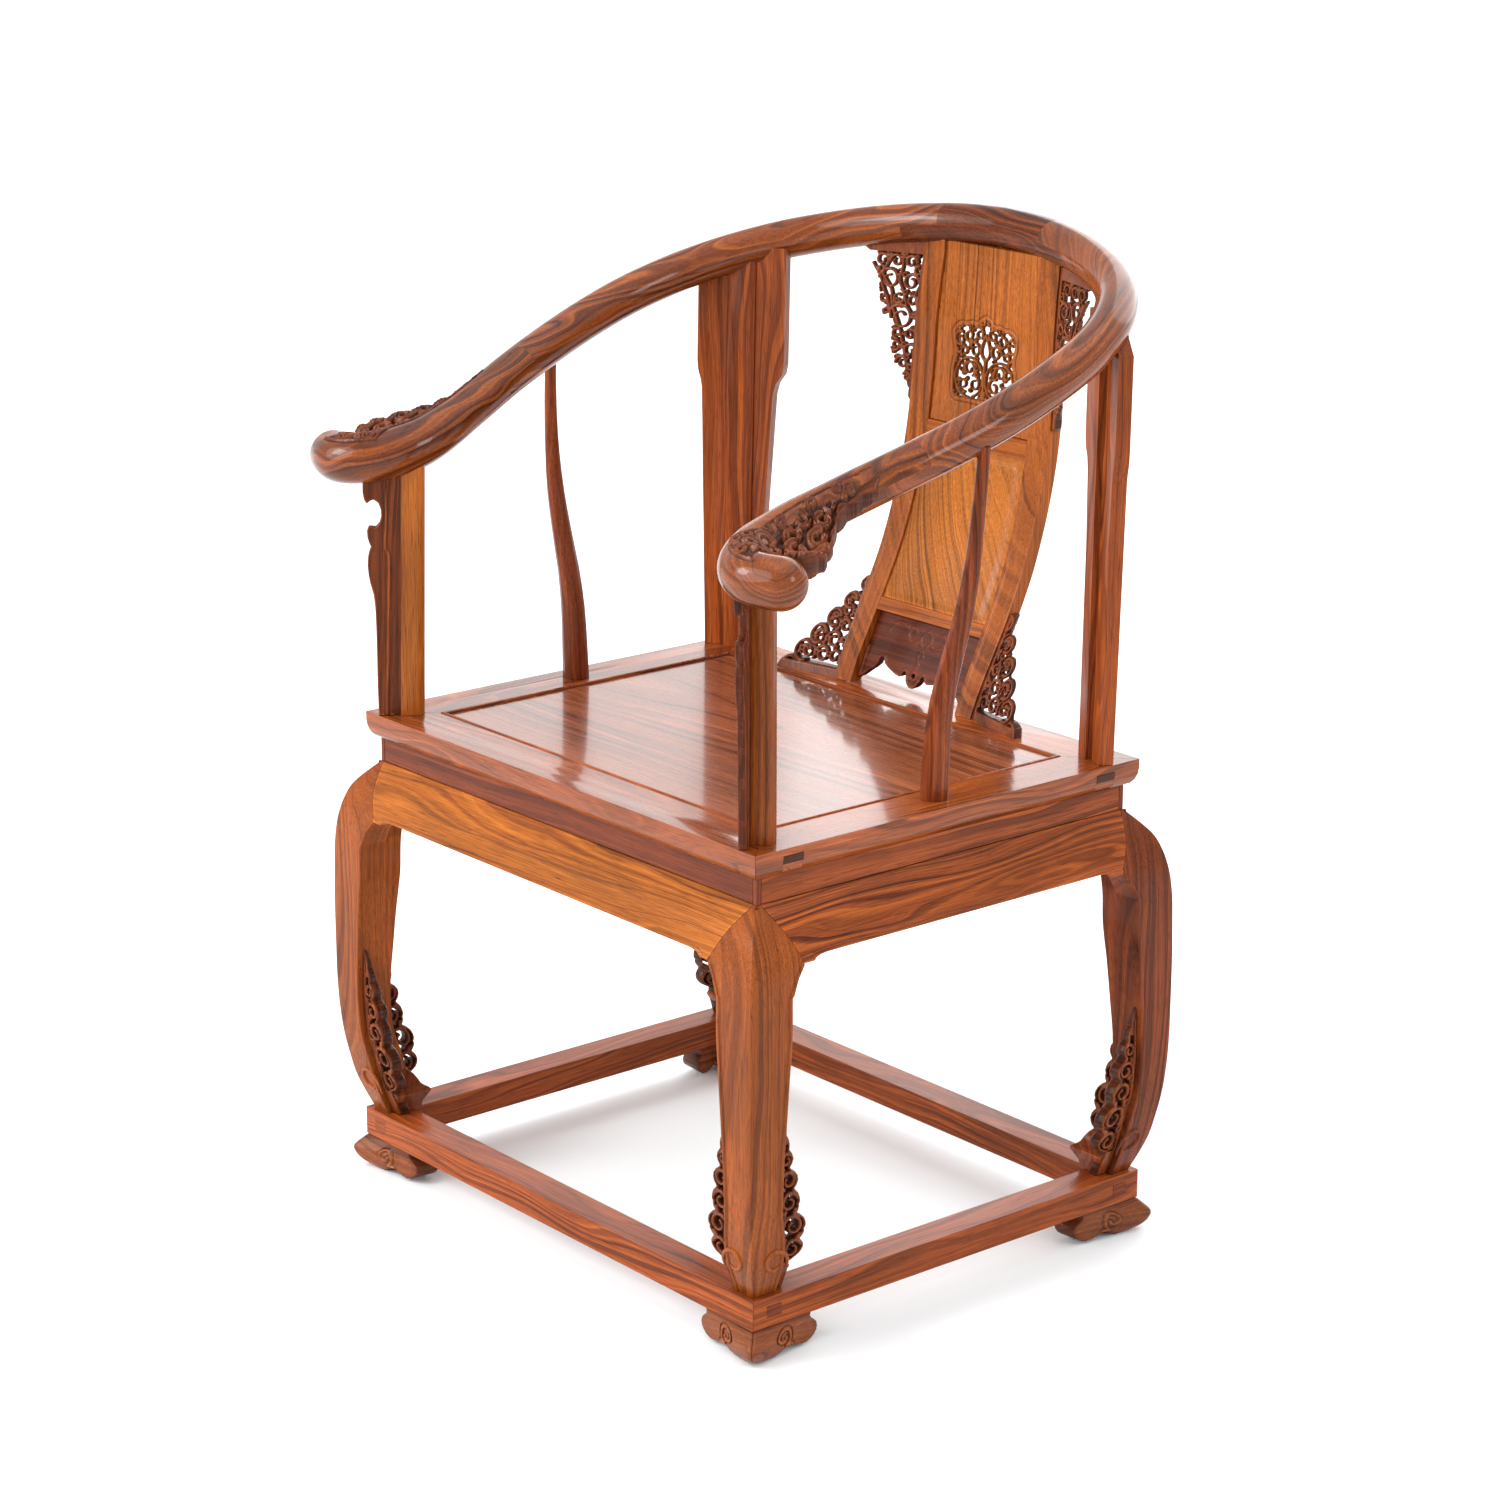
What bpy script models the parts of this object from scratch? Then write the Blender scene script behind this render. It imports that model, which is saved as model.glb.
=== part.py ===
"""Horseshoe back armchair in hardwood, modelled joint by joint.

Metres, +Z up, the sitter faces -Y. The chair is drawn about the centre of its seat on the floor,
and one empty then carries it so that the origin lies under the middle of its bounding box.
"""

import math

import bmesh
import bpy
import numpy as np
from mathutils import Matrix, Vector

# Clearances
GAP = 0.0003
OVERRUN = 0.010
WELD = 0.000001

# Seat frame
SEAT_WIDTH = 0.630
SEAT_DEPTH = 0.496
SEAT_HEIGHT = 0.5034
SEAT_THICKNESS = 0.0268
SEAT_MEMBER = 0.060
SEAT_EDGE_UPRIGHT = 0.008
SEAT_EDGE_DRAW_IN = 0.010
SEAT_TENON_WIDTH = 0.024
SEAT_TENON_THICKNESS = 0.015
SEAT_TENON_FROM_CORNER = 0.0465
SEAT_TENON_BELOW_TOP = 0.0148

# Seat panel and the batten under it
PANEL_RECESS = 0.0016
PANEL_TONGUE = 0.008
PANEL_TONGUE_THICKNESS = 0.006
PANEL_LIP = 0.006
PANEL_THICKNESS = 0.0155
BATTEN_WIDTH = 0.040
BATTEN_TENON = 0.012
BATTEN_TENON_HEIGHT = 0.006

# Waist between seat frame and aprons
WAIST_HEIGHT = 0.0261
WAIST_INSET = 0.011
WAIST_THICKNESS = 0.014
CORNER_STRIP = 0.005

# Legs and aprons share one bulging face
LEG_BULGE = 0.028
LEG_WIDTH = 0.050
SHOULDER_WIDTH = 0.0645
APRON_FOOT_THICKNESS = 0.033
APRON_RISE = 0.005
APRON_CORNER = 0.022
APRON_DROP_LENGTH = 0.012
LEG_TENON = 0.010
LEG_TENON_MARGIN = 0.002
LEG_STUB = 0.032
FOOT_TENON_NEAR = 0.007
FOOT_TENON_FAR = 0.019

# Base frame and feet
BASE_TOP = 0.0651
BASE_THICKNESS = 0.030
BASE_MEMBER = 0.035
BASE_OVERHANG = 0.008
BASE_TENON_WIDTH = 0.018
BASE_TENON_THICKNESS = 0.012
BASE_TENON_FROM_CORNER = 0.026
FOOT_REACH = 0.085
FOOT_ARM = 0.030
FOOT_FLARE = 0.015

# Openwork boards behind the legs
CARVING_REACH = 0.036
CARVING_HEIGHT = 0.185
CARVING_THICKNESS = 0.022
CARVING_SETBACK = 0.007
CARVING_BLOCK_NEAR = 0.034
CARVING_BLOCK_FAR = 0.045
CARVING_BLOCK_START = 0.020
CARVING_BLOCK_HEIGHT = 0.014

# Horseshoe rail
RAIL_BEYOND_SEAT_SIDE = 0.0091
RAIL_BEHIND_SEAT = 0.1015
RAIL_LONGER_THAN_SEAT = 0.1155
RAIL_ABOVE_SEAT = 0.2646
RAIL_RISE = 0.2164
RAIL_RADIUS = 0.021
HOOK_RADIUS = 0.025
SCARF_LENGTH = 0.050
SCARF_BACK_X = 0.104
SCARF_ARM_BEHIND_HOOK = 0.193
RAIL_TENON = 0.010

# Front posts and their brackets
FRONT_POST = 0.028
FRONT_POST_IN_FROM_SIDE = 0.0334
FRONT_POST_IN_FROM_FRONT = 0.034
FRONT_POST_LEAN_X = -0.005
FRONT_POST_LEAN_Y = 0.004
FRONT_POST_TURN = math.radians(36)
POST_CHAMFER = 0.008
POST_TENON = 0.015
POST_TENON_DEPTH = 0.011
BRACKET_THICKNESS = 0.0085
BRACKET_OFFSET = 0.009
BRACKET_WIDTH = 0.0357
BRACKET_HEIGHT = 0.262

# Curved side posts
SIDE_POST_RADIUS = 0.014
SIDE_POST_IN_FROM_SIDE = 0.0311
SIDE_POST_Y = 0.0008
SIDE_POST_SWING = 0.0503
SIDE_POST_LEAN = 0.0098
SIDE_POST_RISE = 0.350
SIDE_TENON_RADIUS = 0.0075
SIDE_TOP_TENON_RADIUS = 0.004

# Rear posts and their flanges
REAR_POST = 0.028
REAR_POST_IN_FROM_SIDE = 0.0376
REAR_POST_IN_FROM_BACK = 0.0257
REAR_POST_LEAN_X = -0.0016
REAR_POST_LEAN_Y = 0.0078
REAR_POST_RISE = 0.416
REAR_POST_TURN = math.radians(28)
FLANGE_THICKNESS = 0.015
FLANGE_WIDTH = 0.0385
FLANGE_HEIGHT = 0.440

# Splat
SPLAT_THICKNESS = 0.016
SPLAT_IN_FROM_BACK = 0.0355
SPLAT_LEAN = 0.1175
SPLAT_RISE = 0.4516
SPLAT_OVER = 0.012
STILE_OUTER = 0.108
STILE_FOOT_INNER = 0.082
STILE_HEAD_INNER = 0.072
STILE_TENON_WIDTH = 0.013
FIELD_RECESS = 0.0025
FIELD_THICKNESS = 0.0100
MID_RAIL_HEIGHT = 0.2536
MID_RAIL_DEPTH = 0.019
LOWER_RAIL_HEIGHT = 0.0756
LOWER_RAIL_DEPTH = 0.012
MEDALLION_HALF_WIDTH = 0.047
MEDALLION_HEIGHT = 0.088
MEDALLION_FOOT = 0.3006
MEDALLION_SINK = 0.002
WING_THICKNESS = 0.012
WING_SETBACK = 0.002
UPPER_WING_WIDTH = 0.076
UPPER_WING_HEIGHT = 0.164
UPPER_WING_TURN = math.radians(19)
LOWER_WING_WIDTH = 0.083
LOWER_WING_HEIGHT = 0.1096
LOWER_WING_TURN = math.radians(12)

# Carvings outside the hooks
ARM_CARVING_THICKNESS = 0.027
ARM_CARVING_WIDTH = 0.057
ARM_CARVING_BACK_FROM_HOOK = 0.162
ARM_CARVING_FRONT_FROM_HOOK = 0.030

# Values worked out from the sizes above
HALF_W = SEAT_WIDTH / 2
HALF_D = SEAT_DEPTH / 2
SEAT_UNDER = SEAT_HEIGHT - SEAT_THICKNESS
LEG_TOP = SEAT_UNDER - WAIST_HEIGHT
LEG_HEIGHT = LEG_TOP - BASE_TOP
BASE_UNDER = BASE_TOP - BASE_THICKNESS
SPLAT_TOP = SEAT_HEIGHT + SPLAT_RISE
RAIL_LOW = SEAT_HEIGHT + RAIL_ABOVE_SEAT
RAIL_HALF_WIDTH = HALF_W + RAIL_BEYOND_SEAT_SIDE
RAIL_BACK = HALF_D + RAIL_BEHIND_SEAT
RAIL_RUN = SEAT_DEPTH + RAIL_LONGER_THAN_SEAT
SCARF_ARM_Y = RAIL_BACK - RAIL_RUN + SCARF_ARM_BEHIND_HOOK
FRONT_POST_X = HALF_W - FRONT_POST_IN_FROM_SIDE
FRONT_POST_Y = FRONT_POST_IN_FROM_FRONT - HALF_D
SIDE_POST_X = HALF_W - SIDE_POST_IN_FROM_SIDE
REAR_POST_X = HALF_W - REAR_POST_IN_FROM_SIDE
REAR_POST_Y = HALF_D - REAR_POST_IN_FROM_BACK
SPLAT_FRONT = HALF_D - SPLAT_IN_FROM_BACK
ARM_CARVING_BACK_Y = RAIL_BACK - RAIL_RUN + ARM_CARVING_BACK_FROM_HOOK
ARM_CARVING_FRONT_Y = RAIL_BACK - RAIL_RUN + ARM_CARVING_FRONT_FROM_HOOK

# Leg face: height up the leg, outward bulge, square width, each a share
LEG_LEVEL_SHARES = (1.0, 0.973, 0.934, 0.895, 0.861, 0.830, 0.789, 0.687, 0.584, 0.480,
                    0.376, 0.298, 0.220, 0.158, 0.091, 0.049, 0.0)
LEG_BULGE_SHARES = (-0.357, 0.0, 0.43, 0.66, 0.79, 0.87, 0.93, 0.98, 1.0, 1.0,
                    0.99, 0.946, 0.85, 0.714, 0.518, 0.32, 0.054)
LEG_WIDTH_SHARES = (1.0, 1.0, 1.0, 1.0, 1.0, 1.0, 1.0, 1.0, 0.94, 0.88,
                    0.82, 0.79, 0.78, 0.81, 0.76, 0.66, 0.53)
SHOULDER_LEVEL = 4
SHOULDER_FADE_SHARES = (1.0, 0.884, 0.80)

# Foot: height, reach of the ears and flare of the corner, as shares
FOOT_LEVEL_SHARES = (0.0, 0.08, 0.17, 0.27, 0.42, 0.58, 0.80, 1.0)
FOOT_REACH_SHARES = (0.42, 0.50, 0.72, 0.90, 0.99, 1.0, 0.95, 0.90)
FOOT_FLARE_SHARES = (0.0, 0.30, 0.65, 0.85, 1.0, 1.0, 0.55, 0.10)
FOOT_PLAN_SHARES = ((0.28, -0.6), (0.62, -0.12), (1.0, 0.2))

# Openwork behind a leg: reach and height shares, then round openings
CARVING_OUTLINE_SHARES = (
    (0.0, 0.0), (1.0, 0.0), (1.0, 0.06), (0.84, 0.09), (0.92, 0.135), (0.78, 0.18),
    (0.56, 0.205), (0.68, 0.26), (0.78, 0.32), (0.75, 0.385), (0.56, 0.43), (0.40, 0.47),
    (0.53, 0.525), (0.58, 0.59), (0.47, 0.65), (0.28, 0.69), (0.34, 0.74), (0.36, 0.80),
    (0.25, 0.85), (0.14, 0.90), (0.06, 1.0), (0.0, 1.0))
CARVING_HOLE_SHARES = ((0.44, 0.125, 0.16), (0.40, 0.325, 0.17), (0.27, 0.575, 0.13))

# Rail centreline: half width, run from back to front, rise, as shares
RAIL_PATH_SHARES = (
    (0.0, 0.0, 1.0), (0.170, 0.0055, 0.993), (0.340, 0.0234, 0.971), (0.4585, 0.0432, 0.947),
    (0.575, 0.0690, 0.917), (0.678, 0.1004, 0.882), (0.786, 0.1480, 0.838), (0.893, 0.2240, 0.767),
    (0.956, 0.2980, 0.698), (0.988, 0.3753, 0.627), (1.0, 0.4478, 0.554), (0.990, 0.5493, 0.447),
    (0.947, 0.6618, 0.333), (0.913, 0.7255, 0.266), (0.879, 0.7880, 0.197), (0.8565, 0.8448, 0.135),
    (0.853, 0.8958, 0.079), (0.876, 0.9440, 0.042), (0.932, 0.9820, 0.016), (1.012, 0.9985, 0.004),
    (1.092, 0.9830, 0.0))
RAIL_STEPS = 3
HOOK_START_SHARE = 0.80
HOOK_FULL_SHARE = 0.92
TIP_ROUND_SHARES = (0.35, 0.62, 0.82, 0.95)

# Bracket width down from the rail, as shares of its height and width
BRACKET_SHARES = (
    (1.0, 0.98), (0.940, 0.98), (0.894, 0.944), (0.855, 1.0), (0.815, 0.90), (0.823, 0.73),
    (0.810, 0.546), (0.772, 0.431), (0.732, 0.476), (0.714, 0.655), (0.708, 0.849), (0.645, 0.779),
    (0.584, 0.894), (0.522, 0.82), (0.461, 0.69), (0.398, 0.62), (0.195, 0.583), (0.0, 0.53))

# Side post: height, swing and radius, as shares
SIDE_POST_SHARES = (
    (0.0, 0.0, 1.0), (0.10, 0.03, 0.97), (0.214, 0.09, 0.91), (0.329, 0.243, 0.82),
    (0.443, 0.489, 0.74), (0.557, 0.71, 0.66), (0.671, 0.847, 0.57), (0.786, 0.932, 0.49),
    (0.90, 0.98, 0.45), (1.0, 1.0, 0.43))

# Rear flanges: height and width, as shares
OUTER_FLANGE_SHARES = (
    (0.93, 1.0), (0.715, 1.0), (0.690, 0.97), (0.667, 0.89), (0.645, 0.85), (0.600, 0.83),
    (0.300, 0.74), (0.0, 0.64))
INNER_FLANGE_SHARES = (
    (1.0, 0.87), (0.715, 0.87), (0.690, 0.82), (0.667, 0.64), (0.640, 0.56), (0.555, 0.50),
    (0.480, 0.44), (0.330, 0.33), (0.0, 0.15))

# Splat: height and lean of its front face, as shares
SPLAT_CURVE_SHARES = (
    (0.0, 0.0), (0.057, 0.089), (0.124, 0.218), (0.214, 0.390), (0.303, 0.549), (0.390, 0.668),
    (0.480, 0.765), (0.568, 0.835), (0.657, 0.880), (0.745, 0.905), (0.834, 0.922), (0.923, 0.960),
    (1.0, 1.0))
STILE_OUTER_SHARES = ((0.0, 0.972), (0.22, 1.0), (0.66, 0.99), (0.80, 0.958), (1.0, 0.926))
MEDALLION_SHARES = (
    (0.0, 1.0), (0.14, 0.965), (0.30, 0.90), (0.44, 0.915), (0.62, 0.875), (0.86, 0.875),
    (1.0, 0.80), (0.93, 0.60), (1.0, 0.40), (1.0, 0.14), (0.86, 0.0), (0.0, 0.0))

# Wings: height from the foot and width, as shares
UPPER_WING_SHARES = (
    (1.0, 1.0), (0.957, 0.985), (0.910, 0.90), (0.845, 0.80), (0.790, 0.70), (0.725, 0.655),
    (0.640, 0.625), (0.575, 0.60), (0.490, 0.53), (0.405, 0.39), (0.350, 0.475), (0.310, 0.37),
    (0.200, 0.35), (0.140, 0.26), (0.090, 0.17), (0.0, 0.02))
UPPER_WING_HOLE_SHARES = ((0.76, 0.30, 0.14), (0.47, 0.24, 0.11))
LOWER_WING_SHARES = (
    (1.0, 0.02), (0.900, 0.12), (0.800, 0.25), (0.700, 0.33), (0.640, 0.42), (0.560, 0.46),
    (0.500, 0.58), (0.400, 0.68), (0.320, 0.75), (0.250, 0.76), (0.180, 0.88), (0.100, 0.95),
    (0.0, 1.0))
LOWER_WING_HOLE_SHARES = ((0.33, 0.26, 0.12), (0.26, 0.55, 0.10))
SPLAT_APRON_SHARES = (
    (0.0, 0.12), (0.10, 0.22), (0.22, 0.36), (0.34, 0.30), (0.44, 0.40), (0.55, 0.30),
    (0.60, 0.20), (0.64, 0.32), (0.72, 0.46), (0.80, 0.50), (0.82, 0.30), (0.86, 0.10), (0.90, 0.0))

# Arm carving: run forward, reach and thickness, as shares
ARM_CARVING_SHARES = (
    (0.0, 0.02, 0.30), (0.15, 0.07, 0.60), (0.38, 0.25, 0.85), (0.49, 0.46, 0.95), (0.58, 0.70, 1.0),
    (0.68, 0.86, 1.0), (0.79, 1.0, 1.0), (0.89, 0.95, 0.96), (1.0, 0.78, 0.86))

SIDES = (("right", 1), ("left", -1))
CORNERS = (("front_left", -1, -1), ("front_right", 1, -1), ("back_right", 1, 1), ("back_left", -1, 1))


def clear_scene():
    """Empty the open file, so that the script can be run again in it."""
    for old in list(bpy.data.objects):
        bpy.data.objects.remove(old, do_unlink=True)
    for group in (bpy.data.meshes, bpy.data.curves, bpy.data.collections, bpy.data.materials):
        for block in list(group):
            group.remove(block)


def new_collection(name):
    group = bpy.data.collections.new(name)
    bpy.context.scene.collection.children.link(group)
    return group


def wood(name, colour, roughness=0.32):
    """One lacquered wood per part, so that the tone can differ from board to board."""
    made = bpy.data.materials.new(name)
    made.use_nodes = True
    shader = made.node_tree.nodes["Principled BSDF"]
    shader.inputs["Base Color"].default_value = (*colour, 1.0)
    shader.inputs["Roughness"].default_value = roughness
    shader.inputs["Metallic"].default_value = 0.0
    return made


LIT = (0.42, 0.17, 0.055)
RED = (0.30, 0.095, 0.035)
DEEP = (0.19, 0.055, 0.022)


def add_part(name, mesh, colour, smooth=False):
    """Link a mesh as a named part with a material of its own."""
    part = bpy.data.objects.new(name, mesh)
    mesh.name = name
    mesh.materials.clear()
    mesh.materials.append(wood("wood_" + name, colour))
    parts.objects.link(part)
    if smooth:
        mesh.shade_smooth()
        mesh.set_sharp_from_angle(angle=math.radians(35))
    return part


def add_cutter(name, mesh):
    """Link a mesh as a hidden wire shape that only shapes other pieces."""
    tool = bpy.data.objects.new(name, mesh)
    tool.display_type = "WIRE"
    tool.hide_render = True
    cutters.objects.link(tool)
    return tool


def finish_bmesh(bm, name):
    bmesh.ops.remove_doubles(bm, verts=bm.verts, dist=WELD)
    bmesh.ops.dissolve_degenerate(bm, edges=bm.edges, dist=WELD)
    bmesh.ops.recalc_face_normals(bm, faces=bm.faces)
    mesh = bpy.data.meshes.new(name)
    bm.to_mesh(mesh)
    bm.free()
    return mesh


def loft(name, rings):
    """Skin a row of closed rings that have the same number of points, and cap both ends."""
    bm = bmesh.new()
    rows = [[bm.verts.new(point) for point in ring] for ring in rings]
    count = len(rows[0])
    for lower, upper in zip(rows, rows[1:]):
        for i in range(count):
            j = (i + 1) % count
            bm.faces.new((lower[i], lower[j], upper[j], upper[i]))
    bm.faces.new(rows[0])
    bm.faces.new(rows[-1])
    return finish_bmesh(bm, name)


def block(name, size, centre, turn=0.0):
    """A box from the cube primitive, turned about the vertical."""
    bm = bmesh.new()
    placed = Matrix.Translation(centre) @ Matrix.Rotation(turn, 4, "Z") @ Matrix.Diagonal((*size, 1.0))
    bmesh.ops.create_cube(bm, size=1.0, matrix=placed)
    return finish_bmesh(bm, name)


def peg(name, radius, height, centre):
    """A round tenon from the cone primitive."""
    bm = bmesh.new()
    bmesh.ops.create_cone(bm, cap_ends=True, segments=12, radius1=radius, radius2=radius,
                          depth=height, matrix=Matrix.Translation(centre))
    return finish_bmesh(bm, name)


def bake(target):
    """Replace an object's mesh by its evaluated mesh and drop its modifiers."""
    bpy.context.view_layer.update()
    graph = bpy.context.evaluated_depsgraph_get()
    made = bpy.data.meshes.new_from_object(target.evaluated_get(graph))
    target.modifiers.clear()
    bm = bmesh.new()
    bm.from_mesh(made)
    keep = target.data.materials[0] if len(target.data.materials) else None
    mesh = finish_bmesh(bm, target.name)
    mesh.materials.clear()
    if keep is not None:
        mesh.materials.append(keep)
    target.data = mesh


def boolean(target, tool, operation="DIFFERENCE"):
    step = target.modifiers.new(operation.title(), "BOOLEAN")
    step.operation = operation
    step.solver = "EXACT"
    step.object = tool
    bake(target)


def keep_largest(target):
    """Keep the largest island of a trimmed piece, which is the side that was wanted."""
    groups = islands(target.data)
    if len(groups) < 2:
        return
    groups.sort(key=lambda group: group.calc_volume(), reverse=True)
    keep = target.data.materials[0]
    target.data = finish_bmesh(groups[0], target.name)
    target.data.materials.append(keep)
    for spare in groups[1:]:
        spare.free()


def islands(mesh):
    """The separate closed bodies of a mesh, each as a bmesh of its own."""
    bm = bmesh.new()
    bm.from_mesh(mesh)
    bm.faces.ensure_lookup_table()
    seen = set()
    found = []
    for seed in bm.faces:
        if seed.index in seen:
            continue
        stack = [seed]
        seen.add(seed.index)
        group = []
        while stack:
            face = stack.pop()
            group.append(face.index)
            for edge in face.edges:
                for other in edge.link_faces:
                    if other.index not in seen:
                        seen.add(other.index)
                        stack.append(other)
        found.append(set(group))
    bodies = []
    for group in found:
        body = bm.copy()
        body.faces.ensure_lookup_table()
        spare = [face for face in body.faces if face.index not in group]
        bmesh.ops.delete(body, geom=spare, context="FACES")
        bodies.append(body)
    bm.free()
    return bodies


def mirrored(mesh, name):
    """The same mesh on the other side of the chair."""
    bm = bmesh.new()
    bm.from_mesh(mesh)
    bmesh.ops.scale(bm, vec=(-1, 1, 1), verts=bm.verts)
    return finish_bmesh(bm, name)


def outline_mesh(name, outlines, thickness, levels, place):
    """A flat board: a filled 2D curve, cut across at the levels, then set in place point by point.

    place takes the distance along the board, the height and the depth from the face, and gives
    the point in the chair.
    """
    flat = bpy.data.curves.new(name, "CURVE")
    flat.dimensions = "2D"
    flat.fill_mode = "BOTH"
    flat.extrude = thickness / 2
    for outline in outlines:
        spline = flat.splines.new("POLY")
        spline.points.add(len(outline) - 1)
        for point, (along, height) in zip(spline.points, outline):
            point.co = (along, height, 0, 1)
        spline.use_cyclic_u = True
    mesh = curve_mesh(flat, name)
    bm = bmesh.new()
    bm.from_mesh(mesh)
    for level in levels:
        everything = list(bm.verts) + list(bm.edges) + list(bm.faces)
        bmesh.ops.bisect_plane(bm, geom=everything, plane_co=(0, level, 0), plane_no=(0, 1, 0))
    for vert in bm.verts:
        vert.co = place(vert.co.x, vert.co.y, vert.co.z + thickness / 2)
    return finish_bmesh(bm, name)


def curve_mesh(curve, name):
    """Turn a curve into a closed mesh, with its caps welded on, and remove the curve."""
    holder = bpy.data.objects.new(name + "_curve", curve)
    bpy.context.scene.collection.objects.link(holder)
    bpy.context.view_layer.update()
    graph = bpy.context.evaluated_depsgraph_get()
    made = bpy.data.meshes.new_from_object(holder.evaluated_get(graph))
    made.transform(holder.matrix_world)
    bpy.data.objects.remove(holder, do_unlink=True)
    bm = bmesh.new()
    bm.from_mesh(made)
    return finish_bmesh(bm, name)


def tube_mesh(name, points, radii, resolution=3):
    """A round bar along a curve object with a radius at each point and filled caps."""
    path = bpy.data.curves.new(name, "CURVE")
    path.dimensions = "3D"
    path.twist_mode = "Z_UP"
    path.bevel_depth = 1.0
    path.bevel_resolution = resolution
    path.use_fill_caps = True
    spline = path.splines.new("POLY")
    spline.points.add(len(points) - 1)
    for target, point, radius in zip(spline.points, points, radii):
        target.co = (*point, 1)
        target.radius = radius
    return curve_mesh(path, name)


def smooth_path(points, steps):
    """Points on a Catmull-Rom curve through the given points."""
    points = np.array(points, dtype=float)
    padded = np.vstack([2 * points[0] - points[1], points, 2 * points[-1] - points[-2]])
    found = []
    for i in range(len(points) - 1):
        a, b, c, d = padded[i:i + 4]
        for step in range(steps):
            t = step / steps
            found.append((2 * b + (c - a) * t + (2 * a - 5 * b + 4 * c - d) * t ** 2
                          + (3 * b - a - 3 * c + d) * t ** 3) / 2)
    found.append(points[-1])
    return np.array(found)


def circle(centre_along, centre_height, radius, count=10):
    """Points of a round opening in a flat board."""
    turns = [2 * math.pi * i / count for i in range(count)]
    return [(centre_along + radius * math.cos(t), centre_height + radius * math.sin(t)) for t in turns]


# Frames of four mitred members
def on_side(side, along, inward, height):
    """A point of a frame member, inward counted from the outer face of the seat frame."""
    if side == "front":
        return (along, inward - HALF_D, height)
    if side == "back":
        return (-along, HALF_D - inward, height)
    if side == "right":
        return (HALF_W - inward, along, height)
    return (inward - HALF_W, -along, height)


def half_length(side):
    return HALF_W if side in ("front", "back") else HALF_D


def mitred_member(name, side, profile, inset=0.0):
    """A member with the given profile (inward, height) and both ends cut at 45 degrees."""
    back_off = inset + GAP / math.sqrt(2)
    first = []
    last = []
    for inward, height in profile:
        end = half_length(side) - inward - back_off
        first.append(on_side(side, -end, inward, height))
        last.append(on_side(side, end, inward, height))
    return loft(name, (first, last))


def seat_profile():
    """Section of a seat rail: upright edge drawn in below, and a groove for the panel."""
    draw = SEAT_EDGE_DRAW_IN
    fall = SEAT_THICKNESS - SEAT_EDGE_UPRIGHT
    upright = SEAT_HEIGHT - SEAT_EDGE_UPRIGHT
    groove_top = SEAT_HEIGHT - PANEL_LIP + GAP
    groove_foot = SEAT_HEIGHT - PANEL_LIP - PANEL_TONGUE_THICKNESS - GAP
    groove_in = SEAT_MEMBER - PANEL_TONGUE - GAP
    edge = [(draw * (1 - math.cos(t)), upright - fall * math.sin(t))
            for t in (math.pi / 2 * i / 4 for i in range(5))]
    return [(0, SEAT_HEIGHT)] + edge + [
        (SEAT_MEMBER, SEAT_UNDER), (SEAT_MEMBER, groove_foot), (groove_in, groove_foot),
        (groove_in, groove_top), (SEAT_MEMBER, groove_top), (SEAT_MEMBER, SEAT_HEIGHT)]


def make_seat_frame():
    """Four mitred rails; the tenons of the front and back rails pass through the side rails."""
    made = {}
    for side in ("front", "back", "left", "right"):
        mesh = mitred_member("seat_rail_" + side, side, seat_profile())
        made[side] = add_part("seat_rail_" + side, mesh, RED if side in ("front", "back") else DEEP)
    height = SEAT_HEIGHT - SEAT_TENON_BELOW_TOP
    for rail, sign in (("front", -1), ("back", 1)):
        across = HALF_D - SEAT_TENON_FROM_CORNER
        for post, way in (("right", 1), ("left", -1)):
            start = HALF_W - SEAT_MEMBER + PANEL_TONGUE + 2 * GAP
            end = HALF_W - SEAT_EDGE_DRAW_IN / 4
            centre = (way * (start + end) / 2, sign * across, height)
            size = (end - start, SEAT_TENON_WIDTH, SEAT_TENON_THICKNESS)
            tenon = add_cutter("tenon", block("tenon", size, centre))
            boolean(made[rail], tenon, "UNION")
            long = end - start + GAP + OVERRUN
            wider = (long, SEAT_TENON_WIDTH + 2 * GAP, SEAT_TENON_THICKNESS + 2 * GAP)
            shifted = (way * (start - GAP + long / 2), sign * across, height)
            slot = add_cutter("mortise", block("mortise", wider, shifted))
            boolean(made[post], slot)
    return made


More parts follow.
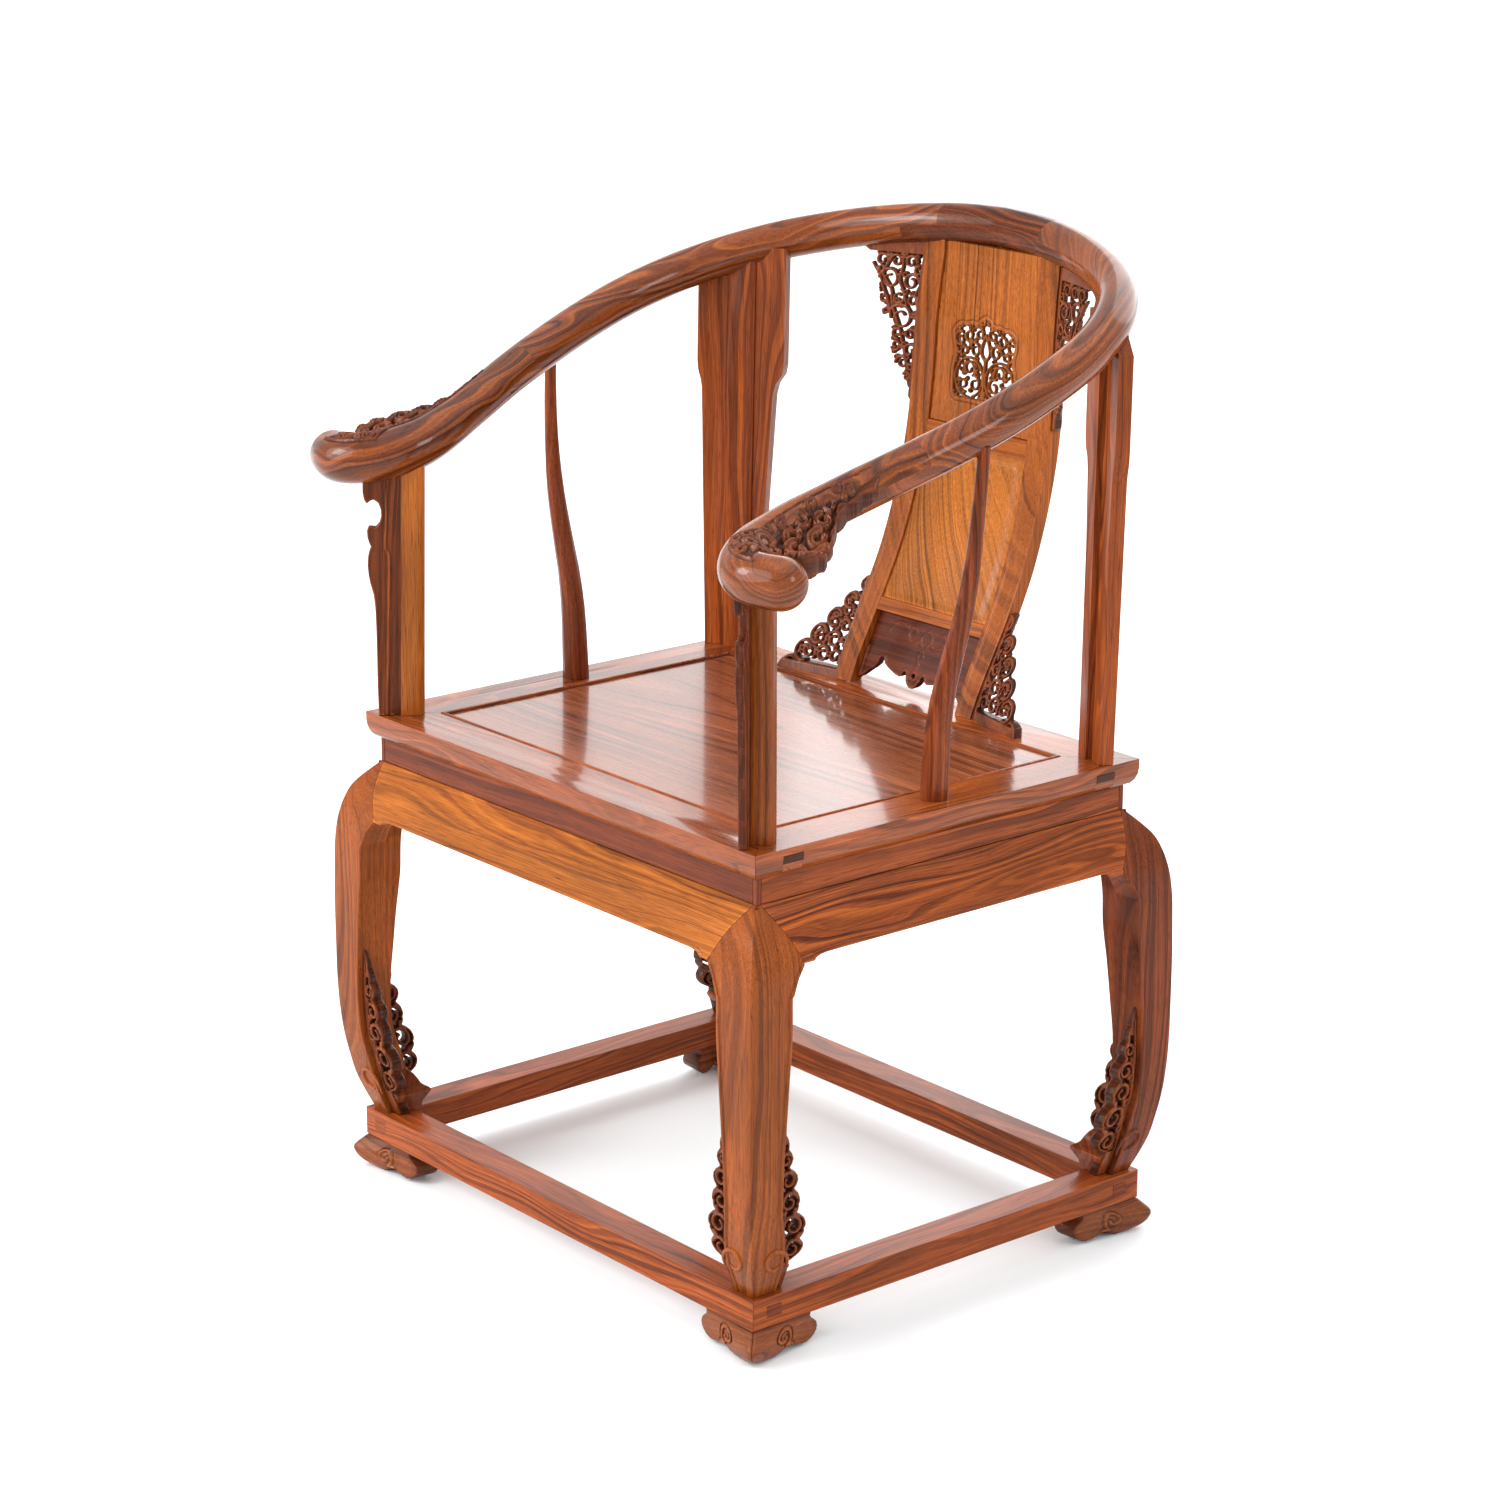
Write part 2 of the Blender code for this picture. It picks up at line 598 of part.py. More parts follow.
def make_seat_panel(frame):
    """A floating panel with a tongue all round, and a batten across under it."""
    top = SEAT_HEIGHT - PANEL_RECESS
    tongue_top = SEAT_HEIGHT - PANEL_LIP
    tongue_foot = tongue_top - PANEL_TONGUE_THICKNESS
    under = top - PANEL_THICKNESS
    field_w = HALF_W - SEAT_MEMBER - GAP
    field_d = HALF_D - SEAT_MEMBER - GAP

    def ring(grow, height):
        w = field_w + grow
        d = field_d + grow
        return [(-w, -d, height), (w, -d, height), (w, d, height), (-w, d, height)]

    reach = PANEL_TONGUE
    rings = (ring(0, under), ring(0, tongue_foot), ring(reach, tongue_foot), ring(reach, tongue_top),
             ring(0, tongue_top), ring(0, top))
    add_part("seat_panel", loft("seat_panel", rings), RED)
    height = under - GAP - SEAT_UNDER - GAP
    centre_z = SEAT_UNDER + GAP + height / 2
    batten = add_part("seat_batten", block("seat_batten", (BATTEN_WIDTH, 2 * field_d, height),
                                           (0, 0, centre_z)), DEEP)
    long = 2 * (field_d + BATTEN_TENON)
    tenon = add_cutter("batten_tenon", block("t", (BATTEN_WIDTH, long, BATTEN_TENON_HEIGHT), (0, 0, centre_z)))
    boolean(batten, tenon, "UNION")
    grown = (BATTEN_WIDTH + 2 * GAP, long + 2 * GAP, BATTEN_TENON_HEIGHT + 2 * GAP)
    slot = add_cutter("batten_mortise", block("m", grown, (0, 0, centre_z)))
    for side in ("front", "back"):
        boolean(frame[side], slot)


def make_waist():
    """Upright boards set back under the seat, ending against the leg at each corner."""
    foot = LEG_TOP + GAP
    head = SEAT_UNDER - GAP
    outer = WAIST_INSET
    inner = WAIST_INSET + WAIST_THICKNESS
    profile = ((outer, head), (outer, foot), (inner, foot), (inner, head))
    for side in ("front", "back", "left", "right"):
        mesh = mitred_member("waist_" + side, side, profile, CORNER_STRIP)
        add_part("waist_" + side, mesh, DEEP if side in ("front", "back") else RED)


# Leg and apron sections
def leg_height(index):
    return BASE_TOP + LEG_HEIGHT * LEG_LEVEL_SHARES[index]


def bulge(index):
    return LEG_BULGE * LEG_BULGE_SHARES[index]


def bulge_at(height):
    share = (height - BASE_TOP) / LEG_HEIGHT
    return LEG_BULGE * float(np.interp(share, LEG_LEVEL_SHARES[::-1], LEG_BULGE_SHARES[::-1]))


def width_at(height):
    share = (height - BASE_TOP) / LEG_HEIGHT
    return LEG_WIDTH * float(np.interp(share, LEG_LEVEL_SHARES[::-1], LEG_WIDTH_SHARES[::-1]))


def mitre_width(height):
    """Width of the leg's face along the sloping mitre, measured from the leg's outer edge."""
    low = leg_height(SHOULDER_LEVEL)
    end_low = bulge_at(low) - SHOULDER_WIDTH
    end_high = bulge_at(LEG_TOP) - CORNER_STRIP
    share = (height - low) / (LEG_TOP - low)
    return bulge_at(height) - (end_low + (end_high - end_low) * share)


def apron_depth(height):
    """Thickness of an apron at a height, measured from its bulging face."""
    low = leg_height(SHOULDER_LEVEL)
    inner_high = WAIST_INSET + WAIST_THICKNESS
    inner_low = APRON_FOOT_THICKNESS - bulge_at(low)
    share = (height - low) / (LEG_TOP - low)
    return bulge_at(height) + inner_low + (inner_high - inner_low) * share


def mitre_points(height, grow):
    """The sloping end of an apron in plan: across the face, then turned along the corner's diagonal."""
    wide = mitre_width(height) + grow
    strip = CORNER_STRIP + grow * math.sqrt(2)
    deep = apron_depth(height)
    bend = max(0.0, min(wide - strip, deep))
    return (wide, 0.0), (wide, bend), (max(wide, deep + strip), deep)


def switch_height():
    """Height at which the sloping end stops turning along the diagonal."""
    low = leg_height(SHOULDER_LEVEL)
    high = LEG_TOP
    for _ in range(60):
        middle = (low + high) / 2
        if mitre_width(middle) - CORNER_STRIP > apron_depth(middle):
            low = middle
        else:
            high = middle
    return low


def shoulder_heights():
    heights = [leg_height(i) for i in range(SHOULDER_LEVEL + 1)] + [switch_height()]
    return sorted(heights, reverse=True)


def make_aprons():
    """Bulging boards mitred into the legs, with a low arch along their lower edge."""
    for side in ("front", "back", "left", "right"):
        rings = []
        for height in shoulder_heights():
            swell = bulge_at(height)
            half = half_length(side) + swell
            end = mitre_points(height, GAP)
            ring = [on_side(side, -(half - along), deep - swell, height) for along, deep in end[::-1]]
            ring += [on_side(side, half - along, deep - swell, height) for along, deep in end]
            rings.append(ring)
        name = "apron_" + side
        apron = add_part(name, loft(name, rings), LIT if side == "front" else RED)
        arch_apron(apron, side)


def arch_apron(apron, side):
    """Cut the apron's lower edge up a little between rounded corners."""
    low = leg_height(SHOULDER_LEVEL)
    reach = half_length(side) + bulge_at(low) - SHOULDER_WIDTH - APRON_DROP_LENGTH
    top = low + APRON_RISE
    arc = [(reach - APRON_CORNER * (1 - math.sin(t)), top - APRON_RISE * (1 - math.cos(t)))
           for t in (math.pi / 2 * i / 5 for i in range(6))]
    half = [(reach, low - OVERRUN)] + arc[::-1]
    outline = half + [(-along, height) for along, height in half[::-1]]
    deep = 2 * APRON_FOOT_THICKNESS + 2 * LEG_BULGE

    def place(along, height, depth):
        return on_side(side, along, depth - deep / 2, height)

    tool = add_cutter("arch_" + side, outline_mesh("arch_" + side, (outline,), deep, (), place))
    boolean(apron, tool)


def leg_section(index, height):
    """Plan of a leg as distances from its outer edge, the same number of points at every level."""
    width = LEG_WIDTH * LEG_WIDTH_SHARES[index]
    if index <= SHOULDER_LEVEL:
        face, turn, inner = mitre_points(height, -GAP)
        deep = inner[1]
    else:
        fade = index - SHOULDER_LEVEL
        wide = width
        if fade < len(SHOULDER_FADE_SHARES):
            wide = max(width, SHOULDER_WIDTH * SHOULDER_FADE_SHARES[fade])
        deep = min(APRON_FOOT_THICKNESS, width * 0.6)
        face, turn, inner = (wide, 0.0), (wide, deep), (wide, deep)
    half = [face, turn, inner, (width, deep)]
    return [(0, 0)] + half + [(width, width)] + [(b, a) for a, b in half[::-1]]


def corner_point(sx, sy, swell, along, deep, height):
    """A point near a corner, from its distances to the side face and to the front or back face."""
    return (sx * (HALF_W + swell - along), sy * (HALF_D + swell - deep), height)


def make_legs():
    """Legs with a mitred shoulder, a stub through the waist and a tenon at each end."""
    for name, sx, sy in CORNERS:
        rings = []
        foot = leg_section(len(LEG_LEVEL_SHARES) - 1, BASE_TOP)
        stub = [(min(max(a, FOOT_TENON_NEAR), FOOT_TENON_FAR), min(max(b, FOOT_TENON_NEAR), FOOT_TENON_FAR))
                for a, b in foot]
        swell = bulge(len(LEG_LEVEL_SHARES) - 1)
        base = BASE_TOP + GAP
        rings.append([corner_point(sx, sy, swell, a, b, BASE_TOP - LEG_TENON) for a, b in stub])
        rings.append([corner_point(sx, sy, swell, a, b, base) for a, b in stub])
        levels = [(i, leg_height(i)) for i in range(len(LEG_LEVEL_SHARES))]
        levels.append((0, switch_height()))
        levels.sort(key=lambda level: level[1])
        for index, height in levels:
            section = leg_section(index, height)
            height = max(height, base)
            rings.append([corner_point(sx, sy, bulge_at(height), a, b, height) for a, b in section])
        strip = CORNER_STRIP - GAP * math.sqrt(2)
        turned = [(strip, 0), (strip, 0), (strip + WAIST_THICKNESS, WAIST_THICKNESS), (LEG_STUB, WAIST_THICKNESS)]
        waist = [(0, 0)] + turned + [(LEG_STUB, LEG_STUB)] + [(b, a) for a, b in turned[::-1]]
        near = WAIST_THICKNESS + LEG_TENON_MARGIN
        far = LEG_STUB - LEG_TENON_MARGIN
        tenon = [(min(max(a, near), far), min(max(b, near), far)) for a, b in waist]
        head = SEAT_UNDER - GAP
        for section, height in ((waist, LEG_TOP), (waist, head), (tenon, head), (tenon, SEAT_UNDER + LEG_TENON)):
            rings.append([corner_point(sx, sy, -WAIST_INSET, a, b, height) for a, b in section])
        add_part("leg_" + name, loft("leg_" + name, rings), RED, smooth=True)


def cut_leg_mortises(frame, base):
    """Mortises for the leg's tenons, over the mitres of the seat frame and of the base."""
    for _, sx, sy in CORNERS:
        size = LEG_STUB - WAIST_THICKNESS - 2 * LEG_TENON_MARGIN + 2 * GAP
        middle = WAIST_INSET + (LEG_STUB + WAIST_THICKNESS) / 2
        deep = LEG_TENON + GAP + OVERRUN
        centre = (sx * (HALF_W - middle), sy * (HALF_D - middle), SEAT_UNDER - OVERRUN + deep / 2)
        tool = add_cutter("leg_mortise", block("leg_mortise", (size, size, deep), centre))
        boolean(frame["right" if sx > 0 else "left"], tool)
        boolean(frame["back" if sy > 0 else "front"], tool)
        swell = bulge(len(LEG_LEVEL_SHARES) - 1)
        size = FOOT_TENON_FAR - FOOT_TENON_NEAR + 2 * GAP
        middle = (FOOT_TENON_FAR + FOOT_TENON_NEAR) / 2 - swell
        centre = (sx * (HALF_W - middle), sy * (HALF_D - middle), BASE_TOP + OVERRUN - deep / 2)
        tool = add_cutter("foot_mortise", block("foot_mortise", (size, size, deep), centre))
        boolean(base["right" if sx > 0 else "left"], tool)
        boolean(base["back" if sy > 0 else "front"], tool)


def make_base():
    """Four mitred rails under the legs; two of them show the end of their tenons."""
    outer = -BASE_OVERHANG
    inner = BASE_MEMBER - BASE_OVERHANG
    profile = ((outer, BASE_TOP), (outer, BASE_UNDER), (inner, BASE_UNDER), (inner, BASE_TOP))
    made = {}
    for side in ("front", "back", "left", "right"):
        name = "base_rail_" + side
        made[side] = add_part(name, mitred_member(name, side, profile), RED)
    height = BASE_TOP - BASE_THICKNESS / 2
    joints = (("left", "front", -1, -1), ("back", "right", 1, 1))
    for carrier, pierced, sx, sy in joints:
        offset = BASE_TENON_FROM_CORNER - BASE_OVERHANG
        half = HALF_D if carrier == "left" else HALF_W
        start = half + BASE_OVERHANG - BASE_MEMBER - OVERRUN
        end = half + BASE_OVERHANG
        middle = (start + end) / 2
        long = end - start
        if carrier == "left":
            centre = (sx * (HALF_W - offset), sy * middle, height)
            size = (BASE_TENON_WIDTH, long, BASE_TENON_THICKNESS)
            wide = (BASE_TENON_WIDTH + 2 * GAP, long + 2 * OVERRUN, BASE_TENON_THICKNESS + 2 * GAP)
        else:
            centre = (sx * middle, sy * (HALF_D - offset), height)
            size = (long, BASE_TENON_WIDTH, BASE_TENON_THICKNESS)
            wide = (long + 2 * OVERRUN, BASE_TENON_WIDTH + 2 * GAP, BASE_TENON_THICKNESS + 2 * GAP)
        tenon = add_cutter("base_tenon", block("base_tenon", size, centre))
        boolean(made[carrier], tenon, "UNION")
        slot = add_cutter("base_mortise", block("base_mortise", wide, centre))
        boolean(made[pierced], slot)
    return made


def make_feet():
    """Two-eared feet under the corners of the base, flared at the corner."""
    for name, sx, sy in CORNERS:
        rings = []
        for level, reach_share, flare_share in zip(FOOT_LEVEL_SHARES, FOOT_REACH_SHARES, FOOT_FLARE_SHARES):
            height = min(BASE_UNDER * level, BASE_UNDER - GAP)
            reach = FOOT_REACH * reach_share
            flare = FOOT_FLARE * flare_share
            half = [(reach * a, flare * b) for a, b in FOOT_PLAN_SHARES] + [(reach, FOOT_ARM)]
            section = [(-flare, -flare)] + half + [(FOOT_ARM, FOOT_ARM)] + [(b, a) for a, b in half[::-1]]
            rings.append([corner_point(sx, sy, BASE_OVERHANG, a, b, height) for a, b in section])
        add_part("foot_" + name, loft("foot_" + name, rings), RED, smooth=True)


def make_leg_carvings():
    """Two openwork boards behind each leg, joined by a block at their foot."""
    foot = BASE_TOP + GAP
    tall = CARVING_HEIGHT
    outline = [(s * CARVING_REACH, foot + h * tall) for s, h in CARVING_OUTLINE_SHARES]
    holes = [circle(s * CARVING_REACH, foot + h * tall, r * CARVING_REACH) for s, h, r in CARVING_HOLE_SHARES]
    levels = [h for h in (leg_height(i) for i in range(len(LEG_LEVEL_SHARES))) if foot < h < foot + tall]
    for name, sx, sy in CORNERS:
        def on_front(along, height, depth):
            return corner_point(sx, sy, bulge_at(height), width_at(height) + GAP + along,
                                CARVING_SETBACK + depth, height)

        def on_flank(along, height, depth):
            return corner_point(sx, sy, bulge_at(height), CARVING_SETBACK + depth,
                                width_at(height) + GAP + along, height)

        part_name = "leg_carving_" + name
        first = outline_mesh(part_name, [outline] + holes, CARVING_THICKNESS, levels, on_front)
        second = outline_mesh(part_name, [outline] + holes, CARVING_THICKNESS, levels, on_flank)
        near = CARVING_BLOCK_NEAR
        far = CARVING_BLOCK_FAR
        start = CARVING_BLOCK_START
        plan = [(near, start), (far, start), (far, far), (start, far), (start, near), (near, near)]
        swell = bulge_at(foot)
        rings = [[corner_point(sx, sy, swell, a, b, height) for a, b in plan]
                 for height in (foot, foot + CARVING_BLOCK_HEIGHT)]
        part = add_part(part_name, first, DEEP)
        boolean(part, add_cutter(part_name + "_flank", second), "UNION")
        boolean(part, add_cutter(part_name + "_block", loft(part_name, rings)), "UNION")


# Horseshoe rail
def rail_point(x_share, run_share, rise_share):
    return (RAIL_HALF_WIDTH * x_share, RAIL_BACK - RAIL_RUN * run_share, RAIL_LOW + RAIL_RISE * rise_share)


def rail_path():
    """Centreline points and radii of the right half, from the middle of the back to the hook's tip."""
    path = smooth_path([rail_point(*share) for share in RAIL_PATH_SHARES], RAIL_STEPS)
    path[0][0] = 0.0
    for _ in range(2):
        path[1:-1] = path[1:-1] * 0.5 + (path[:-2] + path[2:]) * 0.25
    radii = []
    for point in path:
        run = (RAIL_BACK - point[1]) / RAIL_RUN
        blend = (run - HOOK_START_SHARE) / (HOOK_FULL_SHARE - HOOK_START_SHARE)
        blend = min(max(blend, 0.0), 1.0)
        radii.append(RAIL_RADIUS + (HOOK_RADIUS - RAIL_RADIUS) * blend)
    heading = path[-1] - path[-2]
    heading /= np.linalg.norm(heading)
    tip = [path[-1] + heading * HOOK_RADIUS * share for share in TIP_ROUND_SHARES]
    radii += [HOOK_RADIUS * math.sqrt(1 - share ** 2) for share in TIP_ROUND_SHARES]
    return np.vstack([path, tip]), radii


def rail_mesh(name, grow=0.0):
    path, radii = rail_path()
    flipped = path[::-1] * np.array((-1, 1, 1))
    points = np.vstack([flipped, path[1:]])
    widths = [r + grow for r in radii[::-1]] + [r + grow for r in radii[1:]]
    return tube_mesh(name, points, widths)


def nearest_on_rail(axis, value, start=0):
    """Index of the centreline point of the right half that comes nearest to a value of x or y."""
    path, _ = rail_path()
    steps = np.abs(path[start:, axis] - value)
    return start + int(steps.argmin())


def scarf_cutter(name, index, mirror):
    """A stepped saw cut: across the upper half, along the middle, across the lower half."""
    path, _ = rail_path()
    centre = path[index]
    along = path[index + 1] - path[index - 1]
    along /= np.linalg.norm(along)
    up = np.array((0.0, 0.0, 1.0))
    across = np.cross(along, up)
    across /= np.linalg.norm(across)
    up = np.cross(across, along)
    half = SCARF_LENGTH / 2
    tall = 2 * HOOK_RADIUS
    g = GAP / 2
    plan = [(-half - g, tall), (-half - g, -g), (half - g, -g), (half - g, -tall),
            (half + g, -tall), (half + g, g), (-half + g, g), (-half + g, tall)]
    rings = []
    for way in (-tall, tall):
        ring = [centre + along * a + up * b + across * way for a, b in plan]
        if mirror < 0:
            ring = [point * np.array((-1, 1, 1)) for point in ring]
        rings.append([tuple(point) for point in ring])
    return add_cutter(name, loft(name, rings))


def make_rail(mortises):
    """One swept bar, mortised for the posts, then sawn into five scarfed pieces."""
    whole = add_cutter("rail_whole", rail_mesh("rail_whole"))
    for tool in mortises:
        boolean(whole, tool)
    back = nearest_on_rail(0, SCARF_BACK_X)
    arm = nearest_on_rail(1, SCARF_ARM_Y)
    for side, sign in SIDES:
        boolean(whole, scarf_cutter("scarf_back_" + side, back, sign))
        boolean(whole, scarf_cutter("scarf_arm_" + side, arm, sign))
    for body in islands(whole.data):
        body.verts.ensure_lookup_table()
        middle = sum((vert.co for vert in body.verts), Vector()) / len(body.verts)
        side = "right" if middle.x > 0 else "left"
        if abs(middle.x) < SCARF_BACK_X / 2:
            name = "rail_center"
        elif middle.y > SCARF_ARM_Y:
            name = "rail_side_" + side
        else:
            name = "rail_arm_end_" + side
        add_part(name, finish_bmesh(body, name), DEEP if name != "rail_center" else RED, smooth=True)


# Posts
def turned_point(x, y, turn, ahead, aside, height):
    """A point beside a post, ahead along its turned axis and aside to its outer side."""
    forward = (math.sin(turn), -math.cos(turn))
    outward = (math.cos(turn), math.sin(turn))
    return (x + forward[0] * ahead + outward[0] * aside, y + forward[1] * ahead + outward[1] * aside, height)


def post_mesh(name, foot, head, foot_z, head_z, half, chamfer, turn):
    """A square post with one bevelled corner, leaning from foot to head, with a tenon at its foot."""
    plan = [(half, -half), (half, half), (-half, half), (-half, -half + chamfer), (-half + chamfer, -half)]
    tenon = [(math.copysign(POST_TENON / 2, a), math.copysign(POST_TENON / 2, b)) for a, b in plan]
    rings = []
    for section, z in ((tenon, foot_z - POST_TENON_DEPTH), (tenon, foot_z), (plan, foot_z), (plan, head_z)):
        share = max(0.0, (z - foot_z) / (head_z - foot_z))
        x = foot[0] + (head[0] - foot[0]) * share
        y = foot[1] + (head[1] - foot[1]) * share
        rings.append([turned_point(x, y, turn, a, b, z) for a, b in section])
    return loft(name, rings)


def post_socket(name, x, y, turn):
    """Cutter for the blind mortise of a post in the seat frame."""
    size = (POST_TENON + 2 * GAP, POST_TENON + 2 * GAP, POST_TENON_DEPTH + GAP + OVERRUN)
    centre = (x, y, SEAT_HEIGHT + OVERRUN - size[2] / 2)
    return add_cutter(name, block(name, size, centre, turn))


def height_under_rail(x, y):
    """Height of the rail's centreline over the nearest point of the plan."""
    path, _ = rail_path()
    away = np.hypot(path[:, 0] - x, path[:, 1] - y)
    return float(path[int(away.argmin())][2])


def top_tenon(name, x, y, turn, rail_z, grow):
    """The tenon that rises from a post's head into the rail."""
    tall = RAIL_RADIUS + grow
    size = (POST_TENON * 0.7 + 2 * grow, POST_TENON * 0.7 + 2 * grow, tall)
    top = rail_z - RAIL_RADIUS + RAIL_TENON + grow
    return add_cutter(name, block(name, size, (x, y, top - tall / 2), turn))


def make_front_posts(frame, sleeve, mortises):
    """Square posts through the front corners of the seat, and shaped brackets ahead of them."""
    foot = (FRONT_POST_X, FRONT_POST_Y)
    head = (FRONT_POST_X + FRONT_POST_LEAN_X, FRONT_POST_Y + FRONT_POST_LEAN_Y)
    rail_z = height_under_rail(*head)
    mesh = post_mesh("front_post_right", foot, head, SEAT_HEIGHT + GAP, rail_z - HOOK_RADIUS / 3,
                     FRONT_POST / 2, POST_CHAMFER, FRONT_POST_TURN)
    post = add_part("front_post_right", mesh, RED, smooth=False)
    boolean(post, sleeve)
    keep_largest(post)
    boolean(post, top_tenon("front_tenon", head[0], head[1], FRONT_POST_TURN, rail_z, 0.0), "UNION")
    mortises.append(top_tenon("front_mortise", head[0], head[1], FRONT_POST_TURN, rail_z, GAP))
    mortises.append(add_cutter("front_mortise_left", mirrored(mortises[-1].data, "front_mortise_left")))
    socket = post_socket("front_socket", foot[0], foot[1], FRONT_POST_TURN)
    boolean(frame["front"], socket)
    boolean(frame["right"], socket)
    other = add_cutter("front_socket_left", mirrored(socket.data, "front_socket_left"))
    boolean(frame["front"], other)
    boolean(frame["left"], other)
    add_part("front_post_left", mirrored(post.data, "front_post_left"), LIT)
    make_bracket(foot, head, rail_z, sleeve)


def make_bracket(foot, head, rail_z, sleeve):
    """A thin board with a round bite, flush with the inner front side of the post."""
    base = SEAT_HEIGHT + GAP
    outline = [(0, base + BRACKET_HEIGHT)]
    outline += [(w * BRACKET_WIDTH, base + h * BRACKET_HEIGHT) for h, w in BRACKET_SHARES]
    outline += [(0, base)]

    def place(along, height, depth):
        share = (height - base) / (rail_z - base)
        x = foot[0] + (head[0] - foot[0]) * share
        y = foot[1] + (head[1] - foot[1]) * share
        aside = depth - BRACKET_OFFSET - BRACKET_THICKNESS / 2
        return turned_point(x, y, FRONT_POST_TURN, FRONT_POST / 2 + GAP + along, aside, height)

    mesh = outline_mesh("front_bracket_right", (outline,), BRACKET_THICKNESS, (), place)
    part = add_part("front_bracket_right", mesh, RED)
    boolean(part, sleeve)
    keep_largest(part)
    add_part("front_bracket_left", mirrored(part.data, "front_bracket_left"), LIT)


def make_side_posts(frame, sleeve, mortises):
    """Slender posts that swing outward from the side rails to the arm."""
    base = SEAT_HEIGHT + GAP
    path = []
    radii = []
    for rise, swing, thick in SIDE_POST_SHARES:
        path.append((SIDE_POST_X + SIDE_POST_SWING * swing, SIDE_POST_Y + SIDE_POST_LEAN * rise * rise,
                     base + SIDE_POST_RISE * rise))
        radii.append(SIDE_POST_RADIUS * thick)
    fine = smooth_path(path, 2)
    thickness = smooth_path([(r, 0, 0) for r in radii], 2)[:, 0]
    lead = SIDE_POST_RADIUS
    fine = np.vstack([fine[0] - (0, 0, lead), fine])
    thickness = np.concatenate([[thickness[0]], thickness])
    post = add_part("side_post_right", tube_mesh("side_post_right", fine, thickness), RED, smooth=True)
    floor = add_cutter("side_floor", block("side_floor", (4 * lead, 4 * lead, 2 * lead),
                                           (SIDE_POST_X, SIDE_POST_Y, base - lead)))
    boolean(post, floor)
    boolean(post, sleeve)
    keep_largest(post)
    depth = POST_TENON_DEPTH
    foot = add_cutter("side_tenon", peg("side_tenon", SIDE_TENON_RADIUS, 2 * depth, (SIDE_POST_X, SIDE_POST_Y, base)))
    boolean(post, foot, "UNION")
    socket = add_cutter("side_socket", peg("side_socket", SIDE_TENON_RADIUS + GAP, 2 * depth + 2 * GAP,
                                           (SIDE_POST_X, SIDE_POST_Y, base)))
    boolean(frame["right"], socket)
    boolean(frame["left"], add_cutter("side_socket_left", mirrored(socket.data, "side_socket_left")))
    top_x, top_y, _ = path[-1]
    rail_z = height_under_rail(top_x, top_y)
    span = RAIL_RADIUS
    for grow in (0.0, GAP):
        centre = (top_x, top_y, rail_z - RAIL_RADIUS + RAIL_TENON + grow - (span + grow) / 2)
        pin = add_cutter("side_head", peg("side_head", SIDE_TOP_TENON_RADIUS + grow, span + grow, centre))
        if grow == 0.0:
            boolean(post, pin, "UNION")
        else:
            mortises.append(pin)
            mortises.append(add_cutter("side_head_left", mirrored(pin.data, "side_head_left")))
    add_part("side_post_left", mirrored(post.data, "side_post_left"), RED, smooth=True)


def make_rear_posts(frame, sleeve, mortises):
    """Square posts at the rear corners with a shaped flange on two of their faces."""
    foot = (REAR_POST_X, REAR_POST_Y)
    head = (REAR_POST_X + REAR_POST_LEAN_X, REAR_POST_Y + REAR_POST_LEAN_Y)
    turn = math.pi / 2 - REAR_POST_TURN
    base = SEAT_HEIGHT + GAP
    rail_z = height_under_rail(*head)
    mesh = post_mesh("rear_post_right", foot, head, base, rail_z - RAIL_RADIUS / 3, REAR_POST / 2,
                     POST_CHAMFER / 2, turn)
    post = add_part("rear_post_right", mesh, RED)
    boolean(post, sleeve)
    keep_largest(post)
    boolean(post, top_tenon("rear_tenon", head[0], head[1], turn, rail_z, 0.0), "UNION")
    mortises.append(top_tenon("rear_mortise", head[0], head[1], turn, rail_z, GAP))
    mortises.append(add_cutter("rear_mortise_left", mirrored(mortises[-1].data, "rear_mortise_left")))
    socket = post_socket("rear_socket", foot[0], foot[1], turn)
    boolean(frame["back"], socket)
    boolean(frame["right"], socket)
    other = add_cutter("rear_socket_left", mirrored(socket.data, "rear_socket_left"))
    boolean(frame["back"], other)
    boolean(frame["left"], other)
    add_part("rear_post_left", mirrored(post.data, "rear_post_left"), RED)
    for label, way, shares in (("outer", 1, OUTER_FLANGE_SHARES), ("inner", -1, INNER_FLANGE_SHARES)):
        outline = [(0, base + FLANGE_HEIGHT)]
        outline += [(w * FLANGE_WIDTH, base + h * FLANGE_HEIGHT) for h, w in shares]
        outline += [(0, base)]

        def place(along, height, depth):
            share = (height - base) / (rail_z - RAIL_RADIUS / 3 - base)
            x = foot[0] + (head[0] - foot[0]) * share
            y = foot[1] + (head[1] - foot[1]) * share
            ahead = way * (REAR_POST / 2 + GAP + along)
            return turned_point(x, y, turn, ahead, depth - FLANGE_THICKNESS / 2, height)

        name = "rear_flange_%s_right" % label
        part = add_part(name, outline_mesh(name, (outline,), FLANGE_THICKNESS, (), place), RED)
        boolean(part, sleeve)
        keep_largest(part)
        twin = "rear_flange_%s_left" % label
        add_part(twin, mirrored(part.data, twin), LIT)


# Splat
def splat_front(height):
    """How far back the splat's front face lies at a height."""
    share = (height - SEAT_HEIGHT) / SPLAT_RISE
    rises = [row[0] for row in SPLAT_CURVE_SHARES]
    leans = [row[1] for row in SPLAT_CURVE_SHARES]
    return SPLAT_FRONT + SPLAT_LEAN * float(np.interp(share, rises, leans))


def on_splat(setback):
    def place(along, height, depth):
        return (along, splat_front(height) + setback + depth, height)
    return place


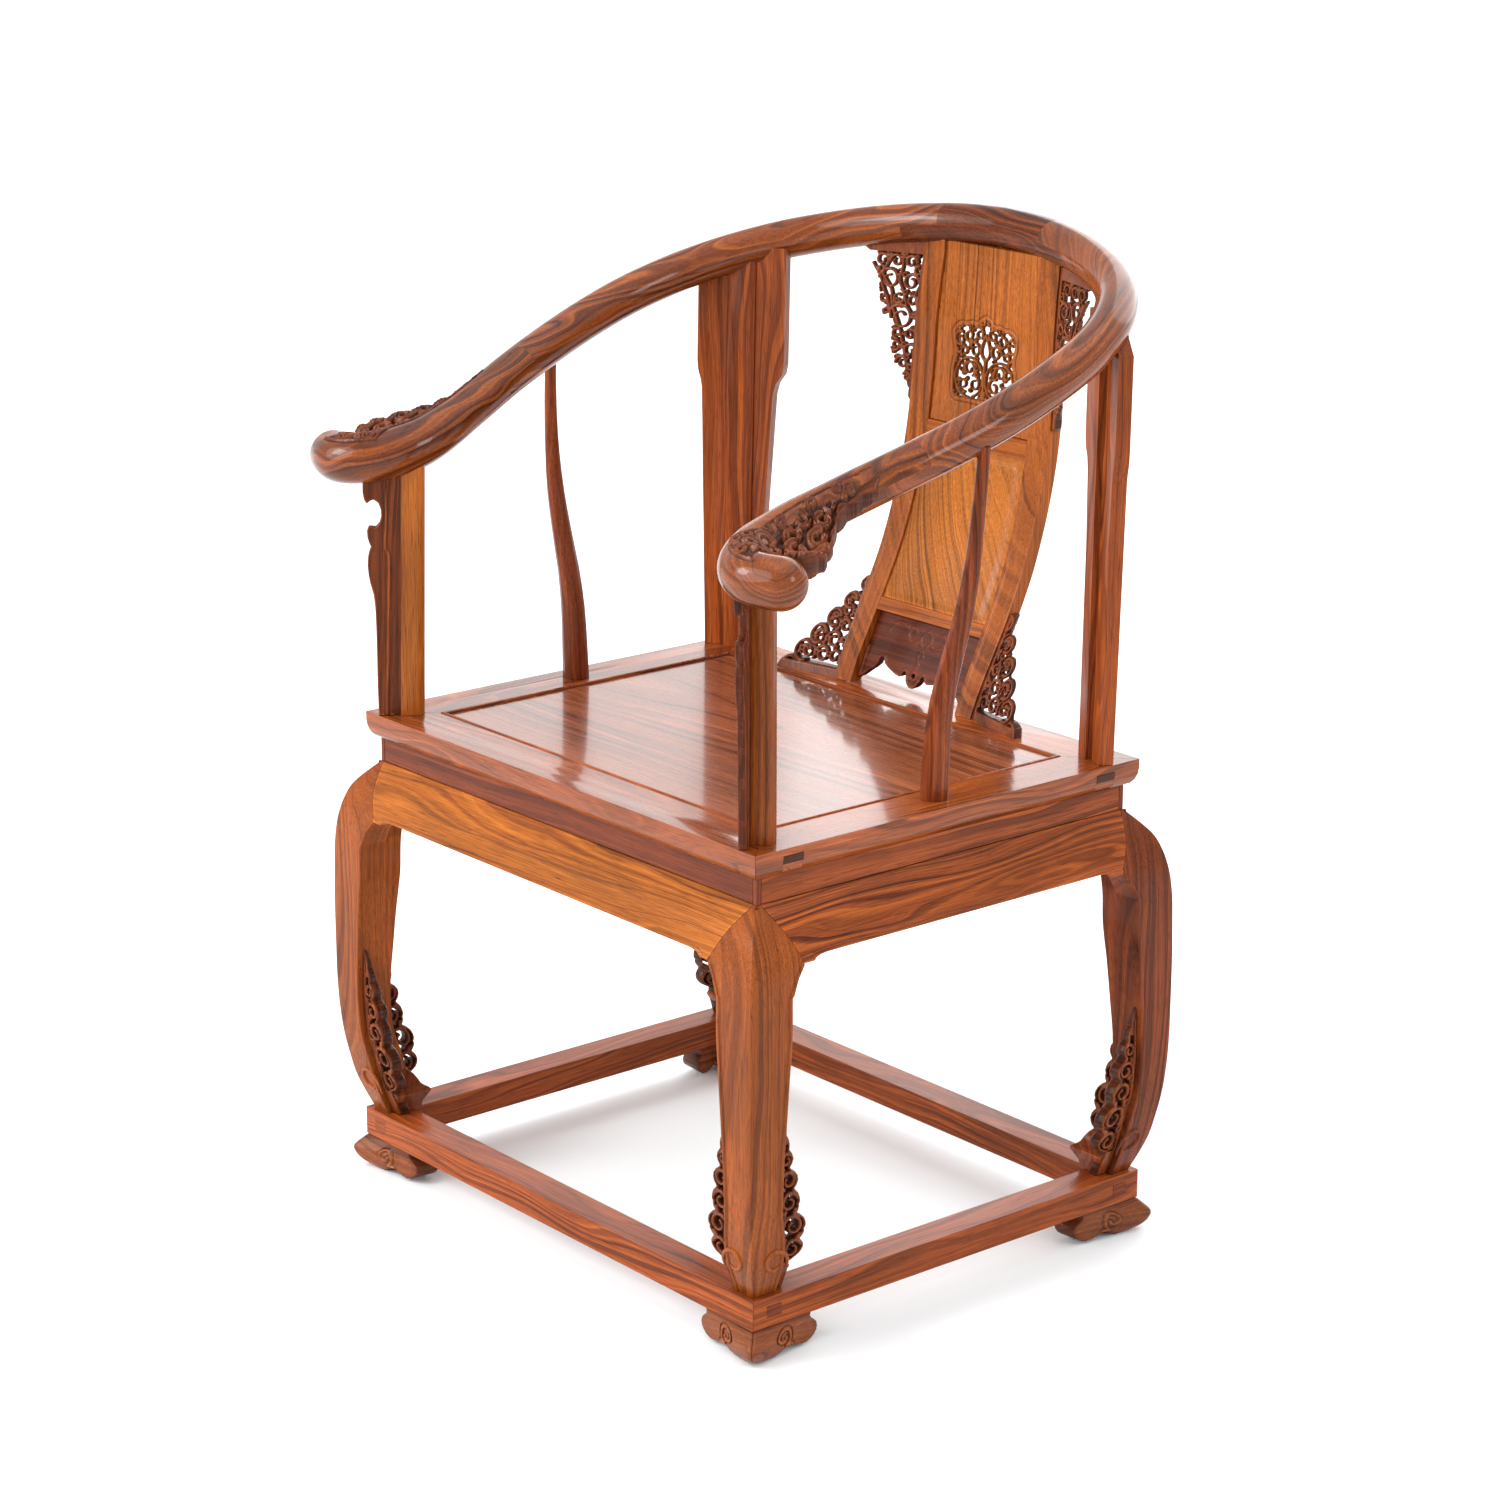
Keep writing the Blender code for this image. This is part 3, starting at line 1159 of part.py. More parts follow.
def splat_levels(low, high):
    heights = [SEAT_HEIGHT + SPLAT_RISE * row[0] for row in SPLAT_CURVE_SHARES[1:]]
    return [h for h in heights if low < h < high]


def stile_outer(height):
    share = (height - SEAT_HEIGHT) / SPLAT_RISE
    rises = [row[0] for row in STILE_OUTER_SHARES]
    widths = [row[1] for row in STILE_OUTER_SHARES]
    return STILE_OUTER * float(np.interp(share, rises, widths))


def stile_inner(height):
    share = min(max((height - SEAT_HEIGHT) / SPLAT_RISE, 0.0), 1.0)
    return STILE_FOOT_INNER + (STILE_HEAD_INNER - STILE_FOOT_INNER) * share


def make_stiles(frame, sleeve):
    """The splat's two uprights, tenoned into the back rail of the seat."""
    foot = SEAT_HEIGHT + GAP
    top = SPLAT_TOP + SPLAT_OVER
    heights = [foot] + splat_levels(foot, top) + [top]
    middle = (stile_outer(foot) + stile_inner(foot)) / 2
    near = middle - STILE_TENON_WIDTH / 2
    far = middle + STILE_TENON_WIDTH / 2
    low = SEAT_HEIGHT - POST_TENON_DEPTH
    outline = [(near, foot), (near, low), (far, low), (far, foot)]
    outline += [(stile_outer(h), h) for h in heights]
    outline += [(stile_inner(h), h) for h in heights[::-1]]
    mesh = outline_mesh("splat_stile_right", (outline,), SPLAT_THICKNESS, splat_levels(foot, top), on_splat(0.0))
    stile = add_part("splat_stile_right", mesh, LIT)
    boolean(stile, sleeve)
    keep_largest(stile)
    add_part("splat_stile_left", mirrored(stile.data, "splat_stile_left"), RED)
    size = (STILE_TENON_WIDTH + 2 * GAP, SPLAT_THICKNESS + 2 * GAP, POST_TENON_DEPTH + GAP + OVERRUN)
    for sign in (1, -1):
        centre = (sign * middle, SPLAT_FRONT + SPLAT_THICKNESS / 2, SEAT_HEIGHT + OVERRUN - size[2] / 2)
        boolean(frame["back"], add_cutter("stile_socket", block("stile_socket", size, centre)))


def splat_field(name, low, high, recess, thickness, colour, sleeve=None):
    """A board between the stiles, from one height to another."""
    heights = [low] + splat_levels(low, high) + [high]
    right = [(stile_inner(h) - GAP, h) for h in heights]
    outline = right + [(-along, h) for along, h in right[::-1]]
    part = add_part(name, outline_mesh(name, (outline,), thickness, splat_levels(low, high), on_splat(recess)), colour)
    if sleeve is not None:
        boolean(part, sleeve)
        keep_largest(part)
    return part


def make_splat_boards(frame, sleeve):
    """Two cross rails, the panels that they hold, and the shaped apron under the lower one."""
    lower = SEAT_HEIGHT + LOWER_RAIL_HEIGHT
    middle = SEAT_HEIGHT + MID_RAIL_HEIGHT
    splat_field("splat_rail_lower", lower, lower + LOWER_RAIL_DEPTH, 0.0, SPLAT_THICKNESS, RED)
    splat_field("splat_rail_middle", middle, middle + MID_RAIL_DEPTH, 0.0, SPLAT_THICKNESS, LIT)
    splat_field("splat_panel_lower", lower + LOWER_RAIL_DEPTH + GAP, middle - GAP, FIELD_RECESS,
                FIELD_THICKNESS, LIT)
    upper = splat_field("splat_panel_upper", middle + MID_RAIL_DEPTH + GAP, SPLAT_TOP + SPLAT_OVER,
                        FIELD_RECESS, FIELD_THICKNESS, LIT, sleeve)
    cut_medallion(upper)
    make_splat_apron(lower)


def cut_medallion(panel):
    """A shallow sunk field with an ogee head in the upper panel."""
    low = SEAT_HEIGHT + MEDALLION_FOOT
    half = [(w * MEDALLION_HALF_WIDTH, low + h * MEDALLION_HEIGHT) for w, h in MEDALLION_SHARES]
    outline = half[:-1] + [(-along, h) for along, h in half[-2:0:-1]]
    deep = OVERRUN + MEDALLION_SINK
    place = on_splat(FIELD_RECESS - OVERRUN)
    levels = splat_levels(low, low + MEDALLION_HEIGHT)
    tool = add_cutter("medallion", outline_mesh("medallion", (outline,), deep, levels, place))
    boolean(panel, tool)


def make_splat_apron(lower):
    """A board with a scalloped opening that stands on the seat between the stiles."""
    foot = SEAT_HEIGHT + GAP
    head = lower - GAP
    tall = head - foot
    reach = stile_inner(foot)
    edge = [(x * reach, foot + h * tall) for x, h in SPLAT_APRON_SHARES]
    right = edge + [(stile_inner(foot) - GAP, foot), (stile_inner(head) - GAP, head)]
    outline = right + [(-along, h) for along, h in right[::-1] if along > 0]
    mesh = outline_mesh("splat_apron", (outline,), FIELD_THICKNESS, splat_levels(foot, head), on_splat(FIELD_RECESS))
    add_part("splat_apron", mesh, RED)


def make_wings(sleeve):
    """Openwork wings beside the splat, the upper ones turned forward along the rail."""
    low = SPLAT_TOP - UPPER_WING_HEIGHT
    tall = UPPER_WING_HEIGHT
    wide = UPPER_WING_WIDTH
    outline = [(0, low + tall)] + [(w * wide, low + h * tall) for h, w in UPPER_WING_SHARES] + [(0, low)]
    holes = [circle(w * wide, low + h * tall, r * wide) for h, w, r in UPPER_WING_HOLE_SHARES]

    def upper(along, height, depth):
        turn = UPPER_WING_TURN
        x = stile_outer(height) + GAP + along * math.cos(turn)
        y = splat_front(height) + WING_SETBACK + depth - along * math.sin(turn)
        return (x, y, height)

    mesh = outline_mesh("upper_wing_right", [outline] + holes, WING_THICKNESS, splat_levels(low, low + tall), upper)
    part = add_part("upper_wing_right", mesh, DEEP)
    boolean(part, sleeve)
    keep_largest(part)
    add_part("upper_wing_left", mirrored(part.data, "upper_wing_left"), DEEP)
    foot = SEAT_HEIGHT + GAP
    tall = LOWER_WING_HEIGHT
    wide = LOWER_WING_WIDTH
    outline = [(0, foot + tall)] + [(w * wide, foot + h * tall) for h, w in LOWER_WING_SHARES] + [(0, foot)]
    holes = [circle(w * wide, foot + h * tall, r * wide) for h, w, r in LOWER_WING_HOLE_SHARES]

    def beside(along, height, depth):
        turn = LOWER_WING_TURN
        x = stile_outer(height) + GAP + along * math.cos(turn)
        return (x, splat_front(height) + WING_SETBACK + depth - along * math.sin(turn), height)

    mesh = outline_mesh("lower_wing_right", [outline] + holes, WING_THICKNESS, splat_levels(foot, foot + tall), beside)
    part = add_part("lower_wing_right", mesh, DEEP)
    add_part("lower_wing_left", mirrored(part.data, "lower_wing_left"), DEEP)


def make_arm_carvings(sleeve):
    """Carved pieces that fill the bend outside each hook."""
    path, radii = rail_path()
    last = nearest_on_rail(1, RAIL_BACK - RAIL_RUN)
    rings = []
    for run, reach, thick in ARM_CARVING_SHARES:
        y = ARM_CARVING_BACK_Y + (ARM_CARVING_FRONT_Y - ARM_CARVING_BACK_Y) * run
        index = int(np.abs(path[:last, 1] - y).argmin())
        x, _, z = path[index]
        start = x + radii[index] * 0.55
        end = x + radii[index] + ARM_CARVING_WIDTH * reach
        half = ARM_CARVING_THICKNESS / 2 * thick
        bevel = half * 0.4
        plan = [(start, -half), (end - bevel, -half), (end, -half + bevel), (end, half - bevel),
                (end - bevel, half), (start, half)]
        rings.append([(a, y, z + b) for a, b in plan])
    part = add_part("arm_carving_right", loft("arm_carving_right", rings), DEEP, smooth=False)
    boolean(part, sleeve)
    keep_largest(part)
    add_part("arm_carving_left", mirrored(part.data, "arm_carving_left"), DEEP)


def centre_on_origin():
    """Parent every part to one empty that centres the chair over the origin."""
    low = Vector((math.inf,) * 3)
    high = Vector((-math.inf,) * 3)
    for part in parts.objects:
        for vert in part.data.vertices:
            low = Vector(map(min, low, vert.co))
            high = Vector(map(max, high, vert.co))
    carrier = bpy.data.objects.new("horseshoe_back_armchair", None)
    parts.objects.link(carrier)
    carrier.location = (-(low.x + high.x) / 2, -(low.y + high.y) / 2, -low.z)
    for part in parts.objects:
        if part is not carrier:
            part.parent = carrier


def build():
    frame = make_seat_frame()
    make_seat_panel(frame)
    make_waist()
    make_aprons()
    make_legs()
    base = make_base()
    cut_leg_mortises(frame, base)
    make_feet()
    make_leg_carvings()
    sleeve = add_cutter("rail_sleeve", rail_mesh("rail_sleeve", GAP))
    mortises = []
    make_front_posts(frame, sleeve, mortises)
    make_side_posts(frame, sleeve, mortises)
    make_rear_posts(frame, sleeve, mortises)
    make_stiles(frame, sleeve)
    make_splat_boards(frame, sleeve)
    make_wings(sleeve)
    make_arm_carvings(sleeve)
    make_rail(mortises)
    centre_on_origin()


clear_scene()
parts = new_collection("Horseshoe_back_armchair")
cutters = new_collection("Cutters")
build()
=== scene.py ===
"""Looks of the horseshoe back armchair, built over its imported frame.

Metres, +Z up, the sitter faces -Y. Every piece rides on the one body of the chair.
"""

import math

import bmesh
import bpy
import numpy as np
from mathutils import Matrix, Vector


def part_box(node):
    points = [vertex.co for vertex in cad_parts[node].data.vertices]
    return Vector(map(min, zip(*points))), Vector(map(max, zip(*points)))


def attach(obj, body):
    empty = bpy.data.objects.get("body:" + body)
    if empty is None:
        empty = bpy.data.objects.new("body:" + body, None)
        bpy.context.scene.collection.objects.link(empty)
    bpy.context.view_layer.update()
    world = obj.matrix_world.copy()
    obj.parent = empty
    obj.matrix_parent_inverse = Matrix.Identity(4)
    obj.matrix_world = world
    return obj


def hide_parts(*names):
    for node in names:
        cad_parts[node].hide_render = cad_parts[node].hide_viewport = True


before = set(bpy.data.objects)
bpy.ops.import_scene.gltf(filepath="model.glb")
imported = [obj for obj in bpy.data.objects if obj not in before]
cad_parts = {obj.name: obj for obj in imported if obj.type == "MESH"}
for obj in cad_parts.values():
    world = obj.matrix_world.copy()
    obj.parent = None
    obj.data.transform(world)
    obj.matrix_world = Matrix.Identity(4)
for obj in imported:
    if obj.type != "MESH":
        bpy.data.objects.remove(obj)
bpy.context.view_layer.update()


# Seat frame
# Four mitred rosewood rails with a rounded edge, tenoned at the corners; the tenons of the front and
# back rails show as dark end grain on the sides. Polished and lacquered, fixed by their joints alone.
FIGURE_BEND, PITH_TILT, VEINS_PER_RING = 0.016, 0.022, 0.45
FIBRES, PORES, BLOTCHES, CALMS, WAVES = 950.0, 1500.0, 16.0, 13.0, 11.0
ALONG_X, ALONG_Y, UPRIGHT = (1.0, 0.0, 0.0), (0.0, 1.0, 0.0), (0.0, 0.0, 1.0)
SOFT_ARRIS, ARRIS_ANGLE, WELD = 0.0008, math.radians(32), 0.00001


def rosewood(name, light, middle, dark, ring=210.0, contrast=1.0, roughness=0.30, coat=0.12, figure=0.6):
    """Wood read off a board's own coordinates (across, through, along) in the attribute grain.

    Distance from a far pith, bent by slow noise along the board, gives the growth bands; noise
    drawn out along the board gives fibres and pores. The carving's depth paints shade into the hollows.
    """
    made = bpy.data.materials.new(name)
    made.use_nodes = True
    tree = made.node_tree
    shader = tree.nodes["Principled BSDF"]

    def add(kind, inputs, **settings):
        node = tree.nodes.new("ShaderNode" + kind)
        for key, value in settings.items():
            setattr(node, key, value)
        for key, value in inputs.items():
            if isinstance(value, bpy.types.NodeSocket):
                tree.links.new(value, node.inputs[key])
            else:
                node.inputs[key].default_value = value
        return node.outputs

    def noise(vector, drawn_out, scale, detail, rough=0.5):
        pulled = add("VectorMath", {0: vector, 1: (1.0, 1.0, drawn_out)}, operation="MULTIPLY")[0]
        return add("TexNoise", {"Vector": pulled, "Scale": scale, "Detail": detail, "Roughness": rough})["Fac"]

    def bands(distance, scale, detail, rough=0.5):
        inputs = {"W": distance, "Scale": scale, "Detail": detail, "Roughness": rough}
        return add("TexNoise", inputs, noise_dimensions="1D")["Fac"]

    def sum_of(a, b, factor):
        return add("Math", {0: b, 1: factor, 2: a}, operation="MULTIPLY_ADD")[0]

    def spread(value, *limits):
        names = ("From Min", "From Max", "To Min", "To Max")
        return add("MapRange", {"Value": value, **dict(zip(names, limits))})[0]

    def times(a, b):
        return add("Mix", {"Factor": 1.0, "A": a, "B": b}, data_type="RGBA", blend_type="MULTIPLY")["Result"]

    grain = add("Attribute", {}, attribute_name="grain")["Vector"]
    across, through, along = add("SeparateXYZ", {0: grain})
    bend = spread(noise(grain, 0.20, WAVES, 2.0), 0.3, 0.7, -FIGURE_BEND * figure, FIGURE_BEND * figure)
    tilt = sum_of(through, along, PITH_TILT)
    flat = add("CombineXYZ", {0: sum_of(across, bend, 0.9), 1: sum_of(tilt, bend, 0.6)})[0]
    reach = add("VectorMath", {0: flat}, operation="LENGTH")["Value"]
    ramp = add("ValToRGB", {"Fac": bands(reach, ring, 4.0, 0.65)})["Color"]
    stops = ramp.node.color_ramp.elements
    stops[0].position, stops[0].color = 0.5 - 0.20 / contrast, (*dark, 1.0)
    stops[1].position, stops[1].color = 0.5 + 0.18 / contrast, (*light, 1.0)
    stops.new(0.5 - 0.06 / contrast).color = (*middle, 1.0)
    fibre = noise(grain, 0.020, FIBRES, 4.0, 0.65)
    pore = noise(grain, 0.030, PORES, 1.0)
    blotch = noise(grain, 0.35, BLOTCHES, 3.0)
    vein = bands(reach, VEINS_PER_RING * ring, 2.0)
    figured = times(ramp, spread(vein, 0.34, 0.46, 1.0 - 0.55 * contrast, 1.0))
    calm = spread(noise(grain, 0.22, CALMS, 1.0), 0.36, 0.58, 0.45, 1.0)
    quiet = [0.35 * a + 0.65 * b for a, b in zip(light, middle)]
    colour = add("Mix", {"Factor": calm, "A": (*quiet, 1.0), "B": figured}, data_type="RGBA")["Result"]
    # Painted shade: the depth of the carved ground darkens the colour to about a fifth in the deepest hollows, and
    # roughens them.
    hollow = add("Attribute", {}, attribute_name="ground_shade")["Fac"]
    # Lighter on sharp convex edges, by how pointed the surface is there.
    pointed_edges = add("NewGeometry", {})["Pointiness"]
    for mask, *limits in ((fibre, 0.30, 0.70, 0.60, 1.30), (pore, 0.27, 0.38, 0.40, 1.0),
                          (blotch, 0.30, 0.70, 0.76, 1.20), (hollow, 0.0, 1.0, 1.0, 0.22),
                          (pointed_edges, 0.52, 0.62, 1.0, 1.35)):
        colour = times(colour, spread(mask, *limits))
    rough = sum_of(spread(fibre, 0.3, 0.7, roughness - 0.05, roughness + 0.08), hollow, 0.25)
    bump = {"Strength": 0.35, "Distance": 0.00012, "Height": sum_of(fibre, pore, 0.8)}
    for key, output in (("Base Color", colour), ("Roughness", rough), ("Normal", add("Bump", bump)["Normal"])):
        tree.links.new(output, shader.inputs[key])
    shader.inputs["Coat Weight"].default_value = coat
    shader.inputs["Coat Roughness"].default_value = 0.09
    shader.inputs["Specular IOR Level"].default_value = 0.08
    return made


def board_grain(points, along, offset):
    """Board coordinates of points: across and through the board, and along a direction of the chair."""
    along = np.array(along, float) / np.linalg.norm(along)
    across = np.cross(along, UPRIGHT if abs(along[2]) < 0.8 else ALONG_Y)
    across /= np.linalg.norm(across)
    through = np.cross(along, across)
    local = points - points.mean(axis=0)
    return np.stack([local @ across, local @ through, local @ along], axis=1) + np.array(offset)


def finish_piece(mesh, wood, nodes, bevel=0.0):
    """Makes a mesh a piece of the chair: paints it, rounds its arrises and lets it stand for its CAD nodes."""
    mesh.materials.clear()
    mesh.materials.append(wood)
    piece = bpy.data.objects.new(mesh.name, mesh)
    bpy.context.scene.collection.objects.link(piece)
    if bevel:
        rounding = piece.modifiers.new("arris", "BEVEL")
        rounding.width = bevel
        rounding.segments = 2
        rounding.limit_method = "ANGLE"
        rounding.angle_limit = ARRIS_ANGLE
    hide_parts(*nodes)
    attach(piece, "root")


def dress(node, wood, along, offset, bevel=SOFT_ARRIS):
    """The node's own surface, welded and with rounded arrises, as a piece that stands for it."""
    bm = bmesh.new()
    bm.from_mesh(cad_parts[node].data)
    bmesh.ops.remove_doubles(bm, verts=bm.verts, dist=WELD)
    bmesh.ops.dissolve_limit(bm, angle_limit=math.radians(1), verts=bm.verts, edges=bm.edges)
    mesh = bpy.data.meshes.new("look_" + node)
    bm.to_mesh(mesh)
    bm.free()
    mesh.shade_smooth()
    mesh.set_sharp_from_angle(angle=ARRIS_ANGLE)
    points = np.empty(len(mesh.vertices) * 3)
    mesh.vertices.foreach_get("co", points)
    grain = board_grain(points.reshape(-1, 3), along, offset)
    mesh.attributes.new("grain", "FLOAT_VECTOR", "POINT").data.foreach_set("vector", grain.ravel())
    finish_piece(mesh, wood, [node], bevel)


russet = rosewood("wood_russet", (0.33, 0.074, 0.013), (0.19, 0.037, 0.008), (0.055, 0.011, 0.004),
                  ring=270.0, contrast=0.9, figure=1.1)
frame_wood = rosewood("wood_seat_frame", (0.35, 0.082, 0.015), (0.21, 0.044, 0.010), (0.055, 0.012, 0.005),
                      ring=210.0, contrast=0.8, roughness=0.24, coat=0.42, figure=1.5)
for side, along, offset in (("front", ALONG_X, (0.05, 0.06, 0.3)), ("back", ALONG_X, (0.03, 0.08, 1.9)),
                            ("right", ALONG_Y, (0.07, 0.05, 2.7)), ("left", ALONG_Y, (0.02, 0.07, 4.1))):
    dress("seat_rail_" + side, frame_wood, along, offset)

# Seat panel
# A wide flat rosewood board floating in the groove of the frame, the glossiest surface of the chair,
# with a flat batten let into the frame below it.
panel_wood = rosewood("wood_seat_panel", (0.27, 0.080, 0.030), (0.17, 0.045, 0.019), (0.060, 0.015, 0.008),
                      ring=190.0, contrast=0.9, roughness=0.26, coat=0.55, figure=0.5)
dress("seat_panel", panel_wood, ALONG_X, (0.04, 0.12, 0.2))
dress("seat_batten", russet, ALONG_Y, (0.09, 0.05, 5.2))

# Waist
# Upright boards set back under the seat edge, dark and straight grained but for the redder one on the
# right, mitred at the corners.
umber = rosewood("wood_umber", (0.19, 0.038, 0.009), (0.115, 0.021, 0.006), (0.036, 0.007, 0.003),
                 ring=320.0, contrast=0.75)
for side, wood, along, offset in (
        ("front", umber, ALONG_X, (0.05, 0.09, 6.3)), ("back", umber, ALONG_X, (0.03, 0.05, 7.1)),
        ("right", russet, ALONG_Y, (0.06, 0.07, 8.9)), ("left", umber, ALONG_Y, (0.08, 0.05, 9.7))):
    dress("waist_" + side, wood, along, offset)

# Aprons
# Thick boards with a bulging face under the waist, mitred into the legs on a slope, with a worked
# bead along the low arch of their lower edge. The front one is the palest board of the chair.
SEAT_HALF_WIDTH, SEAT_HALF_DEPTH = 0.315, 0.248
LEG_FOOT, LEG_HEAD = 0.0651, 0.4505
LEG_BULGE, LEG_WIDTH, SHOULDER_WIDTH, SHOULDER_SHARE = 0.028, 0.050, 0.0645, 0.861
LEG_SHOULDER = LEG_FOOT + SHOULDER_SHARE * (LEG_HEAD - LEG_FOOT)
APRON_INNER_HIGH, APRON_FOOT_THICKNESS = 0.025, 0.033
CORNER_STRIP, JOINT_GAP = 0.005, 0.0003
APRON_RISE, APRON_CORNER, APRON_DROP_LENGTH = 0.005, 0.022, 0.012
BEAD_WIDTH, BEAD_HEIGHT, QUIRK_SHARE, QUIRK_AT, QUIRK_WIDTH = 0.0042, 0.0012, 0.35, 1.15, 0.22
BEAD_STEPS = BEAD_WIDTH * np.array([0.0, 0.08, 0.2, 0.35, 0.5, 0.65, 0.8, 0.92, 1.0, 1.08, 1.2, 1.35, 1.7])
LEVEL_SHARES = (0.0, 0.049, 0.091, 0.158, 0.220, 0.298, 0.376, 0.480, 0.584, 0.687, 0.789, 0.830,
                0.861, 0.895, 0.934, 0.973, 1.0)
BULGE_SHARES = (0.054, 0.32, 0.518, 0.714, 0.85, 0.946, 0.99, 1.0, 1.0, 0.98, 0.93, 0.87,
                0.79, 0.66, 0.43, 0.0, -0.357)
WIDTH_SHARES = (0.53, 0.66, 0.76, 0.81, 0.78, 0.79, 0.82, 0.88, 0.94, 1.0, 1.0, 1.0,
                1.0, 1.0, 1.0, 1.0, 1.0)
SEAT_MIDDLE = (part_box("seat_rail_front")[0].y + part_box("seat_rail_back")[1].y) / 2


def eased(x, known_x, known_y):
    """A smooth curve through known points: cubic pieces whose slopes are the mean of their neighbours'."""
    known_x, known_y = np.array(known_x, float), np.array(known_y, float)
    slopes = np.gradient(known_y, known_x)
    x = np.clip(np.asarray(x, float), known_x[0], known_x[-1])
    i = np.clip(np.searchsorted(known_x, x, side="right") - 1, 0, len(known_x) - 2)
    width = known_x[i + 1] - known_x[i]
    t = (x - known_x[i]) / width
    return ((2 * t ** 3 - 3 * t ** 2 + 1) * known_y[i] + (t ** 3 - 2 * t ** 2 + t) * width * slopes[i]
            + (3 * t ** 2 - 2 * t ** 3) * known_y[i + 1] + (t ** 3 - t ** 2) * width * slopes[i + 1])


def bulge_at(height):
    """How far a leg stands out from the seat frame at a height: its greatest bulge by an eased curve of shares."""
    return LEG_BULGE * eased((height - LEG_FOOT) / (LEG_HEAD - LEG_FOOT), LEVEL_SHARES, BULGE_SHARES)


def mitre_plan(height, grow):
    """Three points of the sloping joint in plan at each height: on the face, at its bend and inside."""
    share = (height - LEG_SHOULDER) / (LEG_HEAD - LEG_SHOULDER)
    swell, swell_low, swell_high = bulge_at(height), bulge_at(LEG_SHOULDER), bulge_at(LEG_HEAD)
    end_low, end_high = swell_low - SHOULDER_WIDTH, swell_high - CORNER_STRIP
    wide = swell - (end_low + (end_high - end_low) * share) + grow
    deep_low = APRON_FOOT_THICKNESS - swell_low
    deep = swell + deep_low + (APRON_INNER_HIGH - deep_low) * share
    strip = CORNER_STRIP + grow * math.sqrt(2)
    bend = np.clip(wide - strip, 0.0, deep)
    return (wide, 0.0 * wide), (wide, bend), (np.maximum(wide, deep + strip), deep)


def build_mesh(name, points, quads, caps, grain, ground_shade=None, sharp=40):
    """A mesh from arrays of points and faces, turned so that its enclosed volume is positive."""
    points, quads = np.asarray(points, float), np.asarray(quads)
    a, b, c, d = (points[quads[:, k]] for k in range(4))
    volume = np.einsum("ij,ij->", a, np.cross(b, c)) + np.einsum("ij,ij->", a, np.cross(c, d))
    for cap in caps:
        ring = points[cap]
        fan = np.cross(ring[1:-1], ring[2:])
        volume += np.einsum("ij,ij->", np.broadcast_to(ring[0], fan.shape), fan)
    if volume < 0:
        quads = quads[:, ::-1]
        caps = [cap[::-1] for cap in caps]
    loops = np.concatenate([quads.ravel()] + [np.asarray(cap) for cap in caps]).astype(np.int32)
    totals = np.array([4] * len(quads) + [len(cap) for cap in caps])
    starts = np.concatenate([[0], np.cumsum(totals)[:-1]]).astype(np.int32)
    mesh = bpy.data.meshes.new(name)
    mesh.vertices.add(len(points))
    mesh.vertices.foreach_set("co", points.ravel())
    mesh.loops.add(len(loops))
    mesh.loops.foreach_set("vertex_index", loops)
    mesh.polygons.add(len(totals))
    mesh.polygons.foreach_set("loop_start", starts)
    mesh.update(calc_edges=True)
    mesh.attributes.new("grain", "FLOAT_VECTOR", "POINT").data.foreach_set("vector", grain.astype(float).ravel())
    # The depth of each point below the carved face, kept for the painted shade of the ground.
    if ground_shade is not None:
        mesh.attributes.new("ground_shade", "FLOAT", "POINT").data.foreach_set("value", ground_shade.astype(float).ravel())
    mesh.validate()
    mesh.shade_smooth()
    mesh.set_sharp_from_angle(angle=math.radians(sharp))
    return mesh


def skin(name, rings, along, offset):
    """A closed surface over rings[i, j]: point j round section i, with both end sections filled."""
    index = np.arange(rings.shape[0] * rings.shape[1]).reshape(rings.shape[:2])
    after = np.roll(index, -1, axis=1)
    quads = np.stack([index[:-1], after[:-1], after[1:], index[1:]], axis=-1).reshape(-1, 4)
    points = rings.reshape(-1, 3)
    return build_mesh(name, points, quads, [index[0][::-1], index[-1]], board_grain(points, along, offset))


def slab(name, front, back, along, offset):
    """A closed board between two grids of points of one size, joined round their borders."""
    first = np.arange(front.shape[0] * front.shape[1]).reshape(front.shape[:2])
    second = first + first.size
    faces = [np.stack([first[:-1, :-1], first[:-1, 1:], first[1:, 1:], first[1:, :-1]], axis=-1).reshape(-1, 4),
             np.stack([second[:-1, :-1], second[1:, :-1], second[1:, 1:], second[:-1, 1:]], axis=-1).reshape(-1, 4)]
    border = [(first[0], second[0]), (first[:, -1], second[:, -1]),
              (first[-1][::-1], second[-1][::-1]), (first[::-1, 0], second[::-1, 0])]
    faces += [np.stack([a[:-1], b[:-1], b[1:], a[1:]], axis=-1) for a, b in border]
    points = np.concatenate([front.reshape(-1, 3), back.reshape(-1, 3)])
    return build_mesh(name, points, np.concatenate(faces), [], board_grain(points, along, offset))


def placed(side, along, inward, height):
    """Points of a frame member in the chair, inward counted from the outer face of the seat frame."""
    along, inward, height = np.broadcast_arrays(along, inward, height)
    way = 1 if side in ("front", "right") else -1
    x, y = (along, inward - SEAT_HALF_DEPTH) if side in ("front", "back") else (SEAT_HALF_WIDTH - inward, along)
    return np.stack([way * x, way * y + SEAT_MIDDLE, height], axis=-1)


def bead(distance):
    """How far a bead along an edge stands out, from the distance to the edge: a half round, then a quirk."""
    round_part = np.sqrt(np.clip(1 - (2 * distance / BEAD_WIDTH - 1) ** 2, 0, 1)) * BEAD_HEIGHT
    from_quirk = (distance - QUIRK_AT * BEAD_WIDTH) / (QUIRK_WIDTH * BEAD_WIDTH)
    return round_part - QUIRK_SHARE * BEAD_HEIGHT * np.exp(-from_quirk ** 2)


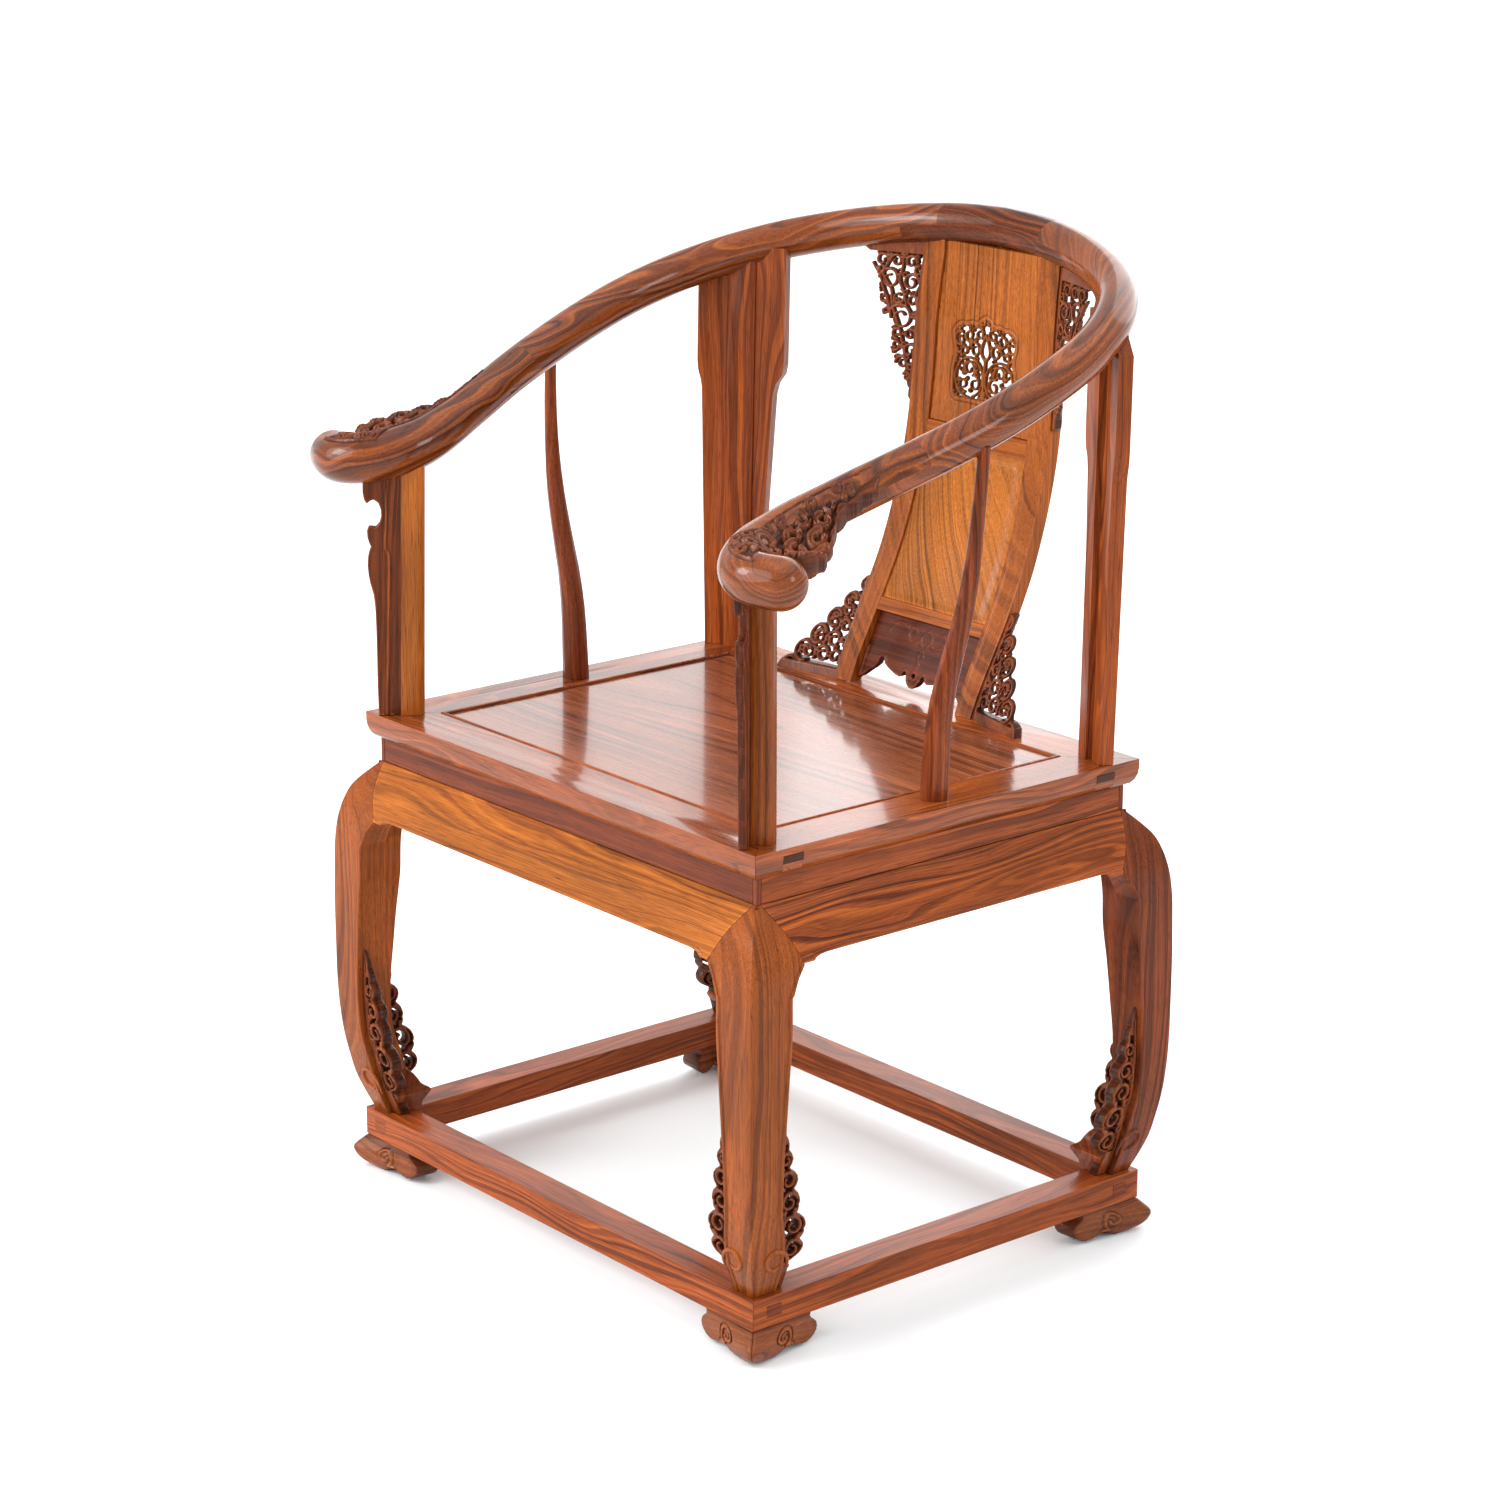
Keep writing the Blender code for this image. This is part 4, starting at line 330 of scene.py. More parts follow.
def apron(side, wood, offset):
    """A bulging board: its face follows the leg's curve in height, its ends the sloping mitre."""
    crosswise = side in ("front", "back")
    half = SEAT_HALF_WIDTH if crosswise else SEAT_HALF_DEPTH
    tall = LEG_HEAD - LEG_SHOULDER
    rest = BEAD_STEPS[-1] + (tall - BEAD_STEPS[-1]) * np.linspace(0, 1, 15)[1:]
    up = np.concatenate([BEAD_STEPS, rest])[:, None]
    s = np.concatenate([np.linspace(-1, -0.8, 26)[:-1], np.linspace(-0.8, 0.8, 22), np.linspace(0.8, 1, 26)[1:]])
    span = half + bulge_at(LEG_SHOULDER) - SHOULDER_WIDTH
    reach = span - APRON_DROP_LENGTH
    turn = np.clip((np.abs(s) * span - (reach - APRON_CORNER)) / APRON_CORNER, 0, 1)
    arch = APRON_RISE * np.sqrt(1 - turn ** 2) * (np.abs(s) * span < reach)
    height = LEG_SHOULDER + arch + up * (tall - arch) / tall
    face, bend, inner = mitre_plan(height, JOINT_GAP)
    swell = bulge_at(height)
    proud = bead(up * np.ones_like(height))
    front = placed(side, s * (half + swell - face[0]), -swell - proud, height)
    back = placed(side, s * (half + swell - inner[0]), inner[1] - swell, height)
    mesh = slab("look_apron_" + side, front, back, ALONG_X if crosswise else ALONG_Y, offset)
    finish_piece(mesh, wood, ["apron_" + side])


tawny = rosewood("wood_tawny", (0.42, 0.125, 0.016), (0.31, 0.080, 0.011), (0.12, 0.028, 0.005),
                 ring=150.0, contrast=0.75, figure=1.5)
flame = rosewood("wood_flame", (0.42, 0.100, 0.017), (0.22, 0.044, 0.010), (0.055, 0.012, 0.005),
                 ring=150.0, contrast=1.0, figure=2.4)
for side, wood, offset in (("front", tawny, (0.05, 0.10, 0.4)), ("back", russet, (0.03, 0.06, 2.2)),
                           ("right", flame, (0.045, 0.03, 3.3)), ("left", tawny, (0.02, 0.08, 4.9))):
    apron(side, wood, offset)

# Legs
# Bulging legs of square section drawn in to the foot, their two outer faces edged with the same bead,
# each mitred into two aprons at the shoulder and tenoned into the seat frame and the base frame.
STUB_WIDTH, WAIST_THICKNESS, WAIST_INSET, SEAT_UNDER = 0.032, 0.014, 0.011, 0.4766
LEG_ARRIS, FADE_LEVELS, FADE_SHARES = 0.0022, (0.789, 0.830, 0.861), (0.80, 0.884, 1.0)
CORNERS = (("front_left", -1, -1), ("front_right", 1, -1), ("back_right", 1, 1), ("back_left", -1, 1))


def leg_width_at(height):
    """Width of a leg's faces at a height: its greatest width by an eased curve of shares."""
    return LEG_WIDTH * eased((height - LEG_FOOT) / (LEG_HEAD - LEG_FOOT), LEVEL_SHARES, WIDTH_SHARES)


def corner_place(sx, sy, swell, aside, deep, height):
    """Points near a corner, from their distances to the side face and to the front or back face."""
    swell, aside, deep, height = np.broadcast_arrays(swell, aside, deep, height)
    x = sx * (SEAT_HALF_WIDTH + swell - aside)
    y = sy * (SEAT_HALF_DEPTH + swell - deep) + SEAT_MIDDLE
    return np.stack([x, y, height], axis=-1)


def leg_half_section(height):
    """Half the plan of a leg at each height, from the outer corner round one face to the inner corner."""
    share = (height - LEG_FOOT) / (LEG_HEAD - LEG_FOOT)
    shoulder = share >= SHOULDER_SHARE
    width = leg_width_at(height)
    wide = np.maximum(width, SHOULDER_WIDTH * np.interp(share, FADE_LEVELS, FADE_SHARES, left=0.0))
    shallow = np.minimum(APRON_FOOT_THICKNESS, width * 0.6)
    face, bend, inner = mitre_plan(np.maximum(height, LEG_SHOULDER), -JOINT_GAP)
    wide = np.where(shoulder, face[0], wide)
    deep = np.where(shoulder, inner[1], shallow)
    corner_x = np.where(shoulder, bend[0], wide)
    corner_y = np.where(shoulder, bend[1], shallow)
    inner_x = np.where(shoulder, inner[0], wide)
    from_edge = BEAD_STEPS[::-1]
    start = np.linspace(0.0, 1.0, 9)[1:-1]
    arc = np.radians((45, 60, 75, 90))
    lead, drop = LEG_ARRIS * (1 - np.cos(arc)), LEG_ARRIS * (1 - np.sin(arc))
    flat_x = np.concatenate([np.broadcast_to(lead, height.shape + (4,)),
                             lead[-1] + start * (wide[:, None] - from_edge[0] - lead[-1]),
                             wide[:, None] - from_edge], axis=1)
    proud = bead(from_edge) * np.where(shoulder, 0.0, 1.0)[:, None]
    flat_y = np.concatenate([np.broadcast_to(drop, height.shape + (4,)),
                             np.zeros((len(height), len(start))), -proud], axis=1)
    t = np.linspace(0, 1, 4)[1:]
    side_x = np.concatenate([wide[:, None] + (corner_x - wide)[:, None] * t,
                             corner_x[:, None] + (inner_x - corner_x)[:, None] * t,
                             inner_x[:, None] + (width - inner_x)[:, None] * t], axis=1)
    side_y = np.concatenate([corner_y[:, None] * t, corner_y[:, None] + (deep - corner_y)[:, None] * t,
                             np.repeat(deep[:, None], 3, axis=1)], axis=1)
    end = width[:, None]
    return np.concatenate([flat_x, side_x, end], axis=1), np.concatenate([flat_y, side_y, end], axis=1)


def leg(name, sx, sy, wood, offset):
    """A leg swept up its curve, then a stub of plain section that rises through the waist."""
    share = np.concatenate([np.linspace(0.0, 0.78, 70), np.linspace(0.785, 1.0, 34)])
    height = LEG_FOOT + JOINT_GAP + share * (LEG_HEAD - LEG_FOOT - JOINT_GAP)
    x, y = leg_half_section(height)
    ring_x = np.concatenate([x, y[:, -2:0:-1]], axis=1)
    ring_y = np.concatenate([y, x[:, -2:0:-1]], axis=1)
    rings = corner_place(sx, sy, bulge_at(height)[:, None], ring_x, ring_y, height[:, None])
    strip = CORNER_STRIP - JOINT_GAP * math.sqrt(2)
    t, turns = np.linspace(0, 1, ring_x.shape[1] // 2 + 1), (0, 0.3, 0.5, 0.8, 1.0)
    plan_x = np.interp(t, turns, (0, strip, strip + WAIST_THICKNESS, STUB_WIDTH, STUB_WIDTH))
    plan_y = np.interp(t, turns, (0, 0, WAIST_THICKNESS, WAIST_THICKNESS, STUB_WIDTH))
    stub_x = np.concatenate([plan_x, plan_y[-2:0:-1]])
    stub_y = np.concatenate([plan_y, plan_x[-2:0:-1]])
    stub = [corner_place(sx, sy, -WAIST_INSET, stub_x, stub_y, z)
            for z in (LEG_HEAD + JOINT_GAP, SEAT_UNDER - JOINT_GAP)]
    mesh = skin("look_leg_" + name, np.concatenate([rings, np.array(stub)]), UPRIGHT, offset)
    finish_piece(mesh, wood, ["leg_" + name])


dusky = rosewood("wood_dusky", (0.26, 0.055, 0.012), (0.15, 0.029, 0.008), (0.045, 0.009, 0.004),
                 ring=220.0, contrast=0.8, figure=1.1)
amber = rosewood("wood_amber", (0.32, 0.080, 0.012), (0.22, 0.048, 0.008), (0.080, 0.017, 0.004),
                 ring=210.0, contrast=0.7, figure=1.0)
for count, (name, sx, sy) in enumerate(CORNERS):
    leg(name, sx, sy, dusky if name == "back_right" else amber, (0.04 + 0.013 * count, 0.07, 0.6 + 1.3 * count))

# Base frame
# Four square rails mitred under the legs; the tenons of two of them run through and show their ends.
BASE_ARRIS = 0.0024
for count, side in enumerate(("front", "back", "left", "right")):
    dress("base_rail_" + side, russet, ALONG_X if count < 2 else ALONG_Y,
          (0.03 + 0.017 * count, 0.06, 1.0 + 1.7 * count), BASE_ARRIS)


# Horseshoe rail
# One round bar that runs from hook to hook, made of five sawn pieces joined by stepped scarfs. Each
# piece is cut from a straight plank, so its grain runs straight on while the bar bends away from it.
RAIL_HALF_WIDTH, RAIL_BACK, RAIL_RUN, RAIL_LOW, RAIL_RISE = 0.3241, 0.3495, 0.6115, 0.768, 0.2164
RAIL_RADIUS, HOOK_RADIUS, HOOK_START_SHARE, HOOK_FULL_SHARE, HOOK_TIP = 0.021, 0.025, 0.80, 0.92, 0.9998
SCARF_LENGTH, SCARF_BACK_X, SCARF_ARM_Y, SCARF_LINE = 0.050, 0.104, -0.069, 0.00035
RAIL_STEP, RAIL_SPOKES = 0.0035, 57
RAIL_PATH_SHARES = (
    (0.0, 0.0, 1.0), (0.170, 0.0055, 0.993), (0.340, 0.0234, 0.971), (0.4585, 0.0432, 0.947),
    (0.575, 0.0690, 0.917), (0.678, 0.1004, 0.882), (0.786, 0.1480, 0.838), (0.893, 0.2240, 0.767),
    (0.956, 0.2980, 0.698), (0.988, 0.3753, 0.627), (1.0, 0.4478, 0.554), (0.990, 0.5493, 0.447),
    (0.947, 0.6618, 0.333), (0.913, 0.7255, 0.266), (0.879, 0.7880, 0.197), (0.8565, 0.8448, 0.135),
    (0.853, 0.8958, 0.079), (0.876, 0.9440, 0.042), (0.932, 0.9820, 0.016), (1.012, 0.9985, 0.004),
    (1.092, 0.9830, 0.0))


def through_points(points, steps):
    """Points of the smooth curve through the given ones, a cubic between each two."""
    points = np.array(points, float)
    padded = np.vstack([2 * points[0] - points[1], points, 2 * points[-1] - points[-2]])
    a, b, c, d = (padded[k:len(padded) - 3 + k][:, None, :] for k in range(4))
    t = (np.arange(steps) / steps)[None, :, None]
    found = (2 * b + (c - a) * t + (2 * a - 5 * b + 4 * c - d) * t ** 2 + (3 * b - a - 3 * c + d) * t ** 3) / 2
    return np.vstack([found.reshape(-1, points.shape[1]), points[-1:]])


def rail_half():
    """Centreline and radii of the right half, from the middle of the back to the end of the hook."""
    shares = np.array(RAIL_PATH_SHARES) * (RAIL_HALF_WIDTH, -RAIL_RUN, RAIL_RISE)
    path = through_points(shares + (0.0, RAIL_BACK, RAIL_LOW), 3)
    path[0, 0] = 0.0
    for _ in range(2):
        path[1:-1] = path[1:-1] * 0.5 + (path[:-2] + path[2:]) * 0.25
    run = (RAIL_BACK - path[:, 1]) / RAIL_RUN
    blend = np.clip((run - HOOK_START_SHARE) / (HOOK_FULL_SHARE - HOOK_START_SHARE), 0, 1)
    return path, RAIL_RADIUS + (HOOK_RADIUS - RAIL_RADIUS) * blend


def finer(path):
    """A path in finer steps, with the distance gone along it at each point."""
    fine = through_points(path, 6)
    steps = np.linalg.norm(np.diff(fine[:, :3], axis=0), axis=1)
    return fine, np.concatenate([[0], np.cumsum(steps)])


rail_path, rail_radii = rail_half()


def rail_surface(lengths):
    """Grid of points and upward directions of the right half at distances along its centreline."""
    fine, gone = finer(np.column_stack([rail_path, rail_radii]))
    beyond = np.clip(lengths - gone[-1], 0, None)
    centre = np.stack([np.interp(lengths, gone, fine[:, k]) for k in range(3)], axis=1)
    radius = np.interp(lengths, gone, fine[:, 3])
    heading = np.gradient(fine[:, :3], gone, axis=0)
    heading = np.stack([np.interp(lengths, gone, heading[:, k]) for k in range(3)], axis=1)
    heading /= np.linalg.norm(heading, axis=1)[:, None]
    heading[lengths < RAIL_STEP] = ALONG_X
    centre = centre + heading * beyond[:, None]
    radius = radius * np.sqrt(np.clip(1 - (beyond / radius) ** 2, 0.0004, 1))
    side = np.cross(heading, UPRIGHT)
    side /= np.linalg.norm(side, axis=1)[:, None]
    up = np.cross(side, heading)
    turns = np.linspace(0, 2 * math.pi, RAIL_SPOKES)[None, :, None]
    spokes = side[:, None, :] * np.cos(turns) + up[:, None, :] * np.sin(turns)
    return centre[:, None, :] + radius[:, None, None] * spokes, up


def length_at(axis, value, longest):
    """Distance along the centreline where it first passes a value of x or y."""
    fine, gone = finer(rail_path)
    return gone[(np.abs(fine[:, axis] - value) + (gone > longest)).argmin()]


def half_bar(start, end, first, last, upper):
    """The upper or lower half of a piece: distances, points and upward directions along it.

    First is -1 where the scarf at its start is a mirror image, and last is 0 at the rounded hook.
    """
    lap = -SCARF_LENGTH / 2 if upper else SCARF_LENGTH / 2
    low = start + lap * first + SCARF_LINE / 2
    high = end + lap * last - SCARF_LINE / 2 * last
    steps = np.linspace(low, high, max(int((high - low) / RAIL_STEP), 4))
    marks = [mark + SCARF_LENGTH / 2 * k for mark in (start, end)[:1 + last] for k in (-1, 1)]
    near = [m + k for m in marks for k in (-0.0001, 0.0001) if low < m + k < high]
    if not last:
        near += list(high - HOOK_RADIUS * (1 - np.sin(np.linspace(0.2, math.pi / 2, 22)[:-1])))
    lengths = np.unique(np.concatenate([steps, near]))
    points, up = rail_surface(np.abs(lengths))
    flip = np.where(lengths < 0, -1.0, 1.0)[:, None] * np.array((1, 0, 0)) + np.array((0, 1, 1))
    return lengths, points * flip[:, None, :], up * flip


def rail_piece(node, start, end, first, last, sign, wood, offset):
    """A piece of the rail between two scarfs, as an upper and a lower half bar."""
    all_points, all_quads, caps, normals, base = [], [], [], [], 0
    for upper in (True, False):
        lengths, points, up = half_bar(start, end, first, last, upper)
        half = points.shape[1] // 2
        middle = (points[:, :1] + points[:, half:half + 1]) / 2
        arc = (points[:, :half + 1] if upper else points[:, half:]).copy()
        in_lap = np.zeros(len(lengths), bool)
        for mark in (start, end)[:1 + last]:
            in_lap |= np.abs(lengths - mark) <= SCARF_LENGTH / 2
        lift = np.where(in_lap, SCARF_LINE / 2, 0.0) * (1 if upper else -1)
        arc[:, [0, -1]] += (up * lift[:, None])[:, None, :]
        index = np.arange(arc.shape[0] * arc.shape[1]).reshape(arc.shape[:2]) + base
        base += index.size
        after = np.roll(index, -1, axis=1)
        all_quads.append(np.stack([index[:-1], after[:-1], after[1:], index[1:]], axis=-1).reshape(-1, 4))
        caps += [index[0][::-1], index[-1]]
        all_points.append(arc.reshape(-1, 3))
        normal = np.cross(np.gradient(arc, axis=0), np.gradient(arc, axis=1))
        normal *= np.sign(np.einsum("ijk,ijk->ij", normal, arc - middle))[..., None]
        normals.append(normal.reshape(-1, 3))
    mirror = np.array((sign, 1, 1))
    points = np.concatenate(all_points) * mirror + np.array((0, SEAT_MIDDLE, 0))
    chord = points[caps[1][0]] - points[caps[0][0]]
    grain = board_grain(points, chord, offset)
    mesh = build_mesh("look_" + node, points, np.concatenate(all_quads), caps, grain, sharp=180)
    normal = np.concatenate(normals) * mirror
    normal /= np.maximum(np.linalg.norm(normal, axis=1), 1e-9)[:, None]
    mesh.normals_split_custom_set_from_vertices(normal)
    finish_piece(mesh, wood, [node])


rail_wood = rosewood("wood_rail", (0.31, 0.076, 0.012), (0.145, 0.031, 0.008), (0.034, 0.009, 0.005),
                     ring=210.0, contrast=0.85, roughness=0.20, coat=0.42, figure=1.3)
# A darker copy of the bar's wood for the middle piece: partly a darker piece of wood, partly painted shade on the
# top of the bar at the back, which mirrors less light.
rail_back_dark_and_shaded_wood = rosewood("wood_rail_back_dark_and_shaded", (0.20, 0.044, 0.009), (0.080, 0.017, 0.006), (0.016, 0.005, 0.003),
                          ring=190.0, contrast=0.8, roughness=0.20, coat=0.17, figure=1.3)
back_cut, arm_cut = length_at(0, SCARF_BACK_X, 0.3), length_at(1, SCARF_ARM_Y, 0.9)
rail_end = finer(np.column_stack([rail_path, rail_radii]))[1][-1] + HOOK_TIP * HOOK_RADIUS
rail_piece("rail_center", -back_cut, back_cut, -1, 1, 1, rail_back_dark_and_shaded_wood, (0.06, 0.05, 0.8))
for sign, side in ((1, "right"), (-1, "left")):
    rail_piece("rail_side_" + side, back_cut, arm_cut, 1, 1, sign, rail_wood, (0.04, 0.07, 2.0 - sign))
    rail_piece("rail_arm_end_" + side, arm_cut, rail_end, 1, 0, sign, rail_wood, (0.03, 0.04, 5.0 - sign))

# Wings of the splat
# Thin boards of pierced scrollwork tenoned beside the splat: the upper pair hangs from the rail under
# a moulded bar, the lower pair stands on the seat. Undercut scrolls, with painted shade in their ground.
SEAT_HEIGHT, SPLAT_RISE, SPLAT_FRONT, SPLAT_LEAN = 0.5034, 0.4516, 0.2125, 0.1175
STILE_OUTER, WING_SETBACK, WING_THICKNESS, WING_RELIEF = 0.108, 0.002, 0.012, 0.0026
FINE_STEP, COARSE_STEP, EDGE_ROUNDING = 0.0007, 0.0008, 0.0015
SCROLL_OPENING, OVERLAY_CUT, OPENWORK_THINNING, WING_RIM = 0.82, 0.0013, 0.48, 0.0045
WING_SCROLL_HALF, WING_STEM_HALF, UPPER_WING_BAR, UPPER_WING_EDGE = 0.0020, 0.0016, 0.0105, 0.0050
LOWER_WING_BASE, LOWER_WING_EDGE, LOWER_WING_LOBES, LOBE_RADIUS, LOBE_SHRINK = 0.0085, 0.0045, 6, 0.0135, 0.40
BASE_BAR_TOP, LOBE_LINE_IN, LOBE_LINE_HALF, LOBE_CURL_HALF = 0.0095, 0.0018, 0.0019, 0.0015
UPPER_WING_WIDTH, UPPER_WING_HEIGHT, UPPER_WING_TURN, UPPER_WING_TONGUE = 0.076, 0.164, math.radians(19), 0.006
LOWER_WING_WIDTH, LOWER_WING_HEIGHT, LOWER_WING_TURN = 0.083, 0.1096, math.radians(12)
SPLAT_CURVE_SHARES = (
    (0.0, 0.0), (0.057, 0.089), (0.124, 0.218), (0.214, 0.390), (0.303, 0.549), (0.390, 0.668),
    (0.480, 0.765), (0.568, 0.835), (0.657, 0.880), (0.745, 0.905), (0.834, 0.922), (0.923, 0.960), (1.0, 1.0))
STILE_OUTER_SHARES = ((0.0, 0.972), (0.22, 1.0), (0.66, 0.99), (0.80, 0.958), (1.0, 0.926))
UPPER_WING_SHARES = (
    (1.0, 1.0), (0.957, 0.985), (0.940, 0.93), (0.845, 0.84), (0.790, 0.74), (0.725, 0.70),
    (0.640, 0.66), (0.575, 0.62), (0.490, 0.55), (0.405, 0.45), (0.350, 0.475), (0.310, 0.40),
    (0.200, 0.37), (0.140, 0.28), (0.090, 0.19), (0.0, 0.03))
UPPER_SCROLL_SHARES = (
    (0.70, 0.885, 0.105, 0.55, -1.35), (0.47, 0.885, 0.10, 0.0, 1.35), (0.24, 0.885, 0.10, 0.5, -1.35),
    (0.79, 0.80, 0.07, 0.25, 1.2), (0.10, 0.83, 0.07, 0.25, -1.2), (0.545, 0.765, 0.17, 0.02, 1.5),
    (0.20, 0.755, 0.135, 0.5, -1.5), (0.73, 0.70, 0.055, 0.2, 1.1), (0.37, 0.655, 0.115, 0.3, 1.3),
    (0.14, 0.635, 0.10, 0.6, -1.3), (0.59, 0.645, 0.075, 0.05, -1.2), (0.30, 0.525, 0.20, 0.08, 1.6),
    (0.06, 0.535, 0.06, 0.5, -1.1), (0.53, 0.56, 0.055, 0.9, 1.1), (0.13, 0.42, 0.085, 0.4, -1.3),
    (0.33, 0.425, 0.09, 0.75, 1.3), (0.345, 0.345, 0.085, 0.9, -1.4), (0.12, 0.315, 0.11, 0.5, -1.3),
    (0.22, 0.235, 0.105, 0.0, 1.4), (0.07, 0.205, 0.06, 0.5, -1.2), (0.12, 0.145, 0.07, 0.1, 1.3),
    (0.05, 0.09, 0.04, 0.5, -1.0))
UPPER_STEM_SHARES = (
    ((0.62, 0.95), (0.60, 0.87), (0.66, 0.80), (0.50, 0.70), (0.45, 0.60), (0.30, 0.45), (0.20, 0.30),
     (0.08, 0.10)),
    ((0.36, 0.95), (0.36, 0.85), (0.38, 0.76), (0.28, 0.68), (0.22, 0.60)),
    ((0.03, 0.76), (0.10, 0.68), (0.05, 0.60)),
    ((0.46, 0.52), (0.50, 0.60), (0.62, 0.70), (0.70, 0.78), (0.84, 0.86)))
LOWER_SCROLL_SHARES = (
    (0.78, 0.185, 0.11, 0.1, 1.4), (0.56, 0.18, 0.115, 0.6, -1.5), (0.345, 0.175, 0.11, 0.1, 1.5),
    (0.145, 0.17, 0.10, 0.6, -1.4), (0.665, 0.325, 0.105, 0.1, 1.4), (0.455, 0.325, 0.11, 0.6, -1.5),
    (0.24, 0.32, 0.11, 0.1, 1.5), (0.085, 0.33, 0.06, 0.7, -1.3), (0.515, 0.475, 0.105, 0.1, 1.4),
    (0.31, 0.47, 0.105, 0.6, -1.5), (0.135, 0.46, 0.085, 0.1, 1.4), (0.355, 0.61, 0.095, 0.1, 1.4),
    (0.165, 0.60, 0.095, 0.6, -1.4), (0.215, 0.735, 0.085, 0.1, 1.4), (0.085, 0.72, 0.06, 0.6, -1.2),
    (0.11, 0.855, 0.065, 0.0, 1.3), (0.05, 0.93, 0.035, 0.0, 1.0))


def scroll(x, y, radius, start, turns, shrink=0.74, steps=26):
    """A spiral wound inwards: angle from start through a number of turns, radius falling by the shrink share."""
    t = np.linspace(0.0, 1.0, steps)
    angle = 2 * math.pi * (start + turns * t)
    reach = radius * (1.0 - shrink * t ** 0.85)
    return np.stack([x + reach * np.cos(angle), y + reach * np.sin(angle)], axis=1)


def carve_stroke(board, points, half, taper=0.6, knob=1.25, crown=1.0, gouge=0.0, over=False):
    """Adds a tapering rounded bar along a line: wood within its half width, highest over the line.

    A gouge hollows the middle of the bar, as in a leaf; one laid over others is cut clear of them.
    """
    across, height, wood, dome = board
    low, high = points.min(axis=0) - 2 * half, points.max(axis=0) + 2 * half
    near = (across >= low[0]) & (across <= high[0]) & (height >= low[1]) & (height <= high[1])
    if not near.any():
        return
    p = np.stack([across[near], height[near]], axis=1)
    a, span = points[:-1], np.diff(points, axis=0)
    long = np.maximum((span ** 2).sum(axis=1), 1e-12)
    s = np.clip(((p[:, None] - a) * span).sum(axis=2) / long, 0, 1)
    away = np.linalg.norm(p[:, None] - (a + s[..., None] * span), axis=2)
    t = (np.arange(len(a)) + s) / len(a)
    width = np.where(t > 0.97, half * taper * knob, half * (1 - (1 - taper) * t))
    inside = width - away
    best = inside.argmax(axis=1)
    row = np.arange(len(best))
    rise = np.clip(inside[row, best] / width[row, best], 0, 1)
    wood[near] = np.maximum(wood[near], inside[row, best])
    rounded = np.sqrt(1 - (1 - np.clip(rise * (1 + gouge), 0, 1)) ** 2)
    profile = crown * (rounded - gouge * np.clip((rise - 0.3) / 0.7, 0, 1) ** 1.2)
    # A stroke laid over others cuts the relief low beside it, which also paints a dark outline of shade round it.
    if over:
        beside = np.where(inside[row, best] > 0, profile, np.minimum(dome[near], 0.25 * crown))
        dome[near] = np.where(inside[row, best] > -OVERLAY_CUT, beside, dome[near])
    else:
        dome[near] = np.maximum(dome[near], profile)


def carve_scrolls(board, rows, wide, tall, half, buds=3):
    """Scrolls from rows of shares (place, height, radius, start, turns), each with small curls off its back."""
    for x, h, r, start, turns in rows:
        carve_stroke(board, scroll(x * wide, h * tall, r * wide, start, SCROLL_OPENING * turns, 0.66), half)
        way = math.copysign(1, turns)
        for k in range(buds):
            angle = start + way * (0.10 + 0.27 * k)
            reach = r * wide * (1 - 0.05 * (k + 1))
            x0 = x * wide + reach * 1.22 * math.cos(2 * math.pi * angle)
            y0 = h * tall + reach * 1.22 * math.sin(2 * math.pi * angle)
            carve_stroke(board, scroll(x0, y0, reach * 0.36, angle + 0.5, -way * 0.85, 0.5, 12), half * 0.75)


def inside_outline(places, outline):
    """Distance from places across and up a board to an outline, positive inside it and negative outside."""
    across, height = places[:2]
    p = np.stack([across.ravel(), height.ravel()], axis=1)
    best, odd = np.full(len(p), 1e9), np.zeros(len(p), bool)
    for a, b in zip(outline, np.roll(outline, -1, axis=0)):
        span = b - a
        s = np.clip(((p - a) @ span) / max(span @ span, 1e-12), 0, 1)
        best = np.minimum(best, np.linalg.norm(p - (a + s[:, None] * span), axis=1))
        if a[1] != b[1]:
            odd ^= ((a[1] > p[:, 1]) != (b[1] > p[:, 1])) & (p[:, 0] < span[0] * (p[:, 1] - a[1]) / span[1] + a[0])
    return np.where(odd, best, -best).reshape(across.shape)


def carve_flat(board, where, round_over=EDGE_ROUNDING):
    """Adds plain wood where a distance is positive, with its edges rounded over."""
    board[2][:] = np.maximum(board[2], where)
    board[3][:] = np.maximum(board[3], np.sqrt(1 - (1 - np.clip(where / round_over, 0, 1)) ** 2) * (where > 0))


def new_board(low, high, step=FINE_STEP):
    """An empty board: grids of place and height, no wood yet, and no relief."""
    across, height = np.meshgrid(np.arange(low[0] - 2 * step, high[0] + 3 * step, step),
                                 np.arange(low[1] - 2 * step, high[1] + 3 * step, step))
    return [across, height, np.full(across.shape, -1.0), np.zeros(across.shape)]


